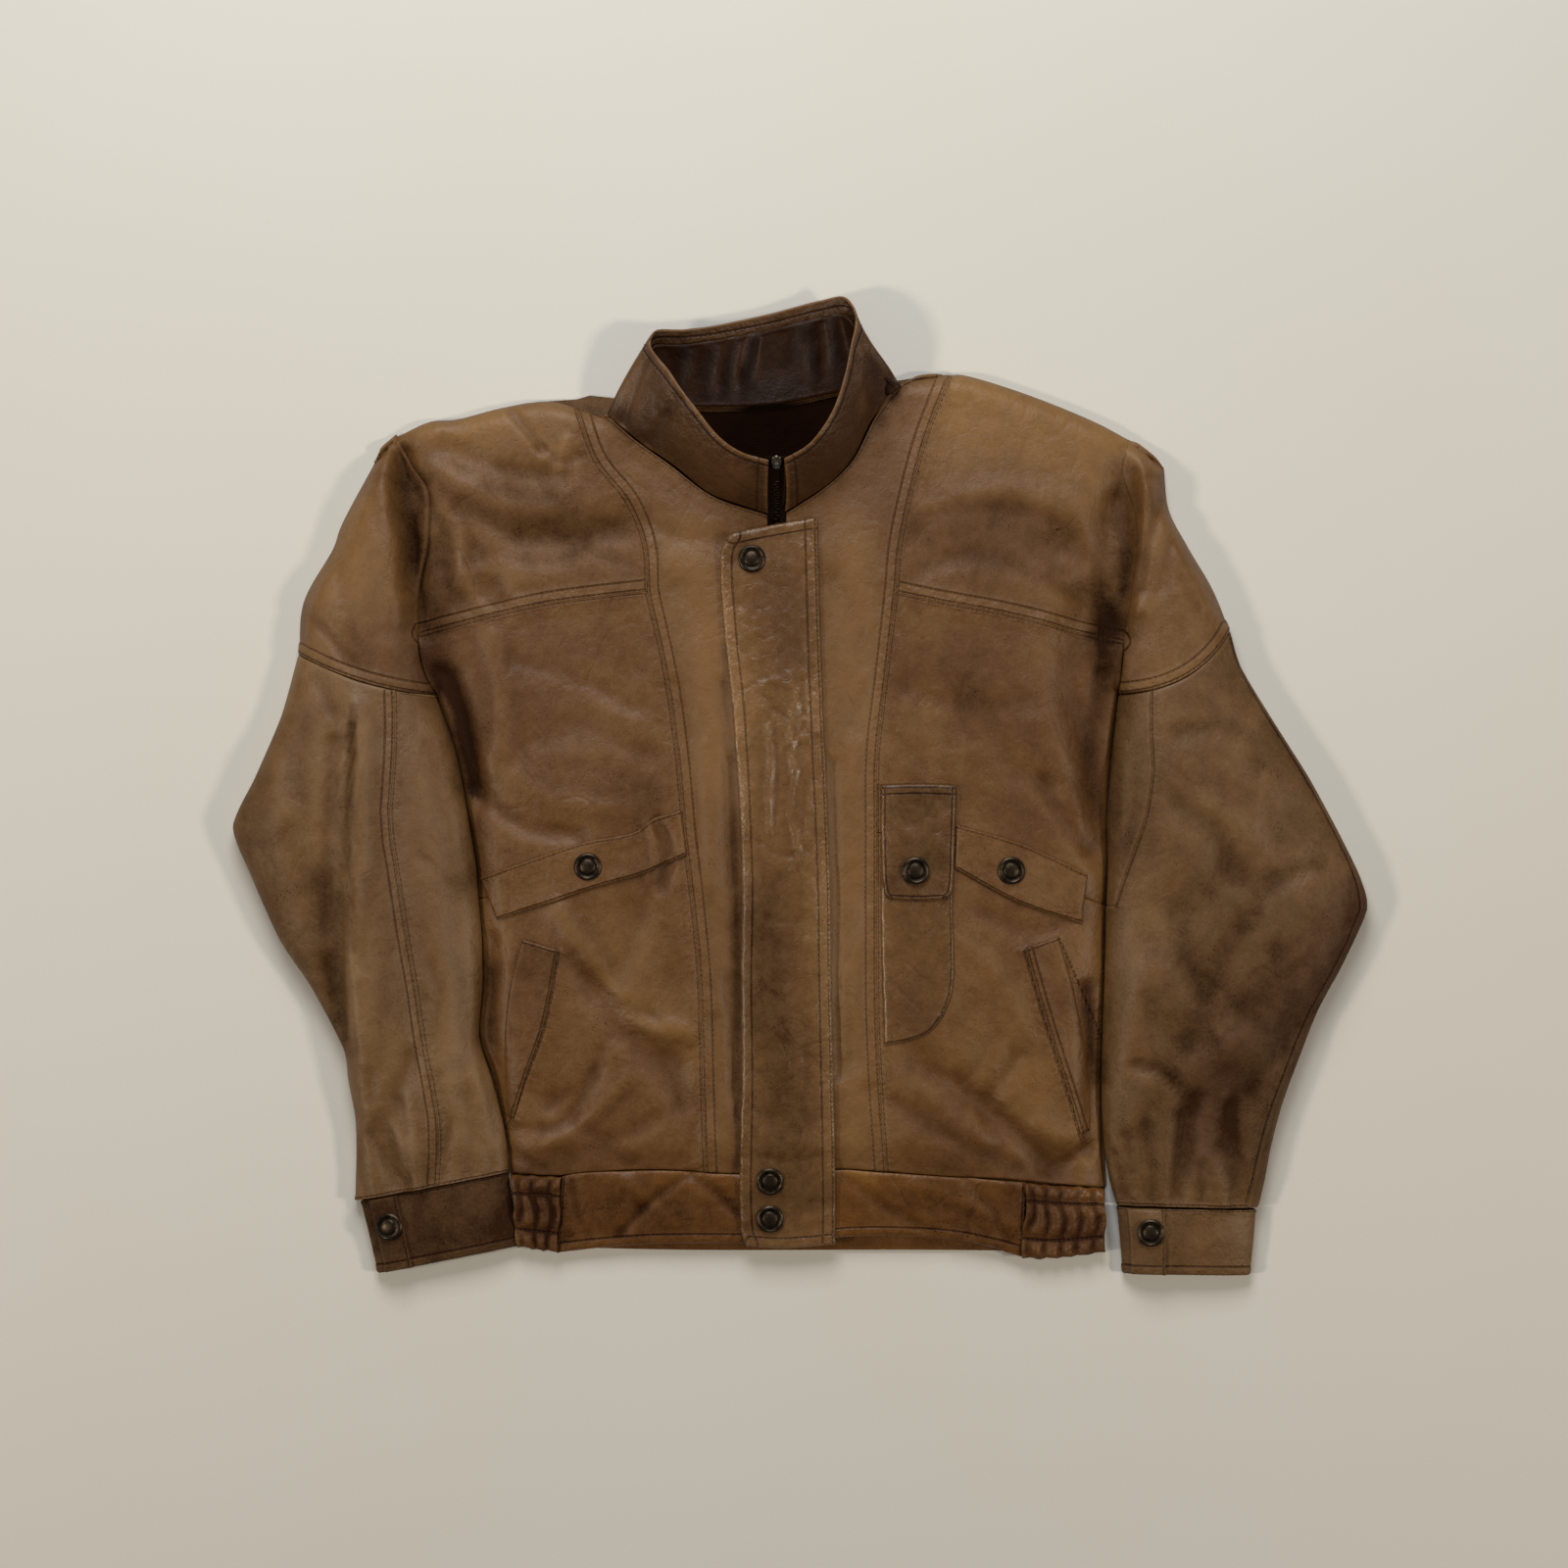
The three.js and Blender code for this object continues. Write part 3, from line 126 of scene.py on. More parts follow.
def dots(*numbers: float) -> Array:
    """Points in plan from x, y, x, y."""
    return points_of(np.reshape(numbers, (-1, 2)))


def plan(*numbers: float) -> Array:
    """A smooth curve in plan through x, y, x, y."""
    return curve(dots(*numbers))


def chain(*legs: Array) -> Array:
    """Joins legs end to end, dropping the point that two legs share."""
    return np.vstack([legs[0], *(leg[1:] for leg in legs[1:])])


def length_of(path: Array) -> float:
    """Length of a chain of points."""
    return float(np.linalg.norm(np.diff(path, axis=0), axis=1).sum())


def at(path: Array, shares: Array) -> Array:
    """Points of a path at shares of its length."""
    steps = np.linalg.norm(np.diff(path, axis=0), axis=1)
    run = np.concatenate([[0.0], np.cumsum(steps)])
    run /= run[-1]
    return np.stack([np.interp(shares, run, path[:, k]) for k in range(path.shape[1])], axis=1)


def shares(length: float, cell: float, rim: Sequence[float] = (0.8, 1.8, 3.2, 5.4)) -> Array:
    """Spreads columns over a length, closer together near both ends where the cloth turns into a seam."""
    near = [r / length for r in rim if r < length * 0.3]
    first = near[-1] if near else 0.0
    middle = np.linspace(first, 1 - first, max(2, round(length * (1 - 2 * first) / cell)) + 1)
    return np.unique(np.round(np.concatenate([[0.0], near, middle, [1 - s for s in near], [1.0]]), 7))


def thin(path: Array) -> Array:
    """Keeps every third point of a close-set path, and both ends."""
    return path if len(path) < 12 else np.vstack([path[:-1:3], path[-1:]])


def distance_to(path: Array, x: Array, y: Array, beside: bool = False) -> Array:
    """Plan distance from points to a chain of points.

    Args:
        path: The chain.
        x: Positions across.
        y: Positions up the garment, of the same shape.
        beside: Whether places past the chain's two ends count as far away.

    Returns:
        Distances in the shape of x.
    """
    best = np.full(x.shape, math.inf)
    for k, (a, b) in enumerate(zip(path, path[1:])):
        step = b[:2] - a[:2]
        span = max(float(step @ step), 1e-9)
        t = ((x - a[0]) * step[0] + (y - a[1]) * step[1]) / span
        past = (t < 0) & (k == 0) | (t > 1) & (k == len(path) - 2)
        t = np.clip(t, 0, 1)
        away = np.hypot(x - a[0] - t * step[0], y - a[1] - t * step[1])
        best = np.minimum(best, np.where(past & beside, math.inf, away))
    return best


def coons(low: Array, high: Array, near: Array, far: Array, u: Array, v: Array):
    """Grid between four rows of points that are already spread.

    Args:
        low: First row.
        high: Last row.
        near: First column.
        far: Last column.
        u: Shares of the columns.
        v: Shares of the rows.

    Returns:
        Points as rows, columns, xyz.
    """
    uu, vv = u[None, :, None], v[:, None, None]
    across = low[None] * (1 - vv) + high[None] * vv
    along = near[:, None] * (1 - uu) + far[:, None] * uu
    corners = (low[0] * (1 - uu) + low[-1] * uu) * (1 - vv) + (high[0] * (1 - uu) + high[-1] * uu) * vv
    return across + along - corners


def fill(
    bottom: Array, top: Array, start: Array, end: Array, cell: float = 3.2
) -> Array:
    """Grid of plan points between four border lines.

    Args:
        bottom: First row, from the start to the end.
        top: Last row.
        start: First column, from the bottom to the top.
        end: Last column.
        cell: Size of a cell.

    Returns:
        Points as rows, columns, xyz.
    """
    u = shares((length_of(bottom) + length_of(top)) / 2, cell)
    v = shares((length_of(start) + length_of(end)) / 2, cell)
    return coons(at(bottom, u), at(top, u), at(start, v), at(end, v), u, v)


def raised(grid: Array, height: Height, lift: float = 0.0) -> Array:
    """Lifts plan points onto a height."""
    lifted = grid.copy()
    lifted[..., 2] = height(grid[..., 0], grid[..., 1]) + lift
    return lifted


def roll(distance: Array, reach: float) -> Array:
    """Quarter-round rise from 0 at an edge to 1 at the given reach."""
    t = 1 - np.clip(distance / reach, 0, 1)
    return np.sqrt(1 - t * t)


def smooth_step(t: Array) -> Array:
    """Eases from 0 to 1."""
    t = np.clip(t, 0, 1)
    return t * t * (3 - 2 * t)


def eased(rows: Array, reach: int) -> Array:
    """Smooths directions along a line with a soft window of the given number of points."""
    window = np.hanning(reach) / np.hanning(reach).sum()
    padded = np.pad(rows, ((reach // 2, reach // 2), (0, 0)), mode="edge")
    return np.stack([np.convolve(padded[:, k], window, "valid") for k in range(3)], axis=1)


def value_noise(x: Array, y: Array, size: float, seed: int) -> Array:
    """Smooth seeded noise from -1 to 1, with lumps of the given size."""
    table = np.random.default_rng(seed).uniform(-1, 1, (64, 64))
    u, v = x / size + 1000, y / size + 1000
    i, j = np.floor(u).astype(int), np.floor(v).astype(int)
    s, t = smooth_step(u - i), smooth_step(v - j)
    pick = lambda a, b: table[a % 64, b % 64]
    low = pick(i, j) * (1 - s) + pick(i + 1, j) * s
    high = pick(i, j + 1) * (1 - s) + pick(i + 1, j + 1) * s
    return low * (1 - t) + high * t


# ---- Seam lines in plan ------------------------------------------------------------------------------


# Corners of each line as x, y, x, y: the right side, then the left.
SEAM_CORNERS = {
    "princess_low": (
        (-73, -300, -75, -241.5, -77.5, -150, -82, -98.5, -89.5, -36),
        (67, -299, 63, -241.5, 60, -180.5, 59.5, -104.5, 59.5, -36),
    ),
    "princess_mid": (
        (-89.5, -36, -94, 17, -103.5, 85.5, -118, 151),
        (59.5, -36, 60, 24.5, 67, 85.5, 74.5, 150),
    ),
    "princess_top": (
        (-118, 151, -120, 186, -133, 220, -158, 252, -174, 295.5),
        (74.5, 150, 77.5, 184.5, 83.5, 216, 97.5, 269.5, 117, 320.5),
    ),
    "yoke": (
        (-296.5, 117.5, -269, 124.5, -239.5, 132, -199, 141, -159.5, 146.5, -118, 151),
        (74.5, 150, 111, 142.5, 150.5, 135.5, 185.5, 127.5, 217.5, 119, 251.5, 112),
    ),
    "pocket": (
        (-251, -88.5, -200.5, -73.5, -162.5, -60.5, -117, -50.5, -89.5, -36),
        (59.5, -36, 90.5, -40, 121, -46, 172.5, -68, 238.5, -93),
    ),
    "waist": (
        (-225.5, -300.5, -184.5, -302, -170, -300, -103.5, -297.5, -73, -300),
        (67, -299, 118, -303, 158, -304.5, 194, -308, 238, -312),
    ),
    "fold": (
        (-296.5, 117.5, -295, 154, -288, 192, -289, 230, -302.5, 251, -314.5, 272.5),
        (251.5, 112, 257.5, 152.5, 261.5, 184.5, 260, 214.5, 251.5, 243.5, 255.5, 271),
    ),
    "armhole": (
        (-283.5, 70.5, -292, 91.5, -296.5, 117.5),
        (248.5, 72, 249.5, 91.5, 251.5, 112),
    ),
    "side_chest": (
        (-251, -88.5, -251.5, -69, -257.5, -30, -269, 27.5, -283.5, 70.5),
        (238.5, -93, 240, -59, 240, -29.5, 243, 21.5, 248.5, 72),
    ),
    "side_lower": (
        (-225.5, -300.5, -228, -277, -240, -226, -250, -196.5, -247, -150, -248, -119.5, -251, -88.5),
        (238, -312, 235.5, -271.5, 235, -236.5, 237, -155.5, 238.5, -93),
    ),
    "shoulder": (
        (-314.5, 272.5, -288, 284.5, -269, 286, -231, 295.5, -195.5, 300.5, -174, 295.5),
        (117, 320.5, 126, 321, 172.5, 307.5, 231, 284, 255.5, 271),
    ),
    "cap": (
        (-390.5, 103.5, -387, 143.5, -363.5, 186.5, -358, 202.5, -331.5, 252.5),
        (335, 122.5, 322, 154, 302.5, 187.5, 288, 216, 284, 249),
    ),
    "neck": (
        (-174, 295.5, -151, 287.5, -127.5, 268.5, -101, 249.5, -67, 224.5, -25, 210),
        (-10.5, 211.5, 20, 232, 40.5, 252, 61.5, 290.5, 85, 316, 117, 320.5),
    ),
    "edge": (
        (-12, -300.5, -15, -150, -20, 2, -23, 116, -25, 210),
        (-4.5, -300.5, -6, -150, -9, 2, -10.5, 116, -10.5, 211.5),
    ),
}


@dataclass
class SeamLines:
    """The curves that neighbouring panels share, from the hem end upwards or from right to left."""

    princess_low: dict
    princess_mid: dict
    princess_top: dict
    yoke: dict
    pocket: dict
    waist: dict
    fold: dict
    armhole: dict
    side_chest: dict
    side_lower: dict
    shoulder: dict
    cap: dict
    neck: dict
    edge: dict

    @classmethod
    def drawn(cls) -> "SeamLines":
        """Draws every line on both sides."""
        drawn = {}
        for name, sides in SEAM_CORNERS.items():
            drawn[name] = {hand: plan(*corners) for hand, corners in zip(Hand, sides)}
        return cls(**drawn)

    def princess(self, hand: Hand) -> Array:
        """The whole princess seam."""
        return chain(self.princess_low[hand], self.princess_mid[hand], self.princess_top[hand])


# ---- How the jacket lies -----------------------------------------------------------------------------


@dataclass(frozen=True)
class Crease:
    """A soft trough pressed into the leather, or a ridge where the depth is negative."""

    path: list
    depth: float
    width: float

    def at(self, x: Array, y: Array) -> Array:
        """Depth lost at places in plan, fading out at both ends of the crease.

        Args:
            x: Positions across.
            y: Positions up the garment.

        Returns:
            Depths in the shape of x.
        """
        low = np.min([p[:2] for p in self.path], axis=0) - 3 * self.width
        high = np.max([p[:2] for p in self.path], axis=0) + 3 * self.width
        near = (x > low[0]) & (x < high[0]) & (y > low[1]) & (y < high[1])
        lost = np.zeros(x.shape)
        if near.any():
            line = curve(self.path)
            away = distance_to(thin(line), x[near], y[near])
            lost[near] = self.depth * np.exp(-((away / self.width) ** 2))
        return lost


def pressed(rows: Sequence[tuple]) -> list[Crease]:
    """Reads creases from rows of depth, width and the path's corners as x, y, x, y."""
    return [Crease(list(zip(row[2::2], row[3::2])), *row[:2]) for row in rows]


def total(creases: Sequence[Crease], x: Array, y: Array) -> Array:
    """Adds up creases, or patches of wear, at places in plan."""
    return sum((crease.at(x, y) for crease in creases), np.zeros(x.shape))


LARGE_FOLDS = pressed([
    (6, 13, -289, 230, -240, 161.5),
    (4, 12, -313, 266.5, -263, 252.5),
    (-4, 15, -293.5, 154, -225, 173),
    (7, 12, 250, 243.5, 255.5, 154),
    (4, 14, 208, 184.5, 246, 123.5),
    (3.5, 12, -164, -157.5, -88, -241.5),
    (3, 10, -194.5, -241.5, -134, -294.5),
    (3.5, 13, 94, -211, 200.5, -294.5),
    (3, 8, -51.5, 17, -50, -233.5),
    (-5, 13, -344.5, 61, -352.5, -74),
    (-4, 12, -352.5, -74, -357, -150),
    (-4, 10, -342, -150, -337.5, -256.5),
    (4, 8, -328.5, -259.5, -306.5, -313.5),
    (-3, 7, -304, -275.5, -298, -313.5),
    (3, 9, -263, -241.5, -286, -302),
    (-4, 16, 269, -142.5, 360, -211),
    (5, 8, 295.5, -255, 292, -320.5),
    (4, 7, 254, -271.5, 254, -321),
    (-4, 8, 311, -287, 311.5, -322.5),
    (4, 18, 368, -43.5, 292, -97),
])

# The deep valleys where the sleeves fold in beside the chest.
VALLEYS = pressed([
    (9, 9, -310, 259, -307, 222.5, -298, 184.5, -290.5, 123.5),
    (-3, 9, -322, 230, -316, 184.5, -310, 131),
    (4, 12, -281, 184.5, -263, 154, -240, 146.5),
    (6.5, 12, 243, 221, 236.5, 192, 232.5, 157.5, 241.5, 123.5),
    (-4, 8, 269, 230, 267.5, 184.5, 263, 138.5),
    (3, 12, 185.5, 184.5, 216, 154, 238.5, 123.5),
    (6, 11, -279.5, 85.5, -266, 47.5, -255.5, 2),
    (6, 12, 237, 85.5, 229.5, 32.5, 232.5, -43.5),
    (5, 8, -240, -119.5, -240, -195.5, -232.5, -264),
    (5, 8, 225, -157.5, 228, -226, 225, -279.5),
    (6, 9, -358, 32.5, -361, -59, -359.5, -180.5),
    (-2.5, 9, -337.5, 47.5, -337.5, -74, -334.5, -211),
    (2.5, 14, -225, 184.5, -194.5, 199.5, -134, 199.5),
    (2.6, 13, 102, 184.5, 155, 195.5, 208, 184.5),
    (-1.8, 13, 109.5, 214.5, 162.5, 230, 216, 214.5),
    (2.2, 12, -164, -150, -126, -195.5, -96, -218.5),
    (2.6, 10, 124.5, -233.5, 162.5, -264, 193, -294.5),
    (4, 8, 307, -241.5, 303, -287, 308.5, -322),
    (2.5, 8, 333.5, -249, 339, -287, 339, -322),
    (3, 7, 269, -264, 273.5, -302, 275, -325),
    (2.6, 14, 368, -74, 330, -119.5, 299.5, -195.5),
    (2, 14, 314.5, 2, 360, -21, 406, -36),
    (3, 12, -392, -36, -377, -97, -363.5, -157.5),
    (3, 9, -301, -211, -316, -256.5, -317.5, -309.5),
    (2.5, 9, -263, -218.5, -255.5, -264, -257, -302),
])

# Smaller creases, from the shoulders down: each bends as the hide has set in wear.
CREASES = pressed([
    # right shoulder and yoke
    (3.2, 4.5, -225, 290.5, -214.5, 278.5, -200.5, 262),
    (-1.5, 4, -231, 293.5, -213, 272.5, -197.5, 255.5),
    (1.6, 4, -200.5, 262, -184, 252.5, -170, 257.5),
    (1.8, 8, -275, 268, -226.5, 246.5, -185.5, 242),
    (-1.6, 8, -281, 249.5, -235.5, 221, -194.5, 214.5),
    (2.2, 9, -263, 217.5, -214.5, 195, -172, 193.5, -140, 201),
    (1.4, 8, -251, 183, -214.5, 175, -176.5, 179.5),
    (-1.4, 4, -181, 269.5, -187, 248),
    (3.5, 7, -308.5, 252.5, -295, 230, -298, 195.5, -304, 154),
    (-2.4, 7, -286, 230, -264.5, 195.5, -263, 161.5, -240, 137),
    (-1.6, 5, -295, 184.5, -287.5, 154, -289, 131),
    (1.2, 7, -164, 184.5, -134, 173),
    # right sleeve head
    (2.2, 5, -387.5, 138.5, -369.5, 122, -345, 96),
    (1.6, 9, -362, 184.5, -349.5, 138.5, -337.5, 93),
    (-1.8, 10, -337.5, 214.5, -322, 161.5, -316, 108.5),
    (2, 7, -372.5, 85.5, -358.5, 55, -345, 24.5),
    # right chest
    (-2.6, 9, -240, 116, -232.5, 78, -231, 32.5),
    (3, 9, -269, 85.5, -257, 32.5, -248, -13.5),
    (1.3, 8, -225, 99, -172, 84, -126, 61),
    (1.1, 11, -217.5, 32.5, -164, 46, -118.5, 24.5),
    (2.4, 7, -251, -2.5, -214.5, -30, -172, -37.5),
    (-1.3, 9, -240, 17, -194.5, -9.5, -134, -18),
    # right pocket and lower front
    (3, 4.5, -110, -27, -101, -51.5, -106.5, -78),
    (-1.6, 4, -117, -30, -112.5, -54.5, -115.5, -71),
    (-2.6, 9, -187, -97, -156.5, -148.5, -124.5, -180.5, -88, -189.5),
    (2.2, 7, -175, -131, -144.5, -167, -112.5, -179),
    (1.6, 11, -124.5, -97, -134, -127.5, -150.5, -154.5),
    (1.8, 5.5, -220.5, -267, -182.5, -261, -159.5, -223),
    (-1.4, 6, -194.5, -276.5, -161, -255, -134, -226),
    (1.3, 4, -225, -284, -200.5, -296),
    (1.2, 8, -178, -287, -134, -268.5, -96, -249),
    (1.2, 7, -149, -195.5, -164, -226, -194.5, -249),
    (1, 8, -103.5, -211, -88, -264),
    # right waistband
    (1.4, 3.6, -141.5, -349, -112.5, -319, -85, -300.5),
    (1.8, 4.5, -83.5, -302, -65.5, -314.5, -48.5, -331),
    (1, 4, -177, -306, -172, -332.5, -164, -349),
    (-0.9, 5, -134, -306, -96, -340),
    # centre front
    (1.6, 5, -59.5, 78, -55.5, 2, -51.5, -74),
    (1.3, 5, -56, -150, -53, -195.5, -48.5, -256.5),
    (-1.6, 7, -76, 32.5, -71.5, -28.5, -70, -74),
    (1.2, 9, -96, 154, -73, 123.5, -62.5, 62.5),
    (1.2, 8, -134, 214.5, -96, 193.5, -59.5, 190.5),
    (1.6, 9, 27.5, 161.5, 48.5, 108.5, 42.5, 47.5),
    (1.4, 9, -96, 78, -76, 2, -79, -43.5),
    (-1.3, 8, 51.5, -97, 38, -157.5, 48.5, -226),
    (1.4, 8, -88, -287, -71.5, -241.5, -67, -180.5),
    (1.3, 9, 33.5, -74, 42.5, -135, 39.5, -211),
    (1.8, 4, 26.5, 17, 28, -74, 29, -226),
    # left shoulder and yoke
    (1.5, 8, 88, 199.5, 109.5, 212.5, 161, 216, 202, 202.5, 219, 179.5),
    (1.3, 8, 94, 169, 140, 179.5, 185.5, 164.5, 219, 146.5),
    (-1.2, 8, 109.5, 188, 162.5, 195.5, 208, 175),
    (1.2, 4, 251, 262, 257, 246.5, 276.5, 240.5),
    (2.2, 5, 279.5, 221, 269, 184.5, 263, 154),
    (1.7, 6, 295, 207, 284, 178, 279.5, 154),
    (-2.4, 5, 266, 242, 262, 184.5, 257, 123.5),
    (1.2, 6, 296.5, 161.5, 307, 138.5),
    # left chest
    (3.2, 11, 216, 146.5, 210, 85.5, 222, 32.5, 238.5, -21),
    (-1.8, 11, 185.5, 123.5, 190, 62.5, 208, 2),
    (1, 9, 79, 78, 124.5, 62.5, 178, 65.5),
    (1.2, 10, 147.5, 47.5, 170, 9.5, 216, 2),
    (2.4, 7, 188.5, 2, 210, -33, 231, -59),
    # left lower front
    (1.3, 8, 140, -97, 178, -112, 223.5, -97),
    (-1.4, 10, 127.5, -119.5, 155, -150, 178, -195.5),
    (1.8, 8, 167, -208, 144.5, -249, 156.5, -278),
    (1.8, 8, 73, -244.5, 117, -271.5, 167, -294.5),
    (1.8, 6, 155, -256.5, 182.5, -284, 199, -305),
    (1.6, 5, 203.5, -293, 219, -284, 234, -288.5),
    (-2.2, 10, 187, -264, 208, -271.5, 231, -264),
    (1, 9, 86.5, -218.5, 124.5, -226, 147.5, -195.5),
    (1, 8, 36.5, -218.5, 64, -249, 56, -287),
    # left waistband
    (1, 4.5, 36.5, -305, 71.5, -329.5, 109.5, -349),
    (-0.8, 5, 86.5, -309.5, 117, -317.5, 162.5, -340),
    (1, 4, 132, -306.5, 152, -332.5, 162.5, -355.5),
    # right sleeve
    (3.4, 4.5, -345, 47.5, -351, -43.5, -354, -119.5, -352.5, -195.5),
    (1.8, 12, -383, 47.5, -378.5, -28.5, -366.5, -104.5),
    (-1.6, 12, -407.5, 17, -392, -43.5, -372.5, -119.5),
    (1.5, 6, -334.5, -74, -337.5, -165.5, -331.5, -241.5),
    (1.8, 4.5, -333, -268.5, -322, -290, -311.5, -306.5),
    (2, 4.5, -311.5, -243, -304, -274.5, -302.5, -306.5),
    (1.6, 4, -345, -281, -342, -302, -337.5, -316),
    (1.6, 7, -281, -226, -273.5, -264, -276.5, -302),
    (1.2, 7, -257, -233.5, -246, -264, -238.5, -294.5),
    (0.9, 4, -293.5, -51.5, -279.5, -63.5, -272, -74),
    (1.4, 8, -286, 32.5, -270.5, -43.5, -263, -135, -255.5, -211),
    (0.8, 6, -293.5, -119.5, -278, -157.5, -286, -195.5),
    # left sleeve
    (2.6, 10, 292, -13.5, 322, -36, 333, -62, 354, -74, 398, -59),
    (1.3, 8, 292, 43, 324, 46, 346.5, 38.5, 352.5, 17),
    (1.3, 10, 292, -97, 304, -150, 322, -195.5),
    (-2.6, 13, 413.5, -119.5, 360, -180.5, 308.5, -212.5),
    (2, 10, 389, -189.5, 339, -241.5, 324, -279.5),
    (2.6, 5, 258.5, -215.5, 281, -220, 298, -241.5, 296.5, -274.5, 292, -317.5),
    (2.6, 4.5, 243, -284, 248, -302, 251, -322),
    (1.2, 6, 269, -249, 261.5, -287, 267.5, -322),
    (2.2, 3.6, 310, -291.5, 312.5, -323.5),
    (-1.4, 6, 322, -287, 330, -323.5),
    (-1.6, 9, 254, -104.5, 258.5, -150, 251, -211),
    (1, 6, 261.5, 32.5, 258.5, -13.5, 252.5, -51.5),
    (1.6, 7, 430, -74, 424, -112, 418, -150),
])

# Short standing creases in the glazed storm flap, where the zip makes it buckle.
FLAP_CREASES = pressed([
    (-0.92, 2.4, -25, 46, -22, 23, -25, -2.5, -23, -36),
    (0.66, 2.6, -20, 49, -17.5, 9.5, -20, -30),
    (-0.99, 2.6, -7.5, 87, -3, 65.5, -7.5, 46, -4.5, 12.5),
    (0.75, 2.8, 1.5, 82.5, 3, 55, -1.5, 24.5),
    (-0.99, 2.4, -3, 12.5, -7.5, -18, -1.5, -51.5, -6, -63.5),
    (0.66, 2.6, 4.5, 2, 1.5, -36),
    (-0.66, 2.4, -30.5, 78, -20, 82.5, -9, 78),
    (0.66, 2.4, -21.5, 61, -7.5, 53.5, 6, 56.5),
    (-0.66, 2.2, -12, 32.5, 4.5, 38.5),
    (0.58, 2.8, -30.5, -43.5, -12, -53, 7.5, -48.5),
    (-0.49, 2.8, -12, 123.5, 4.5, 108.5, 6, 90),
    (0.42, 4, -30.5, 161.5, -12, 154, 3, 164.5),
    (0.49, 3, -33.5, -97, -12, -104.5, 9, -97),
    (-0.49, 3, -23, -119.5, -26, -165.5),
    (0.42, 3.4, -12, -195.5, 6, -211, 3, -249),
    (0.49, 3, -35, -284, -12, -290, 15, -285.5),
])


@dataclass
class Lie:
    """Height of the laid-out front over the surface it lies on."""

    seams: SeamLines
    crown_keys: tuple = (
        (-361.5, 11), (-332.5, 15), (-303.5, 17), (-271.5, 24), (-150, 28),
        (2, 28), (154, 26), (306, 20),
    )
    crown_fall: float = 0.2
    half_width: float = 250
    side_roll: float = 24
    top_roll: float = 15
    hem_roll: float = 7
    hem_stand: float = 3.5
    valley_share: float = 1.3
    crease_share: float = 1.5
    sides: list = field(default_factory=list)
    tops: dict = field(default_factory=dict)
    hem: Array = None

    def __post_init__(self) -> None:
        """Gathers the lines that the front rolls down at."""
        for hand in Hand:
            self.sides.append(thin(chain(self.seams.side_lower[hand], self.seams.side_chest[hand])))
        cap, shoulder = self.seams.cap, self.seams.shoulder
        right = chain(cap[Hand.RIGHT], dots(-331.5, 252.5, -314.5, 272.5), shoulder[Hand.RIGHT])
        left = chain(shoulder[Hand.LEFT], dots(255.5, 271, 284, 249), cap[Hand.LEFT][::-1])
        self.tops[Hand.RIGHT] = np.vstack([thin(right), dots(-174, 295.5, -155, 290)])
        self.tops[Hand.LEFT] = np.vstack([dots(88, 316.5, 117, 320.5), thin(left)])
        right = plan(-219, -358.5, -189, -363, -147.5, -358.5, -109.5, -356, -14.5, -356)
        left = plan(-6, -356, 42, -350.5, 114, -352.5, 149.5, -359, 195.5, -367.5, 237, -363)
        self.hem = thin(np.vstack([right, left]))

    def crown(self, y: Array) -> Array:
        """Height of the crown at distances up the garment."""
        keys = self.crown_keys
        height = np.full(y.shape, float(keys[0][1]))
        for (low, start), (high, finish) in zip(keys, keys[1:]):
            eased_up = start + (finish - start) * smooth_step((y - low) / (high - low))
            height = np.where(y >= low, eased_up, height)
        return height

    def folds(self, x: Array, y: Array) -> Array:
        """Height lost to the large folds."""
        return total(LARGE_FOLDS, x, y)

    def fine(self, x: Array, y: Array) -> Array:
        """Height lost to the smaller creases and the hide's soft waviness."""
        lost = self.valley_share * total(VALLEYS, x, y)
        lost += self.crease_share * total(CREASES, x, y)
        lost += 0.75 * value_noise(x, y, 46, 11) + 0.4 * value_noise(x + y * 0.4, y, 21, 12)
        return lost + 0.16 * value_noise(x, y, 9, 13)

    def plain(self, x: Array, y: Array, finely: bool = False) -> Array:
        """Height of the front's outer face.

        Args:
            x: Positions across.
            y: Positions up the garment.
            finely: Whether to press in the smaller creases as well.

        Returns:
            Heights in the shape of x.
        """
        lost = self.folds(x, y) + (self.fine(x, y) if finely else 0)
        top = self.crown(y) * (1 - self.crown_fall * np.minimum(1, (x / self.half_width) ** 2)) - lost
        sides = np.minimum(*(roll(distance_to(side, x, y), self.side_roll) for side in self.sides))
        tops = np.minimum(*(roll(distance_to(line, x, y), self.top_roll) for line in self.tops.values()))
        return EDGE + np.maximum(0, top - EDGE) * sides * tops

    def front(self, x: Array, y: Array) -> Array:
        """Height of the creased front."""
        return self.plain(x, y, True)

    def band(self, x: Array, y: Array) -> Array:
        """Height of the waistband's front, tucked under at its lower edge."""
        turn = roll(distance_to(self.hem, x, y) + self.hem_stand, self.hem_roll)
        return BAND_EDGE + (self.front(x, y) - EDGE) * turn

    def surface(self, x: Array, y: Array) -> Array:
        """Height of whatever a sewn-on piece lies on."""
        front = self.front(x, y)
        return np.where(y < -300, np.maximum(front, self.band(x, y)), front)

    def bridged(self, x: Array, y: Array) -> Array:
        """Height under the storm flap, which is stiff and bridges short dips."""
        plain = lambda dy: np.where(
            y + dy < -300, np.maximum(self.plain(x, y + dy), self.band(x, y + dy)), self.plain(x, y + dy)
        )
        return 1.0 + np.maximum(plain(0.0), (plain(-24.0) + plain(24.0)) / 2)
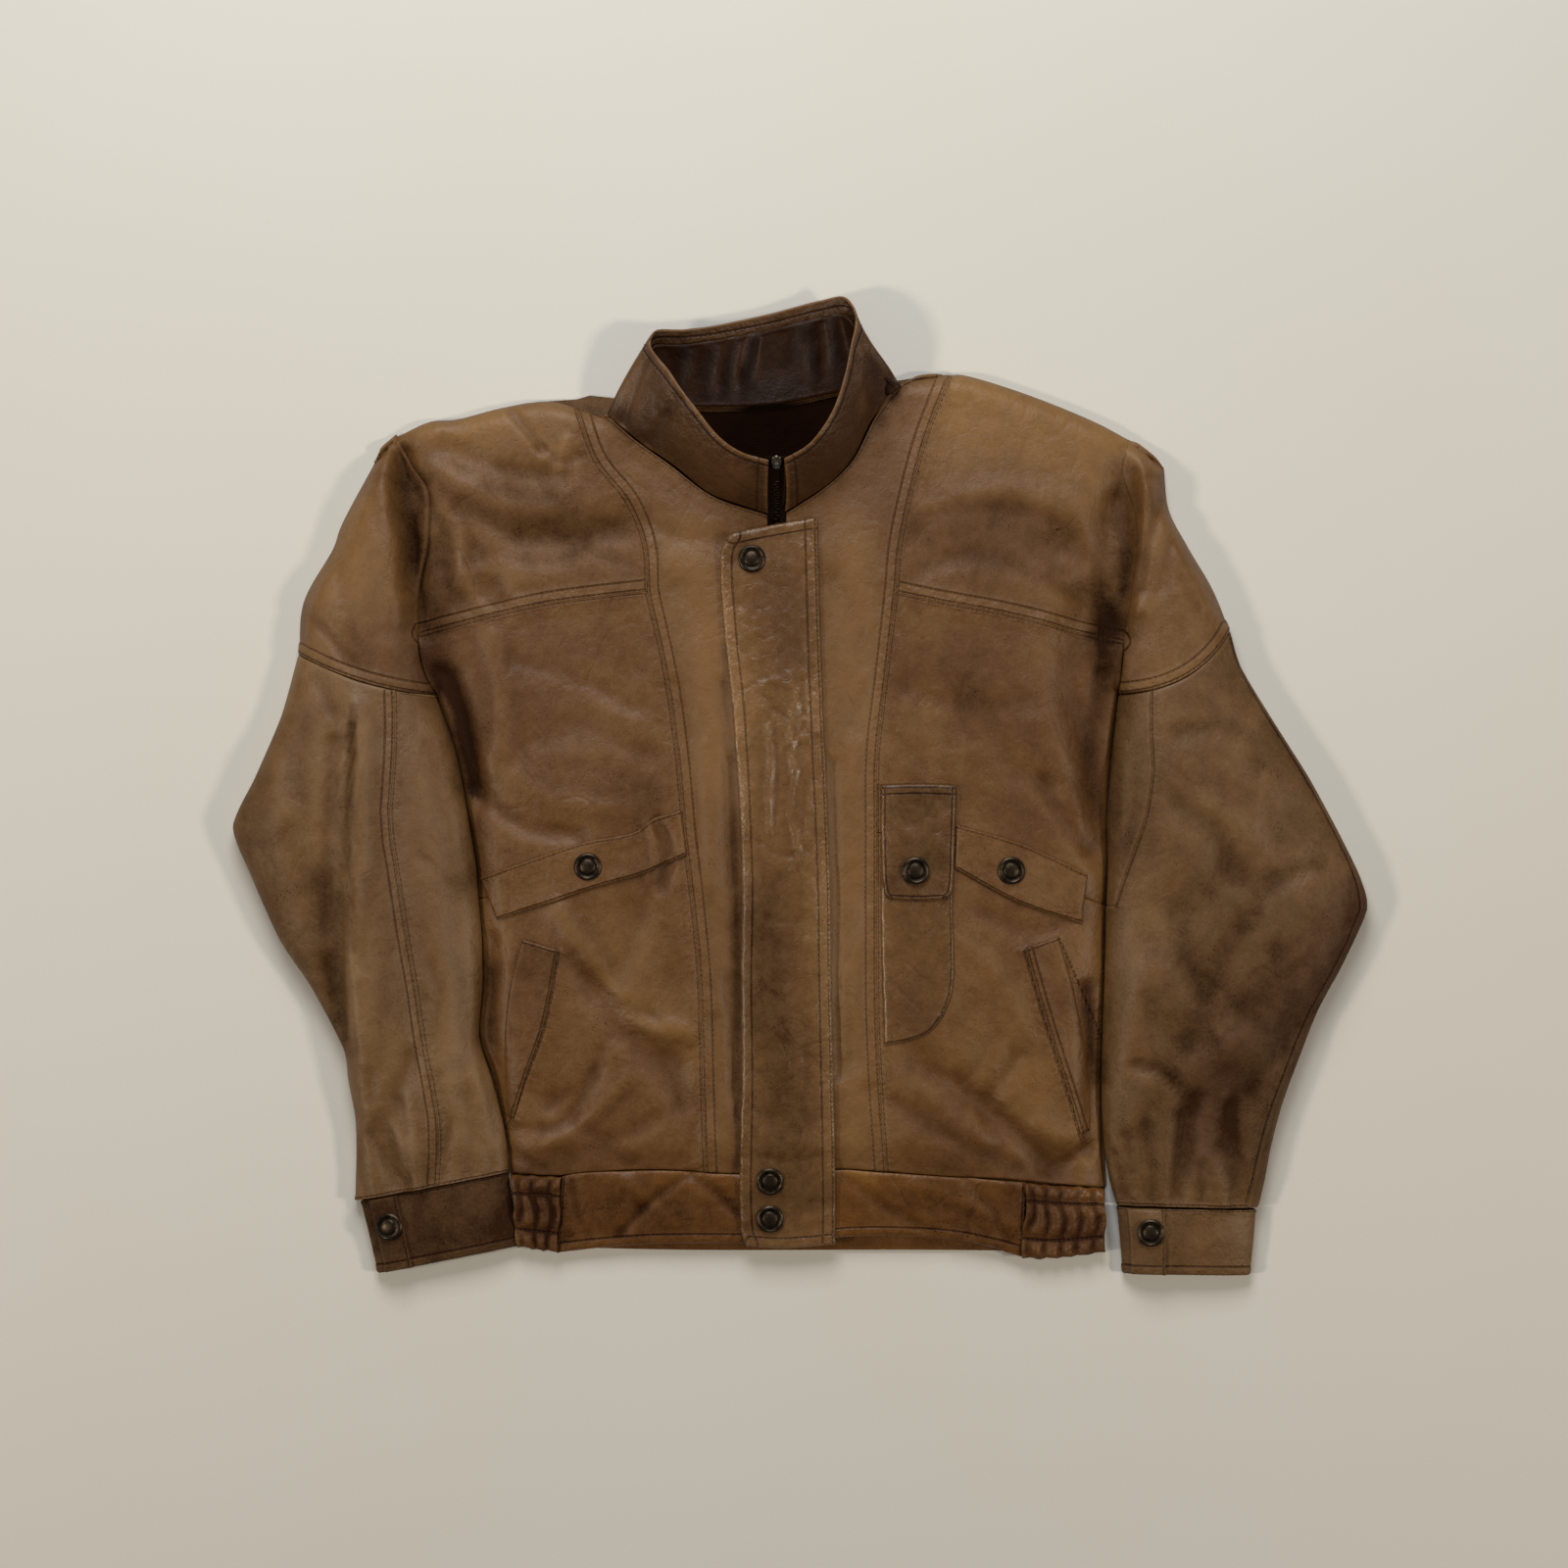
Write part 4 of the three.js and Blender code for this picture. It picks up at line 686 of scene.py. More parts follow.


# ---- Wear and painted shade: where the dye has rubbed lighter or turned plum, and shade painted into folds ---


# A patch of wear or of painted shade has a crease's path and falloff, and its first number is added to the
# tone or the tint.
WEAR_AND_SHADE_TONES = pressed([
    (0.62, 26, -88, 184.5, -69, 108.5, -61.5, 2),
    (0.34, 20, -73, -43.5, -61.5, -150, -59.5, -287),
    (0.5, 24, 42.5, 184.5, 44, 32.5, 41, -150, 45.5, -287),
    (0.6, 40, 132, 298.5, 185.5, 283, 238.5, 252.5),
    (0.4, 26, -286, 275.5, -240, 278.5, -194.5, 275.5),
    (0.34, 26, -337.5, 214.5, -354, 154),
    (0.24, 14, -96, 321, -73, 275.5, -42.5, 240.5),
    (0.12, 36, -194.5, 116, -164, 32.5),
    (0.26, 42, 299.5, 78, 345, -13.5, 383, -59),
    (0.3, 26, 269, -74, 261.5, -150, 254, -226),
    (0.25, 12, 276.5, 199.5, 269, 138.5),
    (0.2, 26, -118.5, -119.5, -134, -157.5, -96, -195.5),
    (0.26, 30, 140, -150, 185.5, -241.5, 216, -287),
    (0.34, 40, 292, -332.5, 345, -355.5),
    (0.1, 20, -240, -119.5, -255.5, -264),
    (0.2, 24, 94, 116, 102, 32.5),
    # the darker patches from here on lie mostly along the valleys and folds beside the sleeves and chest,
    # and in the pocket openings: painted shade there
    (-0.56, 20, -302.5, 237.5, -295, 184.5, -282.5, 131),
    (-0.75, 15, -286, 100.5, -266, 62.5, -255.5, 2),
    (-0.5, 12, -249.5, -28.5, -255.5, -74),
    (-0.22, 26, -240, 214.5, -194.5, 203.5, -164, 199.5),
    (-0.46, 18, 254, 237.5, 254, 192, 244.5, 154, 235.5, 108.5),
    (-0.34, 19, 234, 116, 237, 78, 228, 2, 238.5, -36),
    (-0.17, 16, 91, 196.5, 147.5, 210, 200.5, 199.5),
    (-0.16, 14, 99, 166, 147.5, 175, 193, 160),
    (-0.22, 20, 83.5, 78, 109.5, 82.5, 128.5, 69),
    (-0.12, 26, -172, 2, -126, -7),
    (-0.25, 30, -42.5, 184.5, -12, 138.5, -12, 93),
    (-0.45, 34, -35, -104.5, -12, -195.5, -12, -302),
    (-0.6, 10, -240, -142.5, -244, -195.5),
    (-0.4, 32, -179.5, -325, -58, -332.5),
    (-0.3, 30, 33.5, -325, 170, -340),
    (-0.4, 20, -213, -309.5, -200.5, -355.5),
    (-0.4, 26, 193, -317.5, 223.5, -355.5),
    (-0.42, 30, -416.5, 32.5, -421, -43.5, -392, -135),
    (-0.5, 14, -369.5, -74, -358, -195.5),
    (-0.2, 40, -331.5, -340, -240, -332.5),
    (-0.18, 40, 434.5, -97, 390.5, -157.5, 337.5, -211, 314.5, -271.5),
    (-0.12, 34, 261.5, -226, 299.5, -249, 295.5, -302),
    (-0.2, 24, 109.5, -264, 170, -294.5),
    # painted shade along the collar's standing folds at its base, with lighter strips of painted light
    # beside them
    (-0.4, 7, 56, 327, 62.5, 281.5),
    (-0.4, 6, 70, 322.5, 73, 303),
    (0.25, 6, 45.5, 336.5, 48.5, 290.5),
    (-0.3, 8, -147.5, 298.5, -134, 275.5, -115.5, 266.5),
    (0.25, 10, -126, 327, -134, 303),
    # painted shadow beside the storm flap's free edge, and painted shade in the right sleeve's deep fold and
    # at the left hand pocket's opening
    (-0.45, 4.6, -58.5, 108.5, -54, 32.5, -50, -59, -48.5, -157.5, -48, -294.5),
    (-0.5, 3.6, -344.5, 61, -345, 2, -346, -74, -344.5, -126),
    (-0.6, 8, 222, -157.5, 231, -226),
])
PLUMS = pressed([
    (0.5, 22, 91, 196.5, 147.5, 210, 208, 184.5),
    (0.75, 22, -316, 32.5, -308.5, -74, -310, -165.5),
    (0.55, 40, -210, 100.5, -172, 47.5),
    (0.8, 24, 64, 306, 56, 252.5, 67.5, 230),
    (0.9, 26, 434.5, -97, 390.5, -157.5, 330, -218.5, 314.5, -279.5),
    (0.75, 22, -20, 154, -12, 108.5),
    (0.4, 20, -88, 230, -58, 214.5),
    (0.6, 26, -316, 116, -293.5, 85.5),
    (0.5, 40, -301, -332.5, -232.5, -325),
    (0.45, 26, 193, 78, 216, 32.5),
    (0.4, 16, 132, 184.5, 185.5, 176.5),
    (0.6, 24, 193, -325, 223.5, -347.5),
])


# ---- Cloth pieces ------------------------------------------------------------------------------------


@dataclass
class Topstitch:
    """Rows of stitching beside a seam line, at distances from it. The slot keeps crossing seams apart."""

    path: Array
    rows: tuple = (1.6, 9.0)
    slot: int = 0
    pitch: float = 3.9
    sewn: bool = True


def facing(corner: Array) -> Array:
    """Direction out of quads, twice as long as their area."""
    return np.cross(corner[:, 2] - corner[:, 0], corner[:, 3] - corner[:, 1])


@dataclass
class Skin:
    """An open skin of quads welded from grids."""

    points: Array
    faces: Array

    @classmethod
    def weld(cls, grids: Sequence[Array], core: Sequence[float]) -> "Skin":
        """Welds grids into one skin that faces away from a core.

        Args:
            grids: Grids of points, as rows, columns, xyz.
            core: Point that every grid faces away from.

        Returns:
            The skin; a quad that shrank to a triangle repeats a corner.
        """
        points, quads, offset = [], [], 0
        for grid in grids:
            rows, columns = grid.shape[:2]
            index = np.arange(rows * columns).reshape(rows, columns) + offset
            corners = [index[:-1, :-1], index[:-1, 1:], index[1:, 1:], index[1:, :-1]]
            own = np.stack(corners, -1).reshape(-1, 4)
            flat = grid.reshape(-1, 3)
            corner = flat[own - offset]
            if (facing(corner) * (corner.mean(axis=1) - np.array(core))).sum() < 0:
                own = own[:, ::-1]
            points.append(flat)
            quads.append(own)
            offset += len(flat)
        stacked = np.vstack(points)
        _, first, back = np.unique(np.round(stacked, 3), axis=0, return_index=True, return_inverse=True)
        faces = back.reshape(-1)[np.vstack(quads)]
        return cls(stacked[first], faces)

    def loops(self) -> list[list[int]]:
        """Faces as lists of corners without repeats."""
        return [list(dict.fromkeys(face)) for face in self.faces.tolist() if len(set(face)) > 2]

    def normals(self) -> Array:
        """Direction out of the skin at each point."""
        normal = facing(self.points[self.faces])
        summed = np.zeros_like(self.points)
        for k in range(4):
            np.add.at(summed, self.faces[:, k], normal)
        return summed / np.maximum(np.linalg.norm(summed, axis=1, keepdims=True), 1e-9)

    def hollows(self, rounds: int = 9) -> Array:
        """How far each point lies below the smoothed skin round it; ridges come out negative."""
        pairs = np.vstack([self.faces[:, [k, (k + 1) % 4]] for k in range(4)])
        pairs = np.vstack([pairs, pairs[:, ::-1]])
        shared = np.maximum(np.bincount(pairs[:, 0], minlength=len(self.points)), 1)[:, None]
        smooth = self.points
        for _ in range(rounds):
            summed = np.zeros_like(smooth)
            np.add.at(summed, pairs[:, 0], smooth[pairs[:, 1]])
            smooth = (smooth + summed / shared) / 2
        return ((smooth - self.points) * self.normals()).sum(axis=1)

    def border(self) -> Array:
        """Directed edges that only one face uses."""
        seen = set()
        for loop in self.loops():
            for a, b in zip(loop, loop[1:] + loop[:1]):
                if (b, a) in seen:
                    seen.discard((b, a))
                else:
                    seen.add((a, b))
        return np.array(sorted(seen))

    def area(self) -> float:
        """Area of the skin in square metres."""
        return float(np.linalg.norm(facing(self.points[self.faces] * MM), axis=1).sum() / 2)


def near_border(skin: Skin, border: Array, spacing: float = 0.8) -> Array:
    """Distance from every point of a skin to its own border.

    Args:
        skin: The skin.
        border: Its border edges.
        spacing: How closely the border is sampled.

    Returns:
        Distances, one for each point.
    """
    a, b = skin.points[border[:, 0]], skin.points[border[:, 1]]
    steps = np.maximum(1, np.ceil(np.linalg.norm(b - a, axis=1) / spacing)).astype(int)
    dots = [p + (q - p) * (k / n) for p, q, n in zip(a, b, steps) for k in range(n)]
    tree = KDTree(len(dots))
    for i, dot in enumerate(dots):
        tree.insert(dot, i)
    tree.balance()
    return np.array([tree.find(p)[2] for p in skin.points])


def write_mesh(name: str, points: Array, faces: Sequence[Sequence[int]], material: bpy.types.Material):
    """Makes an object of points in millimetres, at the origin, smooth-shaded.

    Args:
        name: The piece's name.
        points: Corner places.
        faces: Lists of corners.
        material: Its finish.

    Returns:
        The new object.
    """
    mesh = bpy.data.meshes.new(name)
    mesh.from_pydata((np.asarray(points) * MM).tolist(), [], [list(face) for face in faces])
    mesh.polygons.foreach_set("use_smooth", [True] * len(mesh.polygons))
    mesh.materials.append(material)
    mesh.update()
    made = bpy.data.objects.new(name, mesh)
    bpy.context.scene.collection.objects.link(made)
    return made


def store(obj: bpy.types.Object, name: str, values: Array) -> None:
    """Stores one number or three at every corner point of a mesh."""
    kind = "FLOAT" if values.ndim == 1 else "FLOAT_VECTOR"
    attribute = obj.data.attributes.new(name, kind, "POINT")
    attribute.data.foreach_set("value" if values.ndim == 1 else "vector", values.astype(np.float32).ravel())


def settle(piece: bpy.types.Object, node_name: str | None = None) -> bpy.types.Object:
    """Lets a finished piece ride on the jacket, in place of its solid where it has one."""
    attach(piece, JACKET)
    if node_name:
        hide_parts(node_name)
    log.info("%s: %d faces", piece.name, len(piece.data.polygons))
    return piece


# a hollow this deep takes the full painted shade, which fades in over the next distance from the border
FULL_HOLLOW = 0.7
CAVITY_SHADE_FADE = 6.0
LUMP = 34.0


@dataclass
class Cloth:
    """One cut piece: a closed wall whose outer face is a skin, with turned edges and topstitching."""

    name: str
    grids: list
    finish: "Finish"
    thickness: float = LEATHER
    core: tuple = (0.0, 0.0, -1e5)
    lowest: float = -math.inf
    topstitches: list = field(default_factory=list)
    turned: float = 0.7
    turn_reach: float = 2.4
    allowance: float = 0.7
    held: Held = Held.LAID
    rests_on: tuple = ("back_body",)
    tint: float = 0.0
    cavity_shade: float = 0.22

    def build(self, thread: "Stitcher", slot: str = "brown_leather") -> None:
        """Makes the piece, its attributes and its stitches.

        Args:
            thread: Collects the stitches sewn into this piece.
            slot: The record's material slot; not used.
        """
        skin = Skin.weld(self.grids, self.core)
        border = skin.border()
        edge = near_border(skin, border)
        seams = [self.seam_facts(skin, s) for s in (0, 1)]
        normals = skin.normals()
        sink = self.turned * np.clip(1 - edge / self.turn_reach, 0, 1) ** 2
        for facts in seams:
            sink -= self.allowance * smooth_step((facts[:, 2] + 1.6 - facts[:, 0]) / 1.8)
        skin.points = skin.points - normals * np.maximum(sink, -self.allowance)[:, None]
        normals = skin.normals()
        count = len(skin.points)
        inner = skin.points - normals * (self.thickness - 0.2)
        inner[:, 2] = np.maximum(inner[:, 2], self.lowest)
        outer_faces = skin.loops()
        faces = outer_faces + [[i + count for i in reversed(face)] for face in outer_faces]
        faces += [[b, a, a + count, b + count] for a, b in border.tolist()]
        both = np.vstack([skin.points, inner])
        piece = write_mesh(f"{self.name}_cloth", both, faces, self.finish.material())
        x, y = skin.points[:, 0], skin.points[:, 1]
        facing_up = smooth_step(normals[:, 2] * 3 + 0.4)
        # the tone carries the wear patches and the painted shade patches, on faces that look up
        tone = (total(WEAR_AND_SHADE_TONES, x, y) + 0.1 * value_noise(x, y, LUMP, 21)) * facing_up + self.tint
        # painted shade: the tone is darkened in the skin's hollows, fading out near its border
        tone -= self.cavity_shade * np.tanh(skin.hollows() / FULL_HOLLOW) * np.clip((edge - 1) / CAVITY_SHADE_FADE, 0, 1)
        store(piece, "tone", np.tile(tone, 2))
        store(piece, "plum", np.tile(total(PLUMS, x, y) * facing_up, 2))
        store(piece, "rim", np.tile(edge * MM, 2))
        for name, facts in zip(("seam_a", "seam_b"), seams):
            store(piece, name, np.tile(facts * MM, (2, 1)))
        thread.sew(skin, outer_faces, self.topstitches)
        self.declare(settle(piece, self.name))

    def seam_facts(self, skin: Skin, slot: int) -> Array:
        """Distance from the nearest stitched seam in one slot, and the places of its rows.

        Args:
            skin: The piece's skin.
            slot: Which group of seams.

        Returns:
            Rows of distance, first row and second row, in millimetres.
        """
        facts = np.tile([300.0, 900.0, -900.0], (len(skin.points), 1))
        for stitch in (s for s in self.topstitches if s.slot == slot):
            away = distance_to(thin(stitch.path), skin.points[:, 0], skin.points[:, 1], True)
            closer = away < facts[:, 0]
            facts[closer, 0] = away[closer]
            facts[closer, 1] = stitch.rows[0]
            facts[closer, 2] = stitch.rows[-1]
        return facts

    def declare(self, piece: bpy.types.Object) -> None:
        """A flat size, which isn't always the size it was cut to.

        Works out the middle width and length of each grid, in metres, and keeps neither; nothing is
        stated. The length is the middle one of the longest grid, so a piece of two grids is stated too
        short.
        """
        widths, lengths = [], []
        for grid in self.grids:
            widths.append(np.median(np.linalg.norm(np.diff(grid, axis=1), axis=2).sum(axis=1)) * MM)
            lengths.append(np.median(np.linalg.norm(np.diff(grid, axis=0), axis=2).sum(axis=0)) * MM)
        list(self.rests_on)


@dataclass
class Stitcher:
    """Sews short beads of thread along the rows of topstitching."""

    length: float = 2.9
    width: float = 0.62
    height: float = 0.34
    points: list = field(default_factory=list)
    faces: list = field(default_factory=list)
    count: int = 0

    def sew(self, skin: Skin, faces: Sequence[Sequence[int]], topstitches: Sequence[Topstitch]) -> None:
        """Lays every row of a piece's topstitching on its skin.

        Args:
            skin: The piece's skin.
            faces: Its faces as lists of corners.
            topstitches: The rows to lay.
        """
        if not topstitches:
            return
        tree = BVHTree.FromPolygons(skin.points.tolist(), faces)
        for stitch in (s for s in topstitches if s.sewn):
            for row in stitch.rows:
                for side in (1, -1):
                    self.row(tree, stitch.path, row * side, stitch.pitch)

    def row(self, tree: BVHTree, path: Array, offset: float, pitch: float) -> None:
        """Lays one row beside a path, skipping where there is no cloth under it."""
        number = max(2, int(length_of(path[:, :2]) / pitch))
        spots = at(path, (np.arange(number) + 0.5) / number)
        along = np.gradient(spots[:, :2], axis=0)
        along /= np.maximum(np.linalg.norm(along, axis=1, keepdims=True), 1e-9)
        aside = np.stack([-along[:, 1], along[:, 0]], axis=1)
        places = spots[:, :2] + aside * offset
        for (x, y), (dx, dy) in zip(places, along):
            hit, normal, _, _ = tree.ray_cast(Vector((x, y, 200)), Vector((0, 0, -1)))
            if hit is None or normal.z < 0.12:
                continue
            ahead = Vector((dx, dy, -(normal.x * dx + normal.y * dy) / normal.z)).normalized()
            self.bead(hit, ahead, normal)

    def bead(self, spot: Vector, ahead: Vector, normal: Vector) -> None:
        """Adds one stitch."""
        aside = normal.cross(ahead).normalized()
        half, wide = ahead * self.length / 2, aside * self.width / 2
        up, sunk = normal * self.height, normal * self.height * 0.4
        ring = [spot - half - sunk, spot + half - sunk, spot - wide, spot + wide, spot + up, spot - up]
        start = 6 * self.count
        self.points += [tuple(p) for p in ring]
        for a, b in ((2, 4), (4, 3), (3, 5), (5, 2)):
            self.faces.append((start, start + b, start + a))
            self.faces.append((start + 1, start + a, start + b))
        self.count += 1

    def along(self, points: Array, normals: Array, pitch: float = 3.9) -> None:
        """Lays a row along points in space with their own directions."""
        number = max(2, int(length_of(points) / pitch))
        spread = (np.arange(number) + 0.5) / number
        both = at(np.hstack([points, normals * 1e-6]), spread)
        run = np.gradient(both[:, :3], axis=0)
        for spot, ahead, normal in zip(both[:, :3], run, both[:, 3:] * 1e6):
            self.bead(Vector(spot), Vector(ahead).normalized(), Vector(normal).normalized())

    def finish(self, name: str, finish: "Finish") -> None:
        """Makes one object of every stitch so far."""
        piece = write_mesh(name, np.array(self.points), self.faces, finish.material())
        settle(piece)
        log.info("%s: %d stitches", name, self.count)
        self.points, self.faces, self.count = [], [], 0


# ---- Finishes ----------------------------------------------------------------------------------------


def to_linear(colour: str) -> tuple:
    """Turns an sRGB hex colour into linear red, green, blue and alpha."""
    channels = [int(colour[i : i + 2], 16) / 255 for i in (1, 3, 5)]
    return (*(c / 12.92 if c <= 0.04045 else ((c + 0.055) / 1.055) ** 2.4 for c in channels), 1.0)


def node(tree: bpy.types.NodeTree, kind: str, inputs: dict | None = None, **settings) -> bpy.types.Node:
    """Adds a node with its settings, values and links.

    Args:
        tree: Node tree of the material.
        kind: Node type name.
        inputs: Socket name or number to a value, or to a socket that is linked in.
        **settings: Properties of the node.

    Returns:
        The new node.
    """
    made = tree.nodes.new(kind)
    for name, value in settings.items():
        setattr(made, name, value)
    for socket, value in (inputs or {}).items():
        if isinstance(value, Socket):
            tree.links.new(value, made.inputs[socket])
        else:
            made.inputs[socket].default_value = value
    return made


class Recipe:
    """Short words for the nodes that every finish uses."""

    def __init__(self, name: str) -> None:
        """Starts an empty material."""
        self.made = bpy.data.materials.new(name)
        self.made.use_nodes = True
        self.tree = self.made.node_tree
        self.tree.nodes.clear()
        self.place = node(self.tree, "ShaderNodeTexCoord").outputs["Object"]

    def calc(self, operation: str, *values, clamp: bool = False) -> Socket:
        """One sum of numbers or sockets."""
        inputs = dict(enumerate(values))
        return node(self.tree, "ShaderNodeMath", inputs, operation=operation, use_clamp=clamp).outputs[0]

    def noise(self, size_mm: float, detail: float = 4.0, rough=0.55, bend=0.0, stretch=None) -> Socket:
        """Noise with lumps of about the given size."""
        place = self.place
        if stretch is not None:
            place = node(self.tree, "ShaderNodeMapping", {"Vector": place, "Scale": stretch}).outputs[0]
        inputs = {"Vector": place, "Scale": 1000 / size_mm, "Detail": detail}
        inputs |= {"Roughness": rough, "Distortion": bend}
        return node(self.tree, "ShaderNodeTexNoise", inputs).outputs["Fac"]

    def cells(self, size_mm: float, feature: str = "F1") -> Socket:
        """Distance inside cells of about the given size."""
        inputs = {"Vector": self.place, "Scale": 1000 / size_mm}
        return node(self.tree, "ShaderNodeTexVoronoi", inputs, feature=feature).outputs["Distance"]

    def span(self, value, low: float, high: float, to_low: float = 0.0, to_high: float = 1.0):
        """Maps a range of values onto another, clamped."""
        inputs = {"Value": value, "From Min": low, "From Max": high, "To Min": to_low, "To Max": to_high}
        return node(self.tree, "ShaderNodeMapRange", inputs).outputs["Result"]

    def blend(self, share, first, second) -> Socket:
        """Mixes two colours by a share."""
        inputs = {"Factor": share, 6: first, 7: second}
        return node(self.tree, "ShaderNodeMix", inputs, data_type="RGBA").outputs[2]

    def attribute(self, name: str, vector: bool = False):
        """A value stored on the piece: one number, or three apart."""
        made = node(self.tree, "ShaderNodeAttribute", attribute_name=name)
        if not vector:
            return made.outputs["Fac"]
        return node(self.tree, "ShaderNodeSeparateXYZ", {0: made.outputs["Vector"]}).outputs

    def bump(self, height, depth_mm: float, under=None, strength: float = 1.0) -> Socket:
        """Relief of the given depth, on top of another relief."""
        inputs = {"Height": height, "Distance": depth_mm * MM, "Strength": strength}
        if under is not None:
            inputs["Normal"] = under
        return node(self.tree, "ShaderNodeBump", inputs).outputs["Normal"]

    def close(self, **surface) -> bpy.types.Material:
        """Ends the material in one surface shader."""
        inputs = {name.replace("_", " "): value for name, value in surface.items()}
        shader = node(self.tree, "ShaderNodeBsdfPrincipled", inputs)
        node(self.tree, "ShaderNodeOutputMaterial", {"Surface": shader.outputs[0]})
        return self.made


@dataclass(frozen=True)
class Finish:
    """A finish between a dark and a pale colour, that makes its material once."""

    name: str
    dark: str
    pale: str
    made: ClassVar[dict] = {}

    def material(self) -> bpy.types.Material:
        """The finish's material, made the first time it is asked for."""
        if self not in Finish.made:
            Finish.made[self] = self.mix()
        return Finish.made[self]

    def mix(self) -> bpy.types.Material:
        """Mixes the material."""
        raise NotImplementedError


@dataclass(frozen=True)
class Hide(Finish):
    """Drum-dyed lamb nappa, rubbed in wear: it gives soft grain, fine set creases, pores, uneven dye and the
    painted shade that its tone carries.
    """

    body: str = ""
    plum: str = "#4b2c1d"
    rough: float = 0.5
    creasing: float = 0.27
    coat: float = 0.0
    edge_wear: float = 0.14
    shine: float = 0.46

    def mix(self) -> bpy.types.Material:
        """Mixes the leather from its dye, its wear, the painted shade in its tone, its grain and its
        stitched grooves.
        """
        r = Recipe(self.name)
        tone, plum, rim = r.attribute("tone"), r.attribute("plum"), r.attribute("rim")
        groove, near = self.grooves(r)
        cloudy = r.noise(85, 4, 0.55, 0.5)
        mottle = r.noise(12, 5, 0.62, 0.3)
        fine = r.noise(2.2, 4, 0.7)
        # rub marks 20 to 60 mm long, as the finish wears off in streaks
        streaks = r.noise(30, 5, 0.6, 1.0, (1.0, 0.5, 1.0))
        shade = r.calc("MULTIPLY_ADD", tone, 0.6, 0.5)
        for layer, amount in ((cloudy, 0.4), (mottle, 0.34), (streaks, 0.3), (fine, 0.34)):
            shade = r.calc("MULTIPLY_ADD", r.calc("SUBTRACT", layer, 0.5), amount, shade)
        # the raised turn of a seam is rubbed paler, the groove beside it holds dye
        rubbed = r.span(rim, 0.0, 0.0035, self.edge_wear, 0.0)
        shade = r.calc("SUBTRACT", r.calc("ADD", shade, rubbed), r.calc("MULTIPLY", groove, 0.26))
        # the fine creases darken the colour as well as the relief: painted shade in them
        creases = self.creases(r)
        shade = r.calc("MULTIPLY_ADD", r.calc("SUBTRACT", creases, 0.85), 0.2 * self.creasing, shade)
        # open pores show in patches where the finish is gone, coarsened from about 0.3 mm
        pores = r.span(r.cells(2.0), 0.14, 0.34, 1.0, 0.0)
        pores = r.calc("MULTIPLY", pores, r.span(r.noise(19, 3, 0.6), 0.55, 0.68))
        shade = r.calc("SUBTRACT", shade, r.calc("MULTIPLY", pores, 0.36), clamp=True)
        colour = r.blend(r.span(shade, 0.02, 0.5), to_linear(self.dark), to_linear(self.body))
        colour = r.blend(r.span(shade, 0.5, 1.0), colour, to_linear(self.pale))
        tint = r.calc("MULTIPLY", plum, r.span(cloudy, 0.25, 0.7, 0.2, 0.5), clamp=True)
        colour = r.blend(tint, colour, to_linear(self.plum))
        grain = r.cells(1.2)  # pebble of the grain, coarsened from about 0.5 mm
        rough = r.calc("MULTIPLY_ADD", r.calc("SUBTRACT", mottle, 0.5), 0.3, self.rough)
        # dye and dirt lie matt in the folds, and the rubbed places have kept their shine
        rough = r.calc("ADD", rough, r.span(shade, 0.1, 0.55, 0.2, 0.0), clamp=True)
        sheen = r.span(shade, 0.05, 0.6, 0.08, self.shine)
        relief = r.bump(grain, 0.1)
        relief = r.bump(fine, 0.16, relief)
        relief = r.bump(r.noise(26, 2, 0.5, 0.5, (1.0, 0.6, 1.0)), 1.7, relief)
        relief = r.bump(r.noise(8, 3, 0.55, 0.4), 0.6 + 0.6 * self.creasing, relief)
        relief = r.bump(creases, 0.1 + 0.75 * self.creasing, relief)
        pucker = r.calc("MULTIPLY", r.noise(5.0, 2, 0.5, 0.3), near)
        relief = r.bump(pucker, 1.6, relief)
        relief = r.bump(r.calc("MULTIPLY", groove, -1.0), 0.7, relief)
        return r.close(
            Base_Color=colour, Roughness=rough, Normal=relief, Specular_IOR_Level=sheen, IOR=1.5,
            Coat_Weight=self.coat, Coat_Roughness=0.25
        )

    def creases(self, r: Recipe) -> Socket:
        """Fine set creases: 1 on flat hide, falling softly to 0 in a crease."""
        wide = r.calc("ABSOLUTE", r.calc("SUBTRACT", r.noise(34, 1, 0.4, 0.35, (1.0, 0.7, 1.0)), 0.5))
        small = r.calc("ABSOLUTE", r.calc("SUBTRACT", r.noise(13, 1, 0.4, 0.25), 0.5))
        lines = r.calc("MULTIPLY", r.span(wide, 0.0, 0.05), r.span(small, 0.0, 0.07, 0.55, 1.0))
        where = r.span(r.noise(60, 2), 0.4, 0.62, 0.1, 1.0)
        return r.calc("SUBTRACT", 1.0, r.calc("MULTIPLY", r.calc("SUBTRACT", 1.0, lines), where))

    def grooves(self, r: Recipe) -> tuple:
        """Grooves that the rows of stitches lie in, and the puckered band round them."""
        groove, near = None, None
        for name in ("seam_a", "seam_b"):
            away, first, second = r.attribute(name, True)
            for row in (first, second):
                apart = r.calc("ABSOLUTE", r.calc("SUBTRACT", away, row))
                line = r.span(apart, 0.00025, 0.0011, 1.0, 0.0)
                groove = line if groove is None else r.calc("MAXIMUM", groove, line)
            band = r.span(away, 0.002, 0.013, 1.0, 0.0)
            near = band if near is None else r.calc("MAXIMUM", near, band)
        return groove, near


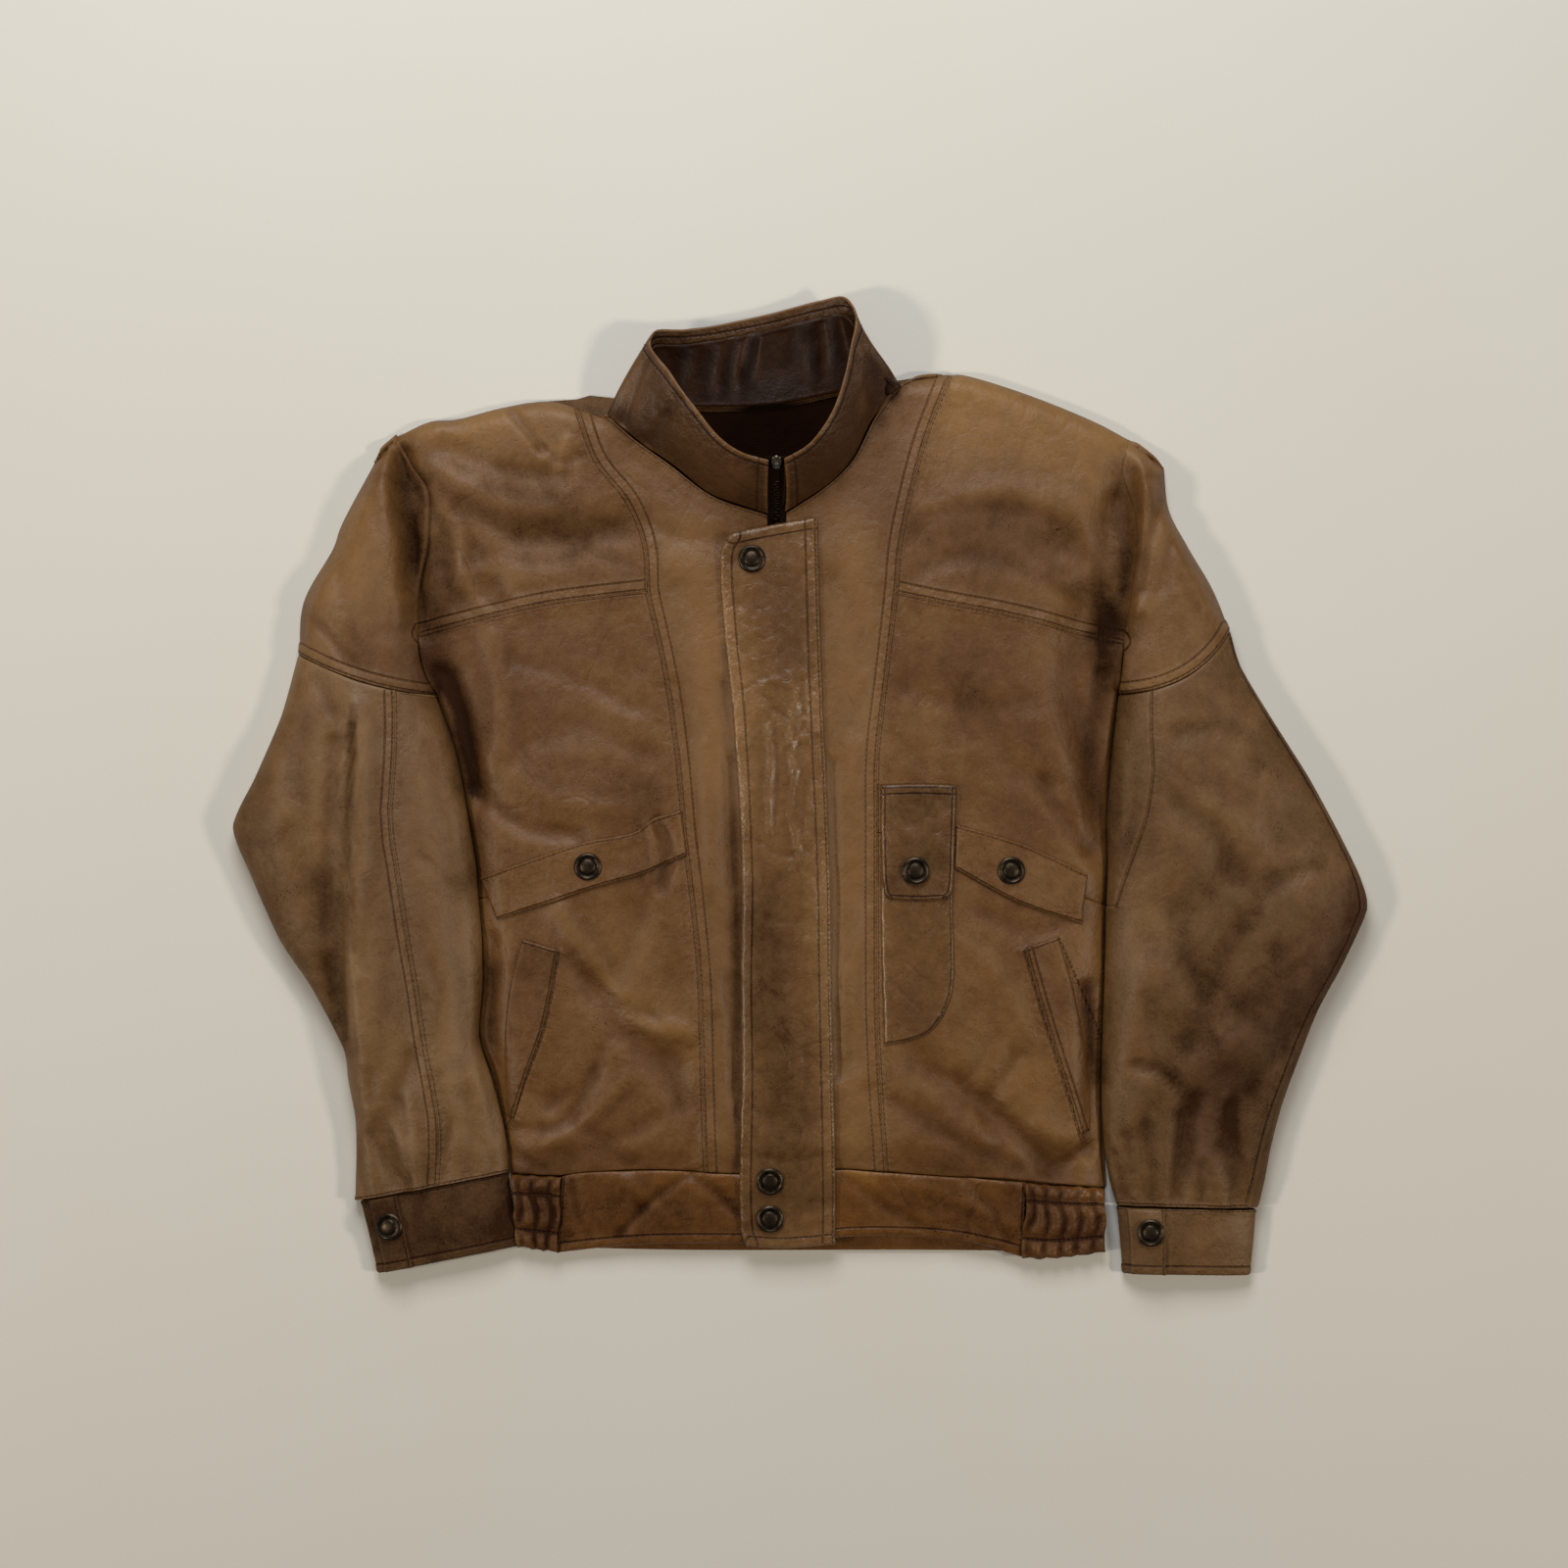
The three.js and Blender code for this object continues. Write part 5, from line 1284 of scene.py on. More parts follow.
@dataclass(frozen=True)
class Woven(Finish):
    """Plain woven cloth: fine crossed threads with a matt sheen."""

    thread_mm: float = 0.7
    rough: float = 0.85

    def mix(self) -> bpy.types.Material:
        """Mixes the weave from two crossed waves."""
        r = Recipe(self.name)
        waves = []
        for direction in ("X", "Y"):
            inputs = {"Vector": r.place, "Scale": 1000 / self.thread_mm / 6.28, "Distortion": 0.4}
            waves.append(node(r.tree, "ShaderNodeTexWave", inputs, bands_direction=direction).outputs["Fac"])
        weave = r.calc("MULTIPLY", *waves)
        cloudy = r.noise(24, 4, 0.6)
        share = r.calc("MULTIPLY_ADD", weave, 0.5, r.calc("MULTIPLY", cloudy, 0.6), clamp=True)
        colour = r.blend(share, to_linear(self.dark), to_linear(self.pale))
        relief = r.bump(r.noise(14, 3, 0.5, 0.6), 1.6, r.bump(weave, 0.2))
        rough = r.span(cloudy, 0.3, 0.7, self.rough - 0.08, self.rough + 0.06)
        return r.close(Base_Color=colour, Roughness=rough, Normal=relief, IOR=1.35, Specular_IOR_Level=0.06)


@dataclass(frozen=True)
class Metal(Finish):
    """Plated brass or nickel, dulled in the hollows and rubbed bright on the rims."""

    rough: float = 0.36

    def mix(self) -> bpy.types.Material:
        """Mixes the tarnish and fine scratches."""
        r = Recipe(self.name)
        tarnish = r.noise(3.5, 5, 0.7, 0.4)
        scratches = r.noise(1.2, 3, 0.6, 0.0, (1.0, 7.0, 1.0))
        worn = r.attribute("worn")
        share = r.calc("MULTIPLY_ADD", worn, 0.55, r.span(tarnish, 0.35, 0.7, 0.0, 0.5), clamp=True)
        colour = r.blend(share, to_linear(self.dark), to_linear(self.pale))
        rough = r.calc("MULTIPLY_ADD", r.calc("SUBTRACT", scratches, 0.5), 0.35, self.rough, clamp=True)
        relief = r.bump(scratches, 0.05, r.bump(tarnish, 0.12))
        return r.close(Base_Color=colour, Metallic=0.9, Roughness=rough, Normal=relief)


@dataclass(frozen=True)
class Thread(Finish):
    """Waxed polyester thread, twisted: a tight dark ribbing."""

    def mix(self) -> bpy.types.Material:
        """Mixes the twist and the faded places."""
        r = Recipe(self.name)
        twist = node(
            r.tree, "ShaderNodeTexWave", {"Vector": r.place, "Scale": 420.0}, bands_direction="DIAGONAL"
        ).outputs["Fac"]
        faded = r.noise(30, 3)
        share = r.calc("MULTIPLY_ADD", twist, 0.3, r.span(faded, 0.4, 0.7, 0.0, 0.6), clamp=True)
        colour = r.blend(share, to_linear(self.dark), to_linear(self.pale))
        return r.close(Base_Color=colour, Roughness=0.7, Normal=r.bump(twist, 0.08))


@dataclass(frozen=True)
class Painted(Finish):
    """Matt painted board under the jacket, very slightly uneven."""

    def mix(self) -> bpy.types.Material:
        """Mixes the roller's faint unevenness."""
        r = Recipe(self.name)
        colour = r.blend(r.noise(420, 3), to_linear(self.dark), to_linear(self.pale))
        return r.close(Base_Color=colour, Roughness=0.85, Normal=r.bump(r.noise(2.5, 3), 0.08))


BROWN = Hide("lamb nappa, brown panels", "#271304", "#886230", "#65411b", rough=0.5)
TAN = Hide("lamb nappa, rubbed centre front", "#2e1805", "#815c2f", "#68451e", rough=0.52)
YOKE = Hide("lamb nappa, shoulder yokes", "#281404", "#8c6636", "#69461f", rough=0.53)
SLEEVE = Hide("lamb nappa, sleeves", "#2a1605", "#8e6d45", "#6a4a26", rough=0.52)
BAND = Hide("lamb nappa, waistband and cuffs", "#291102", "#96692d", "#694113", rough=0.4, creasing=0.38)
GLAZED = Hide(
    "lamb nappa, glazed by rubbing", "#361c08", "#9c764c", "#71502c", rough=0.31, creasing=0.5, coat=0.22
)
COLLAR = Hide("lamb nappa, collar", "#210f04", "#724e29", "#492d12", rough=0.44, edge_wear=0.5)
FACING = Hide(
    "soft dark nappa, collar facing", "#0f0502", "#44260c", "#261204", plum="#25120c",
    rough=0.46, creasing=0.1, shine=0.24,
)
# dark brown satin, made darker still as painted shade inside the neck
SHADED_LINING = Woven("satin lining, dark brown", "#0d0501", "#240d03", 0.6, 0.75)
TAPE = Woven("zip tape, dark brown cotton", "#140c07", "#2c1d13", 0.8)
THREAD = Thread("waxed thread, dark brown", "#1f1208", "#4e331b")
BRONZE = Metal("brass, dark antique plating", "#110c08", "#5a4b3a", 0.36)
NICKEL = Metal("nickel plate, dulled", "#77726a", "#cfcabf", 0.34)
TOOTH = Metal("zip teeth, browned brass", "#1d140b", "#4c3d28", 0.42)
BOARD = Painted("matt painted board", "#dddbd5", "#d9d6cb")


# ---- Front, back and waistband -----------------------------------------------------------------------


@dataclass
class Shell:
    """What every sub-assembly needs: the seams, how the jacket lies and the thread."""

    seams: SeamLines
    lie: Lie
    thread: Stitcher


ROUNDING = 2.4
FLATNESS = 9.0


def across_at(turn: Array) -> Array:
    """Place across a tube, from -1 outside to 1 inside: turns 0 to 1 run over the top, 1 to 2 under."""
    share = np.where(turn <= 1, turn, 2 - turn)
    return 2 * (share * 0.25 + (0.5 - 0.5 * np.cos(np.pi * share)) * 0.75) - 1


@dataclass
class Tube:
    """A flattened tube. A station is its inner and outer x, y, then crown, edge height and bow."""

    stations: list
    lie: Lie

    def station(self, t: Array) -> Array:
        """Stations at places between the given ones, smoothly joined."""
        table = np.array(self.stations, float)
        last = len(table) - 1
        i = np.clip(np.floor(t).astype(int), 0, last - 1)
        f = (t - i)[:, None]
        a, b, c, d = (table[np.clip(i + k, 0, last)] for k in (-1, 0, 1, 2))
        a = np.where((i == 0)[:, None], 2 * b - c, a)
        d = np.where((i == last - 1)[:, None], 2 * c - b, d)
        square, cube = (2 * a - 5 * b + 4 * c - d) * f**2, (3 * b - a - 3 * c + d) * f**3
        bent = 0.5 * (2 * b + (c - a) * f + square + cube)
        return bent * 0.6 + (b * (1 - f) + c * f) * 0.4

    def rings(self, t: Array, turns: Array, creased: float = 1.0) -> Array:
        """Points of rings.

        Args:
            t: Station of each row.
            turns: Turn of every point, as rows and columns.
            creased: Share of the creases pressed into the upper face.

        Returns:
            Points as rows, columns, xyz.
        """
        s = self.station(t)
        inner, outer, crest, edge, bow = s[:, 0:2], s[:, 2:4], s[:, 4:5], s[:, 5:6], s[:, 6:7]
        across = across_at(turns)
        share = ((across + 1) / 2)[..., None]
        plan = outer[:, None] * (1 - share) + inner[:, None] * share
        along = inner - outer
        along /= np.linalg.norm(along, axis=1, keepdims=True)
        down = np.stack([along[:, 1], -along[:, 0]], axis=1)
        down = np.where(down[:, 1:2] > 0, -down, down)
        plan = plan + down[:, None] * (bow * (1 - across**2))[..., None]
        reach = np.minimum(1, np.abs(across))
        upper = edge + (crest - edge) * (1 - reach**ROUNDING) ** (1 / ROUNDING)
        under = edge * (1 - (1 - reach**FLATNESS) ** (1 / FLATNESS))
        x, y = plan[..., 0], plan[..., 1]
        if creased:
            lost = (self.lie.folds(x, y) + creased * self.lie.fine(x, y)) * (1 - reach**8)
            upper = np.maximum(edge, upper - lost)
        height = np.where(turns <= 1, upper, under)
        return np.stack([x, y, height], axis=-1)

    def rows(self, first: float, last: float, cell: float = 3.6) -> Array:
        """Station places of rows between two stations."""
        middles = self.station(np.arange(first, last + 0.01))
        middle = (middles[:, 0:2] + middles[:, 2:4]) / 2
        run = np.concatenate([[0], np.cumsum(np.linalg.norm(np.diff(middle, axis=0), axis=1))])
        return np.interp(shares(run[-1], cell) * run[-1], run, np.arange(first, last + 0.01))

    def core(self) -> tuple:
        """Middle of the tube."""
        table = self.station(np.arange(len(self.stations)).astype(float))
        x, y = (table[:, 0] + table[:, 2]).mean() / 2, (table[:, 1] + table[:, 3]).mean() / 2
        return (x, y, table[:, 4].mean() / 2)


ARMS = {
    Hand.RIGHT: [
        (-283.5, 70.5, -390.5, 103.5, 34, EDGE, 6),
        (-276.5, 49, -403.5, 55, 36, 6, 5),
        (-267, 21, -422.5, 9.5, 39, 9, 3),
        (-258, -24.5, -441, -31, 40, 10, 0),
        (-251, -69, -427, -69, 39, 10, 0),
        (-247.5, -116, -404.5, -119.5, 38, 9, 0),
        (-247, -154, -380, -156, 36, 9, 0),
        (-249.5, -195.5, -355, -203.5, 34, 9, 0),
        (-239, -230, -351, -230, 33, 9, 0),
        (-232, -256.5, -346, -256.5, 31, 8, 0),
        (-228, -279.5, -345, -281, 29, 8, 0),
        (-227, -300, -346, -322, 23, 8, 0),
    ],
    Hand.LEFT: [
        (248.5, 72, 335, 122.5, 34, EDGE, 14),
        (245, 40, 343.5, 93, 36, 6, 9),
        (242, 5.5, 368, 51.5, 38, 9, 5),
        (240, -29.5, 396, 7, 40, 10, 0),
        (240, -59, 419, -35.5, 40, 10, 0),
        (238.5, -93, 436, -70.5, 40, 10, 0),
        (238, -116, 441.5, -95.5, 39, 10, 0),
        (237, -152.5, 422.5, -138.5, 38, 9, 0),
        (236, -184.5, 403, -174.5, 37, 9, 0),
        (235, -218.5, 387.5, -214, 35, 9, 0),
        (235, -249, 375.5, -247.5, 33, 8, 0),
        (237, -279.5, 367, -279.5, 31, 8, 0),
        (241, -304.5, 362, -306.5, 28, 8, 0),
        (247, -325.5, 357, -327.5, 22, 8, 0),
    ],
}
CUFFS = {
    Hand.RIGHT: [
        (-227, -300.5, -342, -322.5, 20, 7, 0),
        (-222.5, -329.5, -335, -350.5, 20, 7, 0),
        (-219, -357.5, -328.5, -379, 16, 7, 0),
    ],
    Hand.LEFT: [
        (247, -327, 355.5, -329, 20, 7, 0),
        (249.5, -352.5, 353.5, -354.5, 20, 7, 0),
        (251.5, -379, 350.5, -380.5, 16, 7, 0),
    ],
}
GUSSET_ROW = 5


@dataclass
class Fronts(Shell):
    """Both fronts: centre strip, yoke out over the shoulder, chest and lower front."""

    head_crest: float = 34
    tip_crest: float = 20

    def build(self) -> None:
        """Cuts and sews every front panel."""
        for hand in Hand:
            self.centre(hand)
            self.yoke(hand)
            self.chest(hand)
            self.lower(hand)

    def cloth(self, name: str, hand: Hand, grids: list, finish: Hide, rows: list, tint: float = 0.0) -> None:
        """Makes one panel."""
        piece = Cloth(f"{name}_{hand.value}", grids, finish, lowest=EDGE, topstitches=rows, tint=tint)
        piece.build(self.thread, "tan_leather" if finish is TAN else "brown_leather")

    def centre(self, hand: Hand) -> None:
        """Centre front, from the zip to the princess seam."""
        seam = self.seams.princess(hand)
        edge, neck = self.seams.edge[hand], self.seams.neck[hand]
        if hand is Hand.RIGHT:
            grid = fill(plan(-73, -300, -46.5, -300.5, -12, -300.5), neck, seam, edge)
        else:
            grid = fill(plan(-4.5, -300.5, 29, -297, 67, -299), neck, edge, seam)
        rows = [Topstitch(seam, (1.5, 8.8)), Topstitch(neck, (1.7,), 1)]
        self.cloth("front_centre", hand, [raised(grid, self.lie.front)], TAN, rows)

    def yoke(self, hand: Hand) -> None:
        """Yoke: the shoulder over the chest, running out over the sleeve head to the dropped seam."""
        right = hand is Hand.RIGHT
        seams, lie = self.seams, self.lie
        princess, fold = seams.princess_top[hand], seams.fold[hand]
        ends = (fold, princess) if right else (princess, fold)
        body = raised(fill(seams.yoke[hand], seams.shoulder[hand], *ends), lie.front)
        column = body[:, 0] if right else body[:, -1]
        arm = at(seams.armhole[hand], shares(length_of(seams.armhole[hand]), 3.4, (1.2, 2.6)))
        inner = np.vstack([arm[:-1], column * (1, 1, 0)])
        run = np.concatenate([[0], np.cumsum(np.linalg.norm(np.diff(inner, axis=0), axis=1))])
        v = run / run[-1]
        turns = np.linspace(0, 1, 52)
        tube = Tube(ARMS[hand], lie)
        low = tube.rings(np.zeros(1), turns[None])[0]
        tips = {
            Hand.RIGHT: (-331.5, 252.5, -324, 263.5, -314.5, 272.5),
            Hand.LEFT: (284, 249, 269, 260.5, 255.5, 271),
        }
        tip = plan(*tips[hand])
        u = np.linspace(0, 1, len(turns))
        grid = coons(low * (1, 1, 0), at(tip, u), at(seams.cap[hand], v), inner, u, v)
        x, y = grid[..., 0], grid[..., 1]
        across = across_at(turns)[None]
        fold_height = lie.front(inner[:, 0], inner[:, 1])[:, None]
        crest = self.head_crest + (self.tip_crest - self.head_crest) * v[:, None] ** 2
        base = EDGE + (fold_height - EDGE) * (across + 1) / 2
        full = base + (crest - base) * (1 - np.abs(across) ** ROUNDING) ** (1 / ROUNDING)
        tops = roll(distance_to(lie.tops[hand], x, y), lie.top_roll)
        tops = 1 + (tops - 1) * smooth_step(v[:, None] / 0.1)
        dip = (lie.folds(x, y) + lie.fine(x, y)) * (1 - np.abs(across) ** 8)
        head = grid.copy()
        head[..., 2] = EDGE + np.maximum(0, full - dip - EDGE) * tops
        head[0] = low
        head[:, -1, 2] = fold_height[:, 0]
        rows = [
            Topstitch(seams.yoke[hand], (1.5, 8.8)),
            Topstitch(low, (1.7, 8.6)),
            Topstitch(princess, (1.5,), 1),
        ]
        self.cloth("front_yoke", hand, [body, head], YOKE, rows)

    def chest(self, hand: Hand) -> None:
        """Chest panel, between the yoke seam and the chest pocket."""
        seams = self.seams
        outer = chain(seams.side_chest[hand], seams.armhole[hand])
        seam = seams.princess_mid[hand]
        ends = (outer, seam) if hand is Hand.RIGHT else (seam, outer)
        grid = raised(fill(seams.pocket[hand], seams.yoke[hand], *ends), self.lie.front)
        rows = [Topstitch(seam, (1.5,)), Topstitch(seams.yoke[hand], (1.5,), 1)]
        self.cloth("front_chest", hand, [grid], BROWN, rows)

    def lower(self, hand: Hand) -> None:
        """Lower front, between the chest pocket and the waist seam."""
        seams = self.seams
        seam = seams.princess_low[hand]
        ends = (seams.side_lower[hand], seam) if hand is Hand.RIGHT else (seam, seams.side_lower[hand])
        grid = raised(fill(seams.waist[hand], seams.pocket[hand], *ends), self.lie.front)
        rows = [Topstitch(seam, (1.5,))]
        if hand is Hand.RIGHT:
            # second row of stitching down the back of the hand pocket's welt
            rows.append(Topstitch(plan(-187, -126.5, -198.5, -186, -219.5, -241.5, -229, -264), (1.6,), 1))
        else:
            rows.append(Topstitch(plan(174, -125, 190, -180.5, 221, -278.5), (1.6,), 1))
            rows.append(Topstitch(plan(200, -116, 235, -195.5), (0.4,), 1))
        self.cloth("front_lower", hand, [grid], BROWN, rows, 0.06)


@dataclass
class Back(Shell):
    """The back, its waistband and the lining that shows inside the neck."""

    under_sleeve: float = 1.6

    def build(self) -> None:
        """Cuts the flat pieces that the front lies on."""
        seams, right, left = self.seams, Hand.RIGHT, Hand.LEFT
        turns = np.linspace(1, 2, 7)[None]
        under = {hand: Tube(ARMS[hand], self.lie).rings(np.zeros(1), turns)[0] for hand in Hand}
        neck = plan(-145, 303, -126, 299, -83.5, 297, -23.5, 298.5, 26, 308, 56, 313.5, 85, 318)
        waist = plan(-225.5, -300.5, -164, -305, 3, -306.5, 170, -306.5, 238, -312)
        outline = np.vstack([
            waist,
            seams.side_lower[left][1:] + (self.under_sleeve, 0, 0),
            seams.side_chest[left][1:-1] + (self.under_sleeve, 0, 0),
            under[left] + (0, 0.6, 0),
            seams.cap[left][1:],
            dots(269, 260.5, 255.5, 271),
            seams.shoulder[left][::-1][1:],
            dots(103.5, 321, 85, 318),
            neck[::-1][1:],
            dots(-164, 305, -174, 302, -195.5, 300.5),
            seams.shoulder[right][::-1][24:],
            dots(-324, 263.5, -331.5, 252.5),
            seams.cap[right][::-1][1:],
            under[right][::-1] + (0, 0.6, 0),
            seams.side_chest[right][::-1][1:] - (self.under_sleeve, 0, 0),
            seams.side_lower[right][::-1][1:-1] - (self.under_sleeve, 0, 0),
        ])
        self.flat("back_body", outline, BACK_TOP, SLEEVE, "brown_leather", (0.86, 0.68))
        band = np.vstack([
            plan(-219, -358.5, -88, -361.5, 94, -361.5, 237, -363),
            dots(238, -312.5),
            waist[::-1] - (0, SEAM_GAP, 0),
        ])
        self.flat("waistband_back", band, DOUBLE, BAND, "band_leather", (0.47, 0.06))
        self.neck_lining()

    def flat(
        self, name: str, outline: Array, thickness: float, finish: Hide, slot: str, size: tuple
    ) -> None:
        """Cuts a flat piece lying on the surface to an outline.

        Args:
            name: The solid that it stands for.
            outline: Its edge in plan.
            thickness: Thickness of the cloth.
            finish: Its leather.
            slot: The record's material slot; not used.
            size: Flat width and length to state, in metres; given, not measured on the outline; not used.
        """
        mesh = bmesh.new()
        ring = [mesh.verts.new((x * MM, y * MM, 0.0)) for x, y in outline[:, :2]]
        face = mesh.faces.new(ring)
        raised_part = bmesh.ops.extrude_face_region(mesh, geom=[face], use_keep_orig=True)
        for vert in (v for v in raised_part["geom"] if isinstance(v, bmesh.types.BMVert)):
            vert.co.z = thickness * MM
        bmesh.ops.recalc_face_normals(mesh, faces=mesh.faces)
        data = bpy.data.meshes.new(f"{name}_cloth")
        mesh.to_mesh(data)
        mesh.free()
        data.materials.append(finish.material())
        piece = bpy.data.objects.new(f"{name}_cloth", data)
        bpy.context.scene.collection.objects.link(piece)
        for seam in ("seam_a", "seam_b"):
            store(piece, seam, np.tile([0.3, 0.9, 0.9], (len(data.vertices), 1)))
        store(piece, "rim", np.full(len(data.vertices), 0.1))
        store(piece, "tone", np.full(len(data.vertices), -0.1))
        settle(piece, name)

    @staticmethod
    def area(outline: Array) -> float:
        """Signed area inside an outline."""
        x, y = outline[:, 0], outline[:, 1]
        return float((x * np.roll(y, -1) - np.roll(x, -1) * y).sum() / 2)

    def neck_lining(self) -> None:
        """Lining that shows inside the neck, softly rumpled."""
        grid = fill(
            plan(-134, 123.5, 86.5, 123.5),
            plan(-117, 295.5, -83.5, 292, -23.5, 293.5, 26, 303.5, 56, 309),
            plan(-134, 123.5, -117, 295.5),
            plan(86.5, 123.5, 56, 309),
            5,
        )
        rumple = lambda x, y: BACK_TOP + SEAM_GAP + INNER + 0.7 * (1 + value_noise(x, y, 34, 31))
        piece = Cloth("neck_lining", [raised(grid, rumple)], SHADED_LINING, INNER, lowest=EDGE, turned=0.4)
        piece.build(self.thread, "lining_cloth")


@dataclass
class Waistband(Shell):
    """A plain band in front, and a gathered elastic at each side."""

    pleat: float = 2.2

    def build(self) -> None:
        """Cuts and gathers the band."""
        right, left = Hand.RIGHT, Hand.LEFT
        self.plain(
            right,
            plan(-189, -363, -147.5, -358.5, -109.5, -356, -14.5, -356),
            plan(-184.5, -303, -170, -300.5, -103.5, -298.5, -73, -300.5, -13, -301.5),
            plan(-189, -363, -184.5, -303),
            plan(-14.5, -356, -13, -301.5),
        )
        self.plain(
            left,
            plan(-6, -356, 42, -350.5, 114, -352.5, 149.5, -359, 173.5, -366),
            plan(-4, -301.5, 29, -298, 67, -300, 118, -303.5, 175.5, -307.5),
            plan(-6, -356, -4, -301.5),
            plan(173.5, -366, 175.5, -307.5),
        )
        self.elastic(
            right,
            plan(-219, -358.5, -189, -363),
            plan(-225.5, -301.5, -184.5, -303),
            plan(-219, -358.5, -225.5, -301.5),
            plan(-189, -363, -184.5, -303),
            3,
            0.05,
        )
        self.elastic(
            left,
            plan(173.5, -366, 195.5, -367.5, 237, -363),
            plan(175.5, -307.5, 194, -309, 238, -312.5),
            plan(173.5, -366, 175.5, -307.5),
            plan(237, -363, 238, -312.5),
            5,
            -0.1,
        )

    def plain(self, hand: Hand, bottom, top, start, end) -> None:
        """One half of the plain band."""
        grid = raised(fill(bottom, top, start, end, 3), self.lie.band)
        rows = [Topstitch(bottom, (7.6,)), Topstitch(start if hand is Hand.RIGHT else end, (1.6,), 1)]
        piece = Cloth(
            f"waistband_{hand.value}", [grid], BAND, DOUBLE, lowest=BAND_EDGE, topstitches=rows, turned=1.2,
            turn_reach=3.4, held=Held.FOLDED, rests_on=("waistband_back",),
        )
        piece.build(self.thread, "band_leather")

    def elastic(self, hand: Hand, bottom, top, start, end, pleats: int, tint: float) -> None:
        """One gathered side, drawn in by two rows of stitching.

        Args:
            hand: The wearer's side.
            bottom: Hem edge.
            top: Waist seam.
            start: First end.
            end: Last end.
            pleats: How many gathers show.
            tint: Change of tone.
        """
        grid = fill(bottom, top, start, end, 1.6)
        rows, columns = grid.shape[:2]
        u, v = np.linspace(0, 1, columns)[None], np.linspace(0, 1, rows)[:, None]
        wander = 0.28 * value_noise(u * 60 + 0 * v, v * 60 + 0 * u, 22, 41)
        wave = np.abs(np.cos(np.pi * (pleats * u + wander + 0.12 * np.sin(9 * v)))) ** 0.8
        drawn = np.ones_like(v)
        for row in (0.27, 0.76):
            drawn = drawn * (1 - 0.62 * np.exp(-(((v - row) / 0.085) ** 2)))
        puff = self.pleat * 2.2 * wave * drawn * (1 - smooth_step((v - 0.86) / 0.14) * 0.7)
        grid[..., 2] = self.lie.band(grid[..., 0], grid[..., 1]) + puff
        lines = []
        for row in (0.27, 0.76):
            run = grid[int(row * (rows - 1)), :, :2]
            lines.append(Topstitch(np.hstack([run, np.zeros((columns, 1))]), (0.3,), pitch=3.4))
        # deeper painted shade between the gathers
        piece = Cloth(
            f"waist_elastic_{hand.value}", [grid], BAND, LEATHER, lowest=BAND_EDGE, topstitches=lines,
            turned=1.4, allowance=0.0, held=Held.GATHERED, rests_on=("waistband_back",), tint=tint,
            cavity_shade=0.36,
        )
        piece.build(self.thread, "band_leather")


# ---- Sleeves and cuffs -------------------------------------------------------------------------------


def joined(first: Array, second: Array) -> Array:
    """Two spreads of turns as one, without the turn that they share."""
    return np.hstack([first, second[:, 1:]])


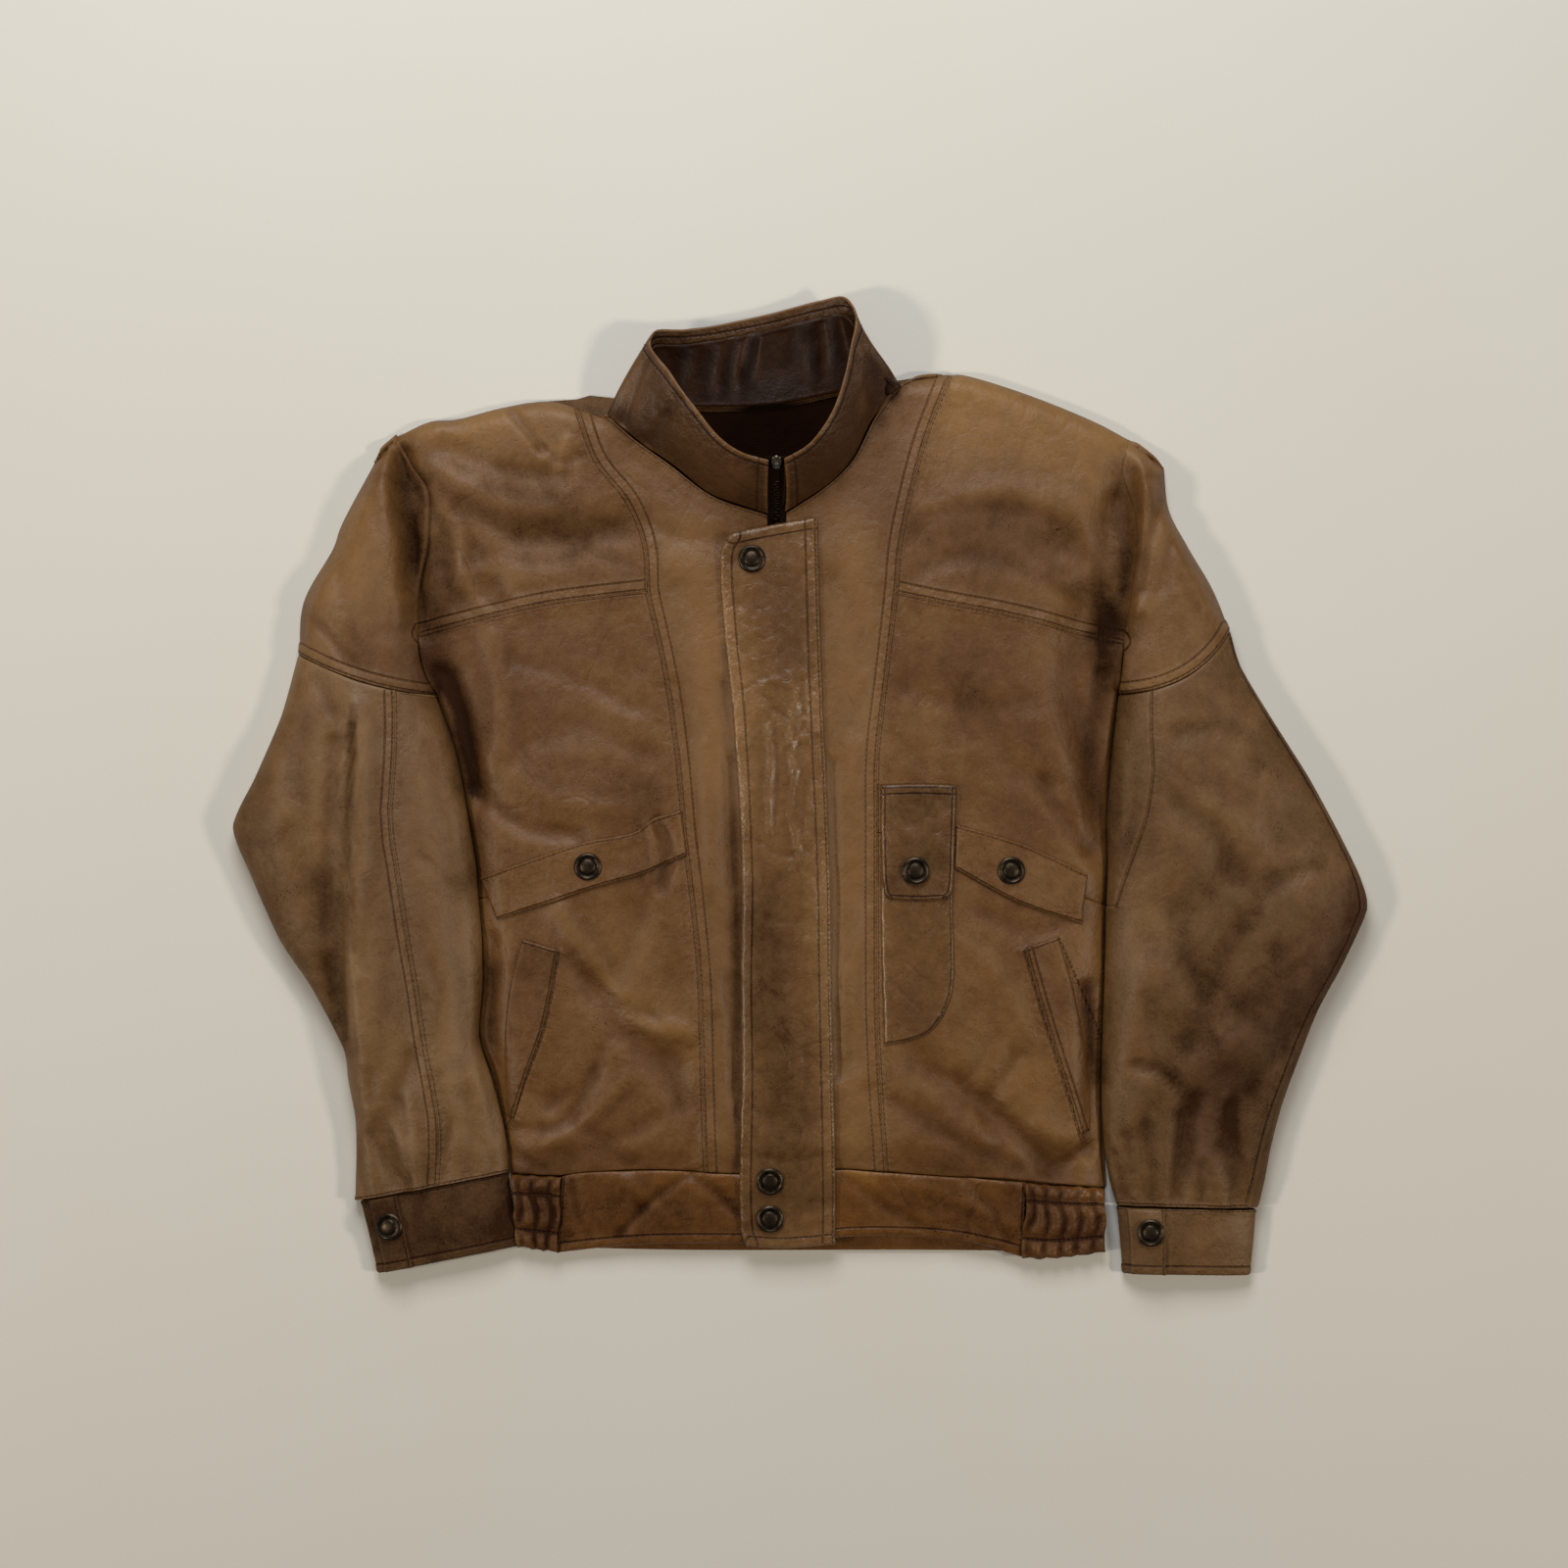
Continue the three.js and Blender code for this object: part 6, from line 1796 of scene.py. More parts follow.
@dataclass
class Sleeve(Shell):
    """One sleeve, from the dropped seam to the cuff."""

    hand: Hand = Hand.RIGHT

    def __post_init__(self) -> None:
        """Sets up the tube that the panels lie on."""
        self.tube = Tube(ARMS[self.hand], self.lie)
        self.last = len(ARMS[self.hand]) - 1.0

    def build(self) -> None:
        """Cuts the panels of this sleeve."""
        if self.hand is Hand.RIGHT:
            self.right()
        else:
            self.left()

    def panel(self, first: float, last: float, columns: Callable[[Array], Array]) -> Array:
        """Grid between two stations; the dropped seam is a little looser."""
        t = self.tube.rows(first, last)
        grid = self.tube.rings(t, columns(t))
        if first == 0:
            grid[0, :, 1] -= 0.5
        return grid

    @staticmethod
    def spread(low: Array, high: Array, count: int) -> Array:
        """Turns from one seam to another, for every row."""
        share = np.linspace(0, 1, count + 1)
        rim = np.array([0.006, 0.014, 0.03])
        share = np.unique(np.concatenate([share, rim, 1 - rim]))
        return low[:, None] * (1 - share) + high[:, None] * share

    def seam_path(self, turn: Callable[[Array], Array], first: float = 0, last: float | None = None):
        """Line of a seam along the top of the arm."""
        t = np.linspace(first, self.last if last is None else last, 60)
        return self.tube.rings(t, turn(t)[:, None])[:, 0]

    def cloth(self, name: str, grids: list, rows: list, tint: float = 0.0) -> None:
        """Makes one panel; the left sleeve has kept more of its dye than the right."""
        tint += -0.36 if self.hand is Hand.LEFT else 0.16
        piece = Cloth(
            f"{name}_{self.hand.value}", grids, SLEEVE, core=self.tube.core(), topstitches=rows, tint=tint,
            rests_on=(),
        )
        piece.build(self.thread)

    def right(self) -> None:
        """Two panels, joined along a triple-stitched seam on top."""
        seam = lambda t: 0.67 + (0.53 - 0.67) * t / self.last
        one, two, half = (lambda t, k=k: np.full(t.shape, k) for k in (1.0, 2.0, 1.5))
        top = self.seam_path(seam)
        cuff_end = self.tube.rings(np.array([self.last]), np.linspace(0, 1, 30)[None])[0]
        near = lambda t: joined(self.spread(seam(t), one(t), 22), self.spread(one(t), half(t), 20))
        back = lambda t: self.spread(half(t) - 2, two(t) - 2, 20)
        far = lambda t: joined(back(t), self.spread(two(t) - 2, seam(t), 34))
        grid = self.panel(0, self.last, near)
        self.cloth("sleeve_front", [grid], [Topstitch(top, (1.5,)), Topstitch(cuff_end, (1.6,), 1)])
        grid = self.panel(0, self.last, lambda t: np.where(far(t) < 0, far(t) + 2, far(t)))
        self.cloth("sleeve_back", [grid], [Topstitch(top, (1.5, 7.4)), Topstitch(cuff_end, (1.6,), 1)])

    def left(self) -> None:
        """Upper panel, underarm gusset and rear panel."""
        places = np.arange(GUSSET_ROW + 1.0)
        elbow = lambda t: np.where(
            t < GUSSET_ROW - 1,
            0.05,
            np.interp(t, [GUSSET_ROW - 1, GUSSET_ROW, self.last], [0.05, 0.06, 0.17]),
        )
        gusset = lambda t: np.interp(t, places, [0.72, 0.7, 0.7, 0.75, 0.84, 0.93])
        one, two, half = (lambda t, k=k: np.full(t.shape, k) for k in (1.0, 2.0, 1.5))
        under = lambda t: self.spread(one(t), half(t), 20)[:, 1:]
        side = lambda t: self.spread(gusset(t), one(t), 12)[:, 1:]
        main = lambda t: self.spread(elbow(t), gusset(t), 36)
        cuff_end = self.tube.rings(np.array([self.last]), np.linspace(0, 1, 30)[None])[0]
        gusset_path = self.seam_path(gusset, 0, GUSSET_ROW)
        elbow_path = self.seam_path(elbow)
        upper = self.panel(0, GUSSET_ROW, main)
        lower = self.panel(GUSSET_ROW, self.last, lambda t: np.hstack([main(t), side(t), under(t)]))
        self.cloth(
            "sleeve_top",
            [upper, lower],
            [Topstitch(gusset_path, (1.6,)), Topstitch(elbow_path, (1.6,)), Topstitch(cuff_end, (1.6,), 1)],
            0.05,
        )
        lone = self.panel(0, GUSSET_ROW, lambda t: np.hstack([self.spread(gusset(t), one(t), 12), under(t)]))
        self.cloth("sleeve_gusset", [lone], [])
        behind = lambda t: self.spread(half(t) - 2, two(t) - 2, 20)
        rear = lambda t: joined(behind(t), self.spread(two(t) - 2, elbow(t), 8))
        grid = self.panel(0, self.last, lambda t: np.where(rear(t) < 0, rear(t) + 2, rear(t)))
        self.cloth("sleeve_back", [grid], [])


@dataclass
class Cuff(Shell):
    """A folded band round the sleeve end, lapped and snapped."""

    hand: Hand = Hand.RIGHT
    lap: tuple = (0.12, 0.32)

    def build(self) -> None:
        """Makes the band and its lapped end."""
        tube = Tube(CUFFS[self.hand], self.lie)
        t = np.linspace(0, 2, 1 + round(2 / 0.075))
        t = np.unique(np.concatenate([t, [0.02, 0.05, 1.95, 1.98]]))
        turns = np.linspace(0, 2, 121)
        ring = tube.rings(t, np.tile(turns, (len(t), 1)), 0.55)
        ring[:, -1] = ring[:, 0]
        hem = tube.rings(np.array([2.0]), np.linspace(0, 1, 30)[None])[0]
        seam = tube.rings(np.array([0.0]), np.linspace(0, 1, 30)[None])[0]
        rows = [Topstitch(hem, (7.0,)), Topstitch(seam, (1.4,), 1)]
        band = Cloth(
            f"cuff_{self.hand.value}", [ring], SLEEVE, DOUBLE, core=tube.core(), topstitches=rows,
            turned=1.5, held=Held.FOLDED, rests_on=(), tint=-0.3 if self.hand is Hand.LEFT else -0.44,
        )
        band.build(self.thread, "band_leather")
        turns = np.linspace(*self.lap, 26)
        grid = tube.rings(t, np.tile(turns, (len(t), 1)), 0.55)
        grid[..., 2] += LAID_ON
        side = grid[:, -1] if self.hand is Hand.RIGHT else grid[:, 0]
        rows = [Topstitch(hem, (7.0,)), Topstitch(side, (2.0,), 1)]
        tab = Cloth(
            f"cuff_tab_{self.hand.value}", [grid], SLEEVE, DOUBLE, topstitches=rows, turned=1.7,
            held=Held.FOLDED, rests_on=(f"cuff_{self.hand.value}",),
            tint=-0.26 if self.hand is Hand.LEFT else -0.44,
        )
        tab.build(self.thread, "band_leather")


# ---- Collar ------------------------------------------------------------------------------------------


@dataclass
class Collar(Shell):
    """Stand collar: an outer band and a gathered facing, standing open in a tilted ring."""

    stations: tuple = (
        [[-25, 210], [-24, 249.5, 58]],
        [[-45, 214.5], [-45, 255.5, 61]],
        [[-67, 224.5], [-62.5, 267, 64]],
        [[-101, 249.5], [-83.5, 293, 63]],
        [[-127.5, 268.5], [-100.5, 318, 55]],
        [[-149, 286], [-115.5, 341.5, 36]],
        [[-140, 298.5, 2.5], [-112.5, 353, 28]],
        [[-115, 296, 2.5], [-88, 354.5, 21]],
        [[-23.5, 295.5, 2.5], [-29, 366.5, 12]],
        [[26, 305, 2.5], [16.5, 377.5, 17]],
        [[52.5, 310.5, 2.5], [35, 379.5, 25]],
        [[78.5, 311], [43.5, 368, 37]],
        [[72, 303.5], [41, 342.5, 52]],
        [[61.5, 290.5], [35.5, 315, 60]],
        [[51, 269.5], [27.5, 290, 64]],
        [[40.5, 252], [16.5, 271, 64]],
        [[20, 232], [4.5, 259, 61]],
        [[-10.5, 211.5], [-12, 250.5, 58]],
    )
    # soft standing folds at each side of the neck: place along, lean, depth and half width
    folds: tuple = (
        (0.20, -0.02, 2.6, 0.013),
        (0.262, 0.03, 3.2, 0.011),
        (0.287, 0.03, -2.4, 0.011),
        (0.32, 0.02, 2.8, 0.011),
        (0.66, -0.02, 3.2, 0.011),
        (0.69, -0.03, -3.2, 0.012),
        (0.715, -0.03, 4.2, 0.011),
        (0.75, -0.04, -2.6, 0.012),
        (0.79, -0.03, 2.2, 0.014),
    )
    columns: int = 300
    bulge: float = 3.0
    facing_gap: float = 1.7
    stitch_level: float = 0.885
    core: tuple = (-27.5, 306.0, 28.0)

    def build(self) -> None:
        """Shapes both bands."""
        levels = np.array([0.0, 0.012, 0.03, *np.linspace(0.06, 0.9, 18), 0.93, 0.96, 0.985, 1.0])
        outer = self.surface(levels)
        normals = self.directions(outer)
        rows = [Topstitch(outer[:, k], (8.0,), 1) for k in (0, -1)]
        outer = self.pressed(outer, normals)
        row = int(np.argmin(np.abs(levels - self.stitch_level)))
        rows.append(Topstitch(outer[row], (0.05,), sewn=False))
        piece = Cloth(
            "collar_outer", [outer], COLLAR, core=self.core, topstitches=rows, turned=0.9, turn_reach=2.6,
            allowance=0.0, held=Held.FOLDED,
            rests_on=("front_centre_right", "front_centre_left", "back_body"),
        )
        piece.build(self.thread)
        edge, out = outer[row, 4:-4], normals[row, 4:-4]
        self.thread.along(edge + out * 0.1, out)
        self.thread.along(edge - out * LEATHER, -out)
        self.facing()

    def surface(self, shares_up: Array) -> Array:
        """Outer face of the collar.

        Args:
            shares_up: Rows, from 0 at the neck seam to 1 at the top edge.

        Returns:
            Points as rows, columns, xyz.
        """
        lie = self.lie
        lows = points_of([s[0] for s in self.stations])
        ground = lows[:, 2] == 0
        lows[ground, 2] = lie.plain(lows[ground, 0], lows[ground, 1])
        spread = np.linspace(0, 1, self.columns + 1)
        low = at(curve(lows), spread)
        high = at(curve([s[1] for s in self.stations]), spread)
        high_edge = high.copy()
        for hand in Hand:
            line = self.seams.neck[hand]
            line = np.column_stack([line[:, :2], lie.front(line[:, 0], line[:, 1])])
            for k in np.flatnonzero((low[:, 2] >= 6) & ((low[:, 0] < -17.5) == (hand is Hand.RIGHT))):
                place = self.nearest(line, low[k])
                inwards = np.array(self.core) - place
                inwards[2] = 0
                low[k] = place + inwards / np.linalg.norm(inwards) * 0.6
        along = np.gradient(low, axis=0)
        up = high_edge - low
        out = np.cross(up, along)
        out /= np.linalg.norm(out, axis=1, keepdims=True)
        flip = ((low + high_edge) / 2 - np.array(self.core)) * out
        out[flip.sum(axis=1) < 0] *= -1
        out = eased(out, 27)
        v = shares_up[:, None, None]
        return low[None] + up[None] * v + out[None] * (self.bulge * np.sin(np.pi * v))

    @staticmethod
    def nearest(line: Array, spot: Array) -> Array:
        """Nearest place on a chain of points, by its place in plan."""
        a, b = line[:-1], line[1:]
        step = b[:, :2] - a[:, :2]
        run = ((spot[:2] - a[:, :2]) * step).sum(axis=1)
        t = np.clip(run / np.maximum((step**2).sum(axis=1), 1e-9), 0, 1)
        places = a + (b - a) * t[:, None]
        return places[np.argmin(np.linalg.norm(places[:, :2] - spot[:2], axis=1))]

    def directions(self, grid: Array) -> Array:
        """Smoothed direction out of the collar at each point."""
        normal = np.cross(np.gradient(grid, axis=1), np.gradient(grid, axis=0))
        normal /= np.maximum(np.linalg.norm(normal, axis=2, keepdims=True), 1e-9)
        if ((grid - np.array(self.core)) * normal).sum() < 0:
            normal = -normal
        smooth = np.stack([eased(row, 23) for row in normal])
        return smooth / np.linalg.norm(smooth, axis=2, keepdims=True)

    def pressed(self, grid: Array, normals: Array) -> Array:
        """Presses the collar's own folds into it, along its outward directions."""
        rows, columns = grid.shape[:2]
        u, v = np.linspace(0, 1, columns)[None], np.linspace(0, 1, rows)[:, None]
        lost = 0.9 * value_noise(u * 620 + 0 * v, v * 60 + 0 * u, 30, 51)
        for place, lean, depth, width in self.folds:
            away = (u - place - lean * (v - 0.3)) / width
            lost = lost + depth * np.exp(-(away**2)) * np.sin(np.pi * np.clip(v * 1.05, 0, 1)) ** 0.7
        return grid - normals * lost[..., None]

    def facing(self) -> None:
        """Gathered inner band, set just inside the outer one."""
        rows = np.linspace(0.02, self.stitch_level - 0.05, 24)
        inner = self.surface(rows)
        out = self.directions(inner)
        u, v = np.linspace(0, 1, inner.shape[1])[None], np.linspace(0, 1, inner.shape[0])[:, None]
        drift = value_noise(u * 700 + 0 * v, v * 30 + 0 * u, 60, 61)
        gathers = np.sin(u * 2 * np.pi * 21 + 4.4 * drift + 2.6 * v)
        gathers = gathers * (0.55 + 0.6 * value_noise(u * 700 + 0 * v, v * 40 + 0 * u, 30, 62))
        # deepest just under the stitched top, and pulled flat again at the neck
        depth = 3.0 * gathers * smooth_step((1 - v) / 0.08) * smooth_step(v / 0.6)
        inset = LEATHER + self.facing_gap + np.maximum(0, depth + 1.2)
        grid = inner - out * inset[..., None]
        # deeper painted shade between the gathers
        piece = Cloth(
            "collar_facing", [grid], FACING, INNER, core=self.core, turned=0.5, allowance=0.0,
            held=Held.GATHERED, cavity_shade=0.55,
            rests_on=("collar_outer",),
        )
        piece.build(self.thread, "dark_leather")


# ---- Pieces sewn on top of the fronts ----------------------------------------------------------------


@dataclass
class SewnOn(Shell):
    """Storm flap, pocket welts and the pen pocket."""

    buckle_share: float = 1.35

    def build(self) -> None:
        """Lays every piece on the fronts."""
        self.storm_flap()
        self.chest_welts()
        self.pen_pocket()
        self.hand_welts()

    def piece(
        self, name: str, borders: tuple, finish: Hide, rows: list, on: tuple, level: float = 1.0,
        under: Height | None = None, cell: float = 2.2, tint: float = 0.0, ruffle: float = 0.0,
    ) -> None:
        """Folds one piece and lays it on what is below.

        Args:
            name: The solid that it stands for.
            borders: Its bottom, top, start and end lines in plan.
            finish: Its leather.
            rows: Its topstitching.
            on: The solids that it rests on.
            level: How many folded pieces lie below its face.
            under: Height that it lies on.
            cell: Size of a mesh cell.
            tint: Change of tone.
            ruffle: Depth of its own small creases.
        """
        grid = fill(*borders, cell)
        lifted = raised(grid, under or self.lie.surface, level * LAID_ON + 0.5)
        x, y = lifted[..., 0], lifted[..., 1]
        lifted[..., 2] += ruffle * (value_noise(x, y, 7, 71) + 0.7 * value_noise(x, y * 0.6, 4, 72))
        cloth = Cloth(
            name, [lifted], finish, DOUBLE, topstitches=rows, turned=1.5, turn_reach=3.0, allowance=0.15,
            held=Held.FOLDED, rests_on=on, tint=tint,
        )
        cloth.build(self.thread, "glazed_leather")

    def storm_flap(self) -> None:
        """Storm flap over the zip, fixed along the wearer's left and snapped along the right."""
        bottom = plan(-41, -357, -12, -358.5, 27.5, -355.5)
        top = plan(-54, 195.5, -36.5, 199.5, -12, 204, 13.5, 208.5)
        start = plan(
            -41, -357, -45, -349, -45.5, -226, -46.5, -150, -45.5, -74,
            -51.5, 55, -58.5, 123.5, -60.5, 184.5, -54, 195.5,
        )
        end = plan(27.5, -355.5, 27.5, -302, 24.5, -150, 23.5, -74, 16.5, 94, 13.5, 208.5)
        rows = [
            Topstitch(start, (9.0,)),
            Topstitch(end, (1.8, 9.6)),
            Topstitch(bottom, (7.6,), 1),
            Topstitch(top, (8.6,), 1),
        ]
        below = ("front_centre_right", "front_centre_left", "waistband_right", "waistband_left")
        borders = (bottom, top, start, end)
        self.piece("storm_flap", borders, GLAZED, rows, below, under=self.buckled, cell=2.0, ruffle=0.3)

    def buckled(self, x: Array, y: Array) -> Array:
        """Height under the storm flap, with the flap's own creases."""
        return self.lie.bridged(x, y) - self.buckle_share * total(FLAP_CREASES, x, y)

    def chest_welts(self) -> None:
        """Chest pocket welts, slanting up towards the zip."""
        bottom = plan(-235, -103.5, -198.5, -91.5, -154.5, -77, -121, -67.5, -87.5, -53)
        top = plan(-249.5, -71, -203.5, -55, -170, -43.5, -126, -34.5, -117, -27, -92, -18.5)
        start, end = plan(-235, -103.5, -249.5, -71), plan(-87.5, -53, -92, -18.5)
        rows = [Topstitch(top, (2.2,)), Topstitch(bottom, (1.4,), 1)]
        borders, below = (bottom, top, start, end), ("front_chest_right", "front_lower_right")
        self.piece("chest_welt_right", borders, BROWN, rows, below, tint=0.12, ruffle=0.18)
        bottom = plan(120, -63.5, 172.5, -91.5, 219, -106)
        top = plan(121, -29.5, 172.5, -44.5, 223.5, -68)
        start, end = plan(120, -63.5, 121, -29.5), plan(219, -106, 223.5, -68)
        rows = [Topstitch(top, (2.2,)), Topstitch(bottom, (1.4,), 1)]
        borders, below = (bottom, top, start, end), ("front_chest_left", "front_lower_left")
        self.piece("chest_welt_left", borders, BROWN, rows, below, tint=0.05, ruffle=0.18)

    def pen_pocket(self) -> None:
        """Pen pocket: a long patch with a rounded lower corner, closed by a snapped tab."""
        bottom = plan(65.5, -200.5, 85, -197, 100.5, -190.5, 111, -177.5)
        top = plan(63, -4, 119.5, -2.5)
        start = plan(65.5, -200.5, 63, -104.5, 63, -4)
        end = plan(111, -177.5, 118, -157.5, 118.5, -97, 119.5, -2.5)
        rows = [Topstitch(end, (1.8,)), Topstitch(bottom, (1.8,), 1)]
        borders, below = (bottom, top, start, end), ("front_chest_left", "front_lower_left")
        self.piece("pen_patch_left", borders, GLAZED, rows, below, 0.55, tint=-0.28, ruffle=0.2)
        bottom = plan(69, -87, 90.5, -88, 112.5, -87)
        top = plan(63, 1, 91, 2, 121, 1)
        start = plan(69, -87, 65.5, -82.5, 63, -43.5, 63, 1)
        end = plan(112.5, -87, 117, -82.5, 119.5, -43.5, 121, 1)
        rows = [
            Topstitch(start, (2.8,)),
            Topstitch(end, (2.8,)),
            Topstitch(bottom, (2.8,), 1),
            Topstitch(top, (2.4, 7.4), 1),
        ]
        borders, below = (bottom, top, start, end), ("pen_patch_left",)
        self.piece("pen_tab_left", borders, GLAZED, rows, below, 1.55, cell=1.8, tint=-0.4, ruffle=0.3)

    def hand_welts(self) -> None:
        """Slanted hand pocket welts."""
        bottom, top = plan(-228, -256.5, -223.5, -258), plan(-215, -118, -187, -126.5)
        start = plan(-228, -256.5, -229.5, -203.5, -225, -157.5, -215, -118)
        end = plan(-223.5, -258, -210, -218.5, -198.5, -186, -187, -126.5)
        rows = [Topstitch(end, (1.6,)), Topstitch(top, (2.6,), 1)]
        borders, below = (bottom, top, start, end), ("front_lower_right",)
        self.piece("hand_welt_right", borders, BROWN, rows, below, tint=-0.12, ruffle=0.24)
        bottom, top = plan(219, -270, 226.5, -267), plan(174, -125, 200, -116)
        start = plan(219, -270, 190, -180.5, 174, -125)
        end = plan(226.5, -267, 225.5, -226, 218, -180.5, 200, -116)
        rows = [Topstitch(start, (1.6, 5.8)), Topstitch(top, (2.6,), 1)]
        borders, below = (bottom, top, start, end), ("front_lower_left",)
        self.piece("hand_welt_left", borders, BROWN, rows, below, tint=-0.05, ruffle=0.24)


# ---- Hardware ----------------------------------------------------------------------------------------


def start_solid() -> None:
    """Leaves nothing selected before a new solid is modelled."""
    if bpy.context.object and bpy.context.object.mode != "OBJECT":
        bpy.ops.object.mode_set(mode="OBJECT")
    bpy.ops.object.select_all(action="DESELECT")


@dataclass
class Snaps:
    """Ring-topped snap caps: a rolled rim, a dished ring, a ribbed step and a low dome."""

    radius: float = 10.6
    skirt: float = 1.7
    sunk: float = 1.2
    # how far in from the last ring, and how far up
    steps: tuple = (
        (0.9, 0.75), (0.7, 0.25), (0.8, -0.55), (1.9, -0.15),
        (0.5, 0.7), (0.8, 0.28), (1.7, 0.42), (1.6, 0.2),
    )
    names: tuple = (
        "snap_flap_top", "snap_flap_waist", "snap_flap_hem", "snap_pen_tab",
        "snap_chest_right", "snap_chest_left", "snap_cuff_right", "snap_cuff_left",
    )

    def build(self) -> None:
        """Models one cap and sets a copy on every place."""
        pattern = self.cap()
        for name in self.names:
            place, axis = self.place(bpy.data.objects[name])
            turn = Vector((0, 0, 1)).rotation_difference(axis).to_matrix().to_4x4()
            mesh = pattern.data.copy()
            mesh.transform(Matrix.Translation(place) @ turn)
            piece = bpy.data.objects.new(f"{name}_cap", mesh)
            bpy.context.scene.collection.objects.link(piece)
            settle(piece, name)
        bpy.data.objects.remove(pattern)

    def cap(self) -> bpy.types.Object:
        """Presses one cap from a disc."""
        start_solid()
        bpy.ops.mesh.primitive_circle_add(
            vertices=56, radius=self.radius * MM, fill_type="NGON", location=(0, 0, -self.sunk * MM)
        )
        cap = bpy.context.object
        bpy.ops.object.mode_set(mode="EDIT")
        bpy.ops.mesh.select_all(action="SELECT")
        bpy.ops.mesh.extrude_region_move(TRANSFORM_OT_translate={"value": (0, 0, self.skirt * MM)})
        for inset, rise in self.steps:
            bpy.ops.mesh.inset(thickness=inset * MM, depth=0.0)
            bpy.ops.transform.translate(value=(0, 0, rise * MM))
        bpy.ops.mesh.select_all(action="SELECT")
        bpy.ops.mesh.normals_make_consistent(inside=False)
        bpy.ops.object.mode_set(mode="OBJECT")
        bpy.ops.object.shade_smooth_by_angle(angle=math.radians(38))
        bpy.ops.object.transform_apply(location=True, rotation=True, scale=True)
        high = np.array([v.co.z for v in cap.data.vertices])
        away = np.array([math.hypot(v.co.x, v.co.y) for v in cap.data.vertices]) / (self.radius * MM)
        store(cap, "worn", np.clip((high - 0.0008) / 0.0022, 0, 1) * 0.8 + 0.3 * (away > 0.86))
        cap.data.materials.append(BRONZE.material())
        return cap

    @staticmethod
    def place(solid: bpy.types.Object) -> tuple:
        """Base centre and direction of a cap's solid, found from its flat shape.

        Args:
            solid: The solid that the cap stands for.

        Returns:
            The place in metres and the direction out of the cloth.
        """
        points = np.array([v.co for v in solid.data.vertices])
        middle = points.mean(axis=0)
        axis = np.linalg.svd(points - middle)[2][2]
        axis = axis if axis[2] > 0 else -axis
        low = ((points - middle) @ axis).min()
        return Vector(middle + axis * low), Vector(axis)


@dataclass
class Zip(Shell):
    """Two tapes and two rows of interlocked teeth, up the front and the collar."""

    under: float = 5.2
    tape_half: float = 9.0
    teeth_half: float = 2.6
    pitch: float = 2.5
    places: tuple = (
        (-9, -349, 1), (-9.5, -304.5, 2), (-10, -264, 3), (-10.5, -150, 0), (-14.5, 2, 0),
        (-17.5, 123.5, 0), (-18, 184.5, 0), (-18, 205, 2.5),
    )
    slope: tuple = ((-18, 230, 38), (-18, 249.5, 55))

    def build(self) -> None:
        """Makes the tapes, the teeth and the finish of the slider and its tab."""
        path = self.path()
        strip = lambda low, high: self.strip(path, np.linspace(low, high, 6), self.under)
        outer, inner = self.tape_half, self.teeth_half
        for hand, low, high in ((Hand.RIGHT, -outer, -inner), (Hand.LEFT, inner, outer)):
            tape = Cloth(
                f"zip_tape_{hand.value}", [strip(low, high)], TAPE, 1.0, turned=0.0, allowance=0.0,
                rests_on=(f"front_centre_{hand.value}",),
            )
            tape.build(self.thread, "tape_cloth")
        self.teeth(path)
        for name in ("zip_slider", "zip_pull_tab"):
            solid = bpy.data.objects[name]
            solid.data.materials.clear()
            solid.data.materials.append(NICKEL.material())

    def path(self) -> Array:
        """Middle line of the zip."""
        x, y, drop = (np.array([p[k] for p in self.places]) for k in range(3))
        lie = self.lie
        plain = lie.plain(x, y)
        turn = roll(distance_to(lie.hem, x, y) + lie.hem_stand, lie.hem_roll)
        band = BAND_EDGE + (plain - EDGE) * turn
        height = np.where(y < -300, np.maximum(plain, band), plain) - drop
        line = curve([*np.column_stack([x, y, height]).tolist(), *self.slope])
        return at(line, np.linspace(0, 1, 200))

    def frames(self, path: Array) -> tuple:
        """Directions along and out of the zip."""
        along = np.gradient(path, axis=0)
        along /= np.linalg.norm(along, axis=1, keepdims=True)
        out = np.cross(np.array([1.0, 0, 0]), along)
        return along, out / np.linalg.norm(out, axis=1, keepdims=True)

    def strip(self, path: Array, across: Array, under: float) -> Array:
        """Grid of a strip along the zip."""
        _, out = self.frames(path)
        base = path - out * under
        return base[:, None] + np.stack([across, 0 * across, 0 * across], axis=1)[None]

    def teeth(self, path: Array) -> None:
        """Models one tooth and sets it along both tapes, right and left by turns."""
        start_solid()
        bpy.ops.mesh.primitive_cube_add(size=1.0, location=(0, 0, 0))
        bpy.ops.object.mode_set(mode="EDIT")
        bpy.ops.mesh.select_all(action="SELECT")
        bpy.ops.transform.resize(value=(3.6, 1.15, 1.9))
        bpy.ops.mesh.bevel(offset=0.28, segments=2, affect="EDGES")
        bpy.ops.object.mode_set(mode="OBJECT")
        tooth = bpy.context.object
        corners = np.array([v.co for v in tooth.data.vertices])
        loops = [list(p.vertices) for p in tooth.data.polygons]
        bpy.data.objects.remove(tooth)
        number = int(length_of(path) / self.pitch)
        spots = at(path, np.linspace(0.002, 0.962, number))
        along, out = self.frames(spots)
        points, faces = [], []
        for k, (spot, ahead, up) in enumerate(zip(spots, along, out)):
            aside = np.array([1.0, 0, 0]) * (0.75 if k % 2 else -0.75)
            middle = spot - up * (self.under - 0.5) + aside
            points.append(middle + corners @ np.array([(1.0, 0, 0), ahead, up]))
            faces += [[i + k * len(corners) for i in loop] for loop in loops]
        piece = write_mesh("zip_teeth_row", np.vstack(points), faces, TOOTH.material())
        store(piece, "worn", np.full(len(piece.data.vertices), 0.3))
        settle(piece, "zip_teeth")


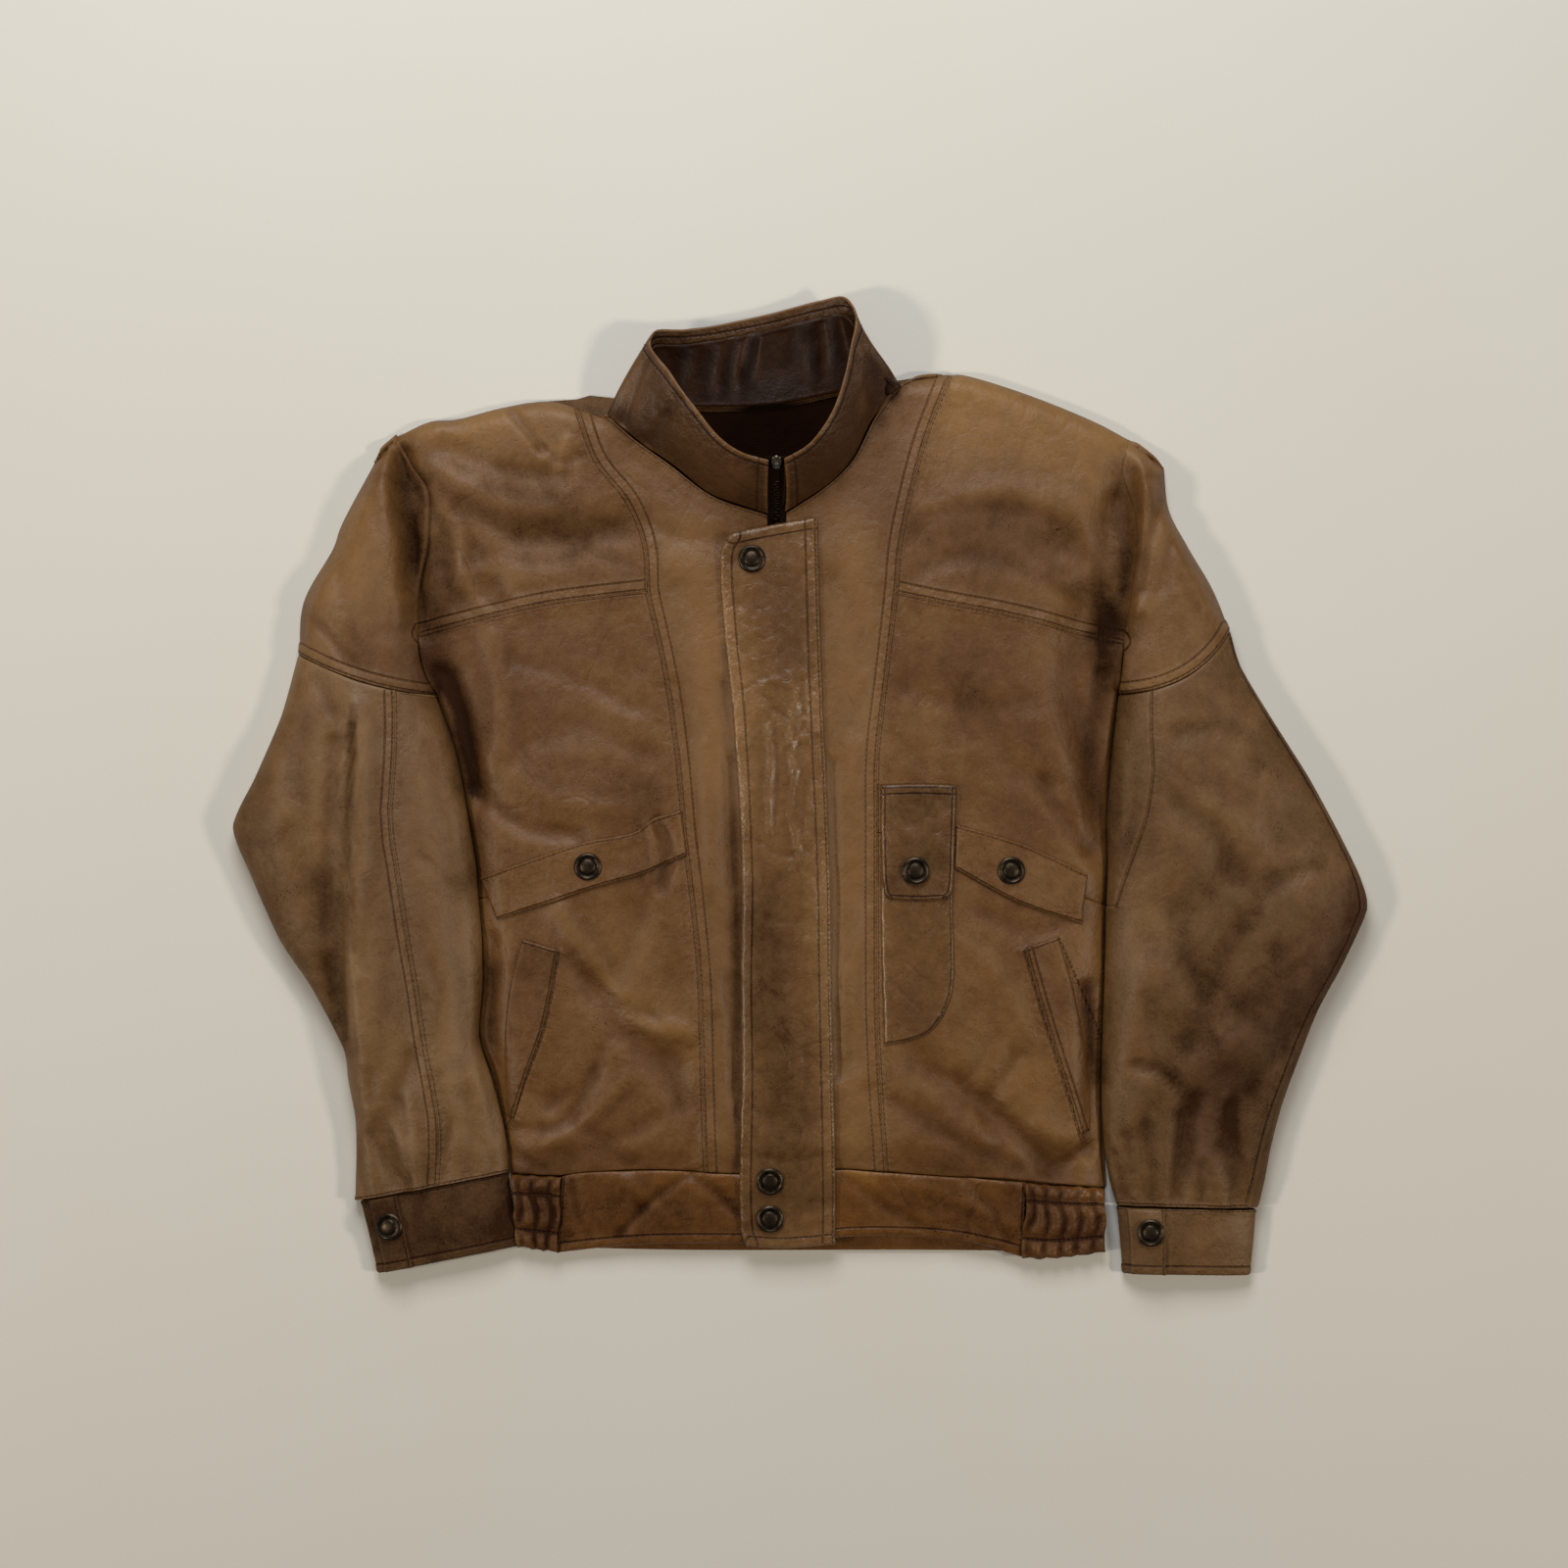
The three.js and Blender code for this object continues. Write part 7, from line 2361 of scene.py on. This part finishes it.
# ---- Studio ------------------------------------------------------------------------------------------


@dataclass
class Studio:
    """Pale painted board, two soft lamps at the sides, a broad soft fill and an overhead camera."""

    frame_width: float = 1.216
    centre: tuple = (-0.0122, 0.0019)
    lens: float = 85.0
    sensor: float = 36.0
    level: float = 0.02

    def build(self) -> None:
        """Sets the board, the lamps and the camera."""
        start_solid()
        bpy.ops.mesh.primitive_plane_add(size=7.0, location=(0, 0, -0.0003))
        board = bpy.context.object
        board.name = "board"
        board.data.materials.append(BOARD.material())
        self.lamp("lamp_right", (-2.3, -0.5, 2.05), 0.36, 27.0, "#fff3e2")
        self.lamp("lamp_left", (2.25, -0.45, 2.1), 0.36, 27.0, "#fff3e2")
        self.lamp("window", (-0.25, 1.85, 1.7), 1.3, 42.5, "#fafcff")
        self.world()
        self.camera()

    def lamp(self, name: str, place: tuple, size: float, watts: float, colour: str) -> None:
        """Adds a square soft lamp that faces the jacket."""
        data = bpy.data.lights.new(name, "AREA")
        data.size = size
        data.energy = watts
        data.color = to_linear(colour)[:3]
        lamp = bpy.data.objects.new(name, data)
        lamp.location = place
        lamp.rotation_euler = (Vector((0, 0.05, 0)) - Vector(place)).to_track_quat("-Z", "Y").to_euler()
        bpy.context.scene.collection.objects.link(lamp)

    def world(self) -> None:
        """Even pale surroundings."""
        world = bpy.data.worlds.new("surroundings")
        world.use_nodes = True
        background = world.node_tree.nodes["Background"]
        background.inputs["Color"].default_value = to_linear("#e9e8e4")
        background.inputs["Strength"].default_value = 0.09
        bpy.context.scene.world = world
        bpy.context.scene.view_settings.view_transform = "Standard"

    def camera(self) -> None:
        """Looks straight down on the jacket."""
        data = bpy.data.cameras.new("camera")
        data.lens, data.sensor_width = self.lens, self.sensor
        data.dof.use_dof = False
        camera = bpy.data.objects.new("camera", data)
        height = self.frame_width * self.lens / self.sensor + self.level
        camera.location = (*self.centre, height)
        bpy.context.scene.collection.objects.link(camera)
        bpy.context.scene.camera = camera


def main() -> None:
    """Loads the frame, sews the jacket and sets it in the studio."""
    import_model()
    Studio().build()
    seams = SeamLines.drawn()
    shell = {"seams": seams, "lie": Lie(seams), "thread": Stitcher()}
    Fronts(**shell).build()
    Back(**shell).build()
    Waistband(**shell).build()
    shell["thread"].finish("stitching_fronts", THREAD)
    for hand, lap in ((Hand.RIGHT, (0.12, 0.32)), (Hand.LEFT, (0.62, 0.88))):
        Sleeve(**shell, hand=hand).build()
        Cuff(**shell, hand=hand, lap=lap).build()
    shell["thread"].finish("stitching_sleeves", THREAD)
    Collar(**shell).build()
    SewnOn(**shell).build()
    Zip(**shell).build()
    shell["thread"].finish("stitching_collar_and_pockets", THREAD)
    Snaps().build()
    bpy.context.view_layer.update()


if __name__ == "__main__":
    main()
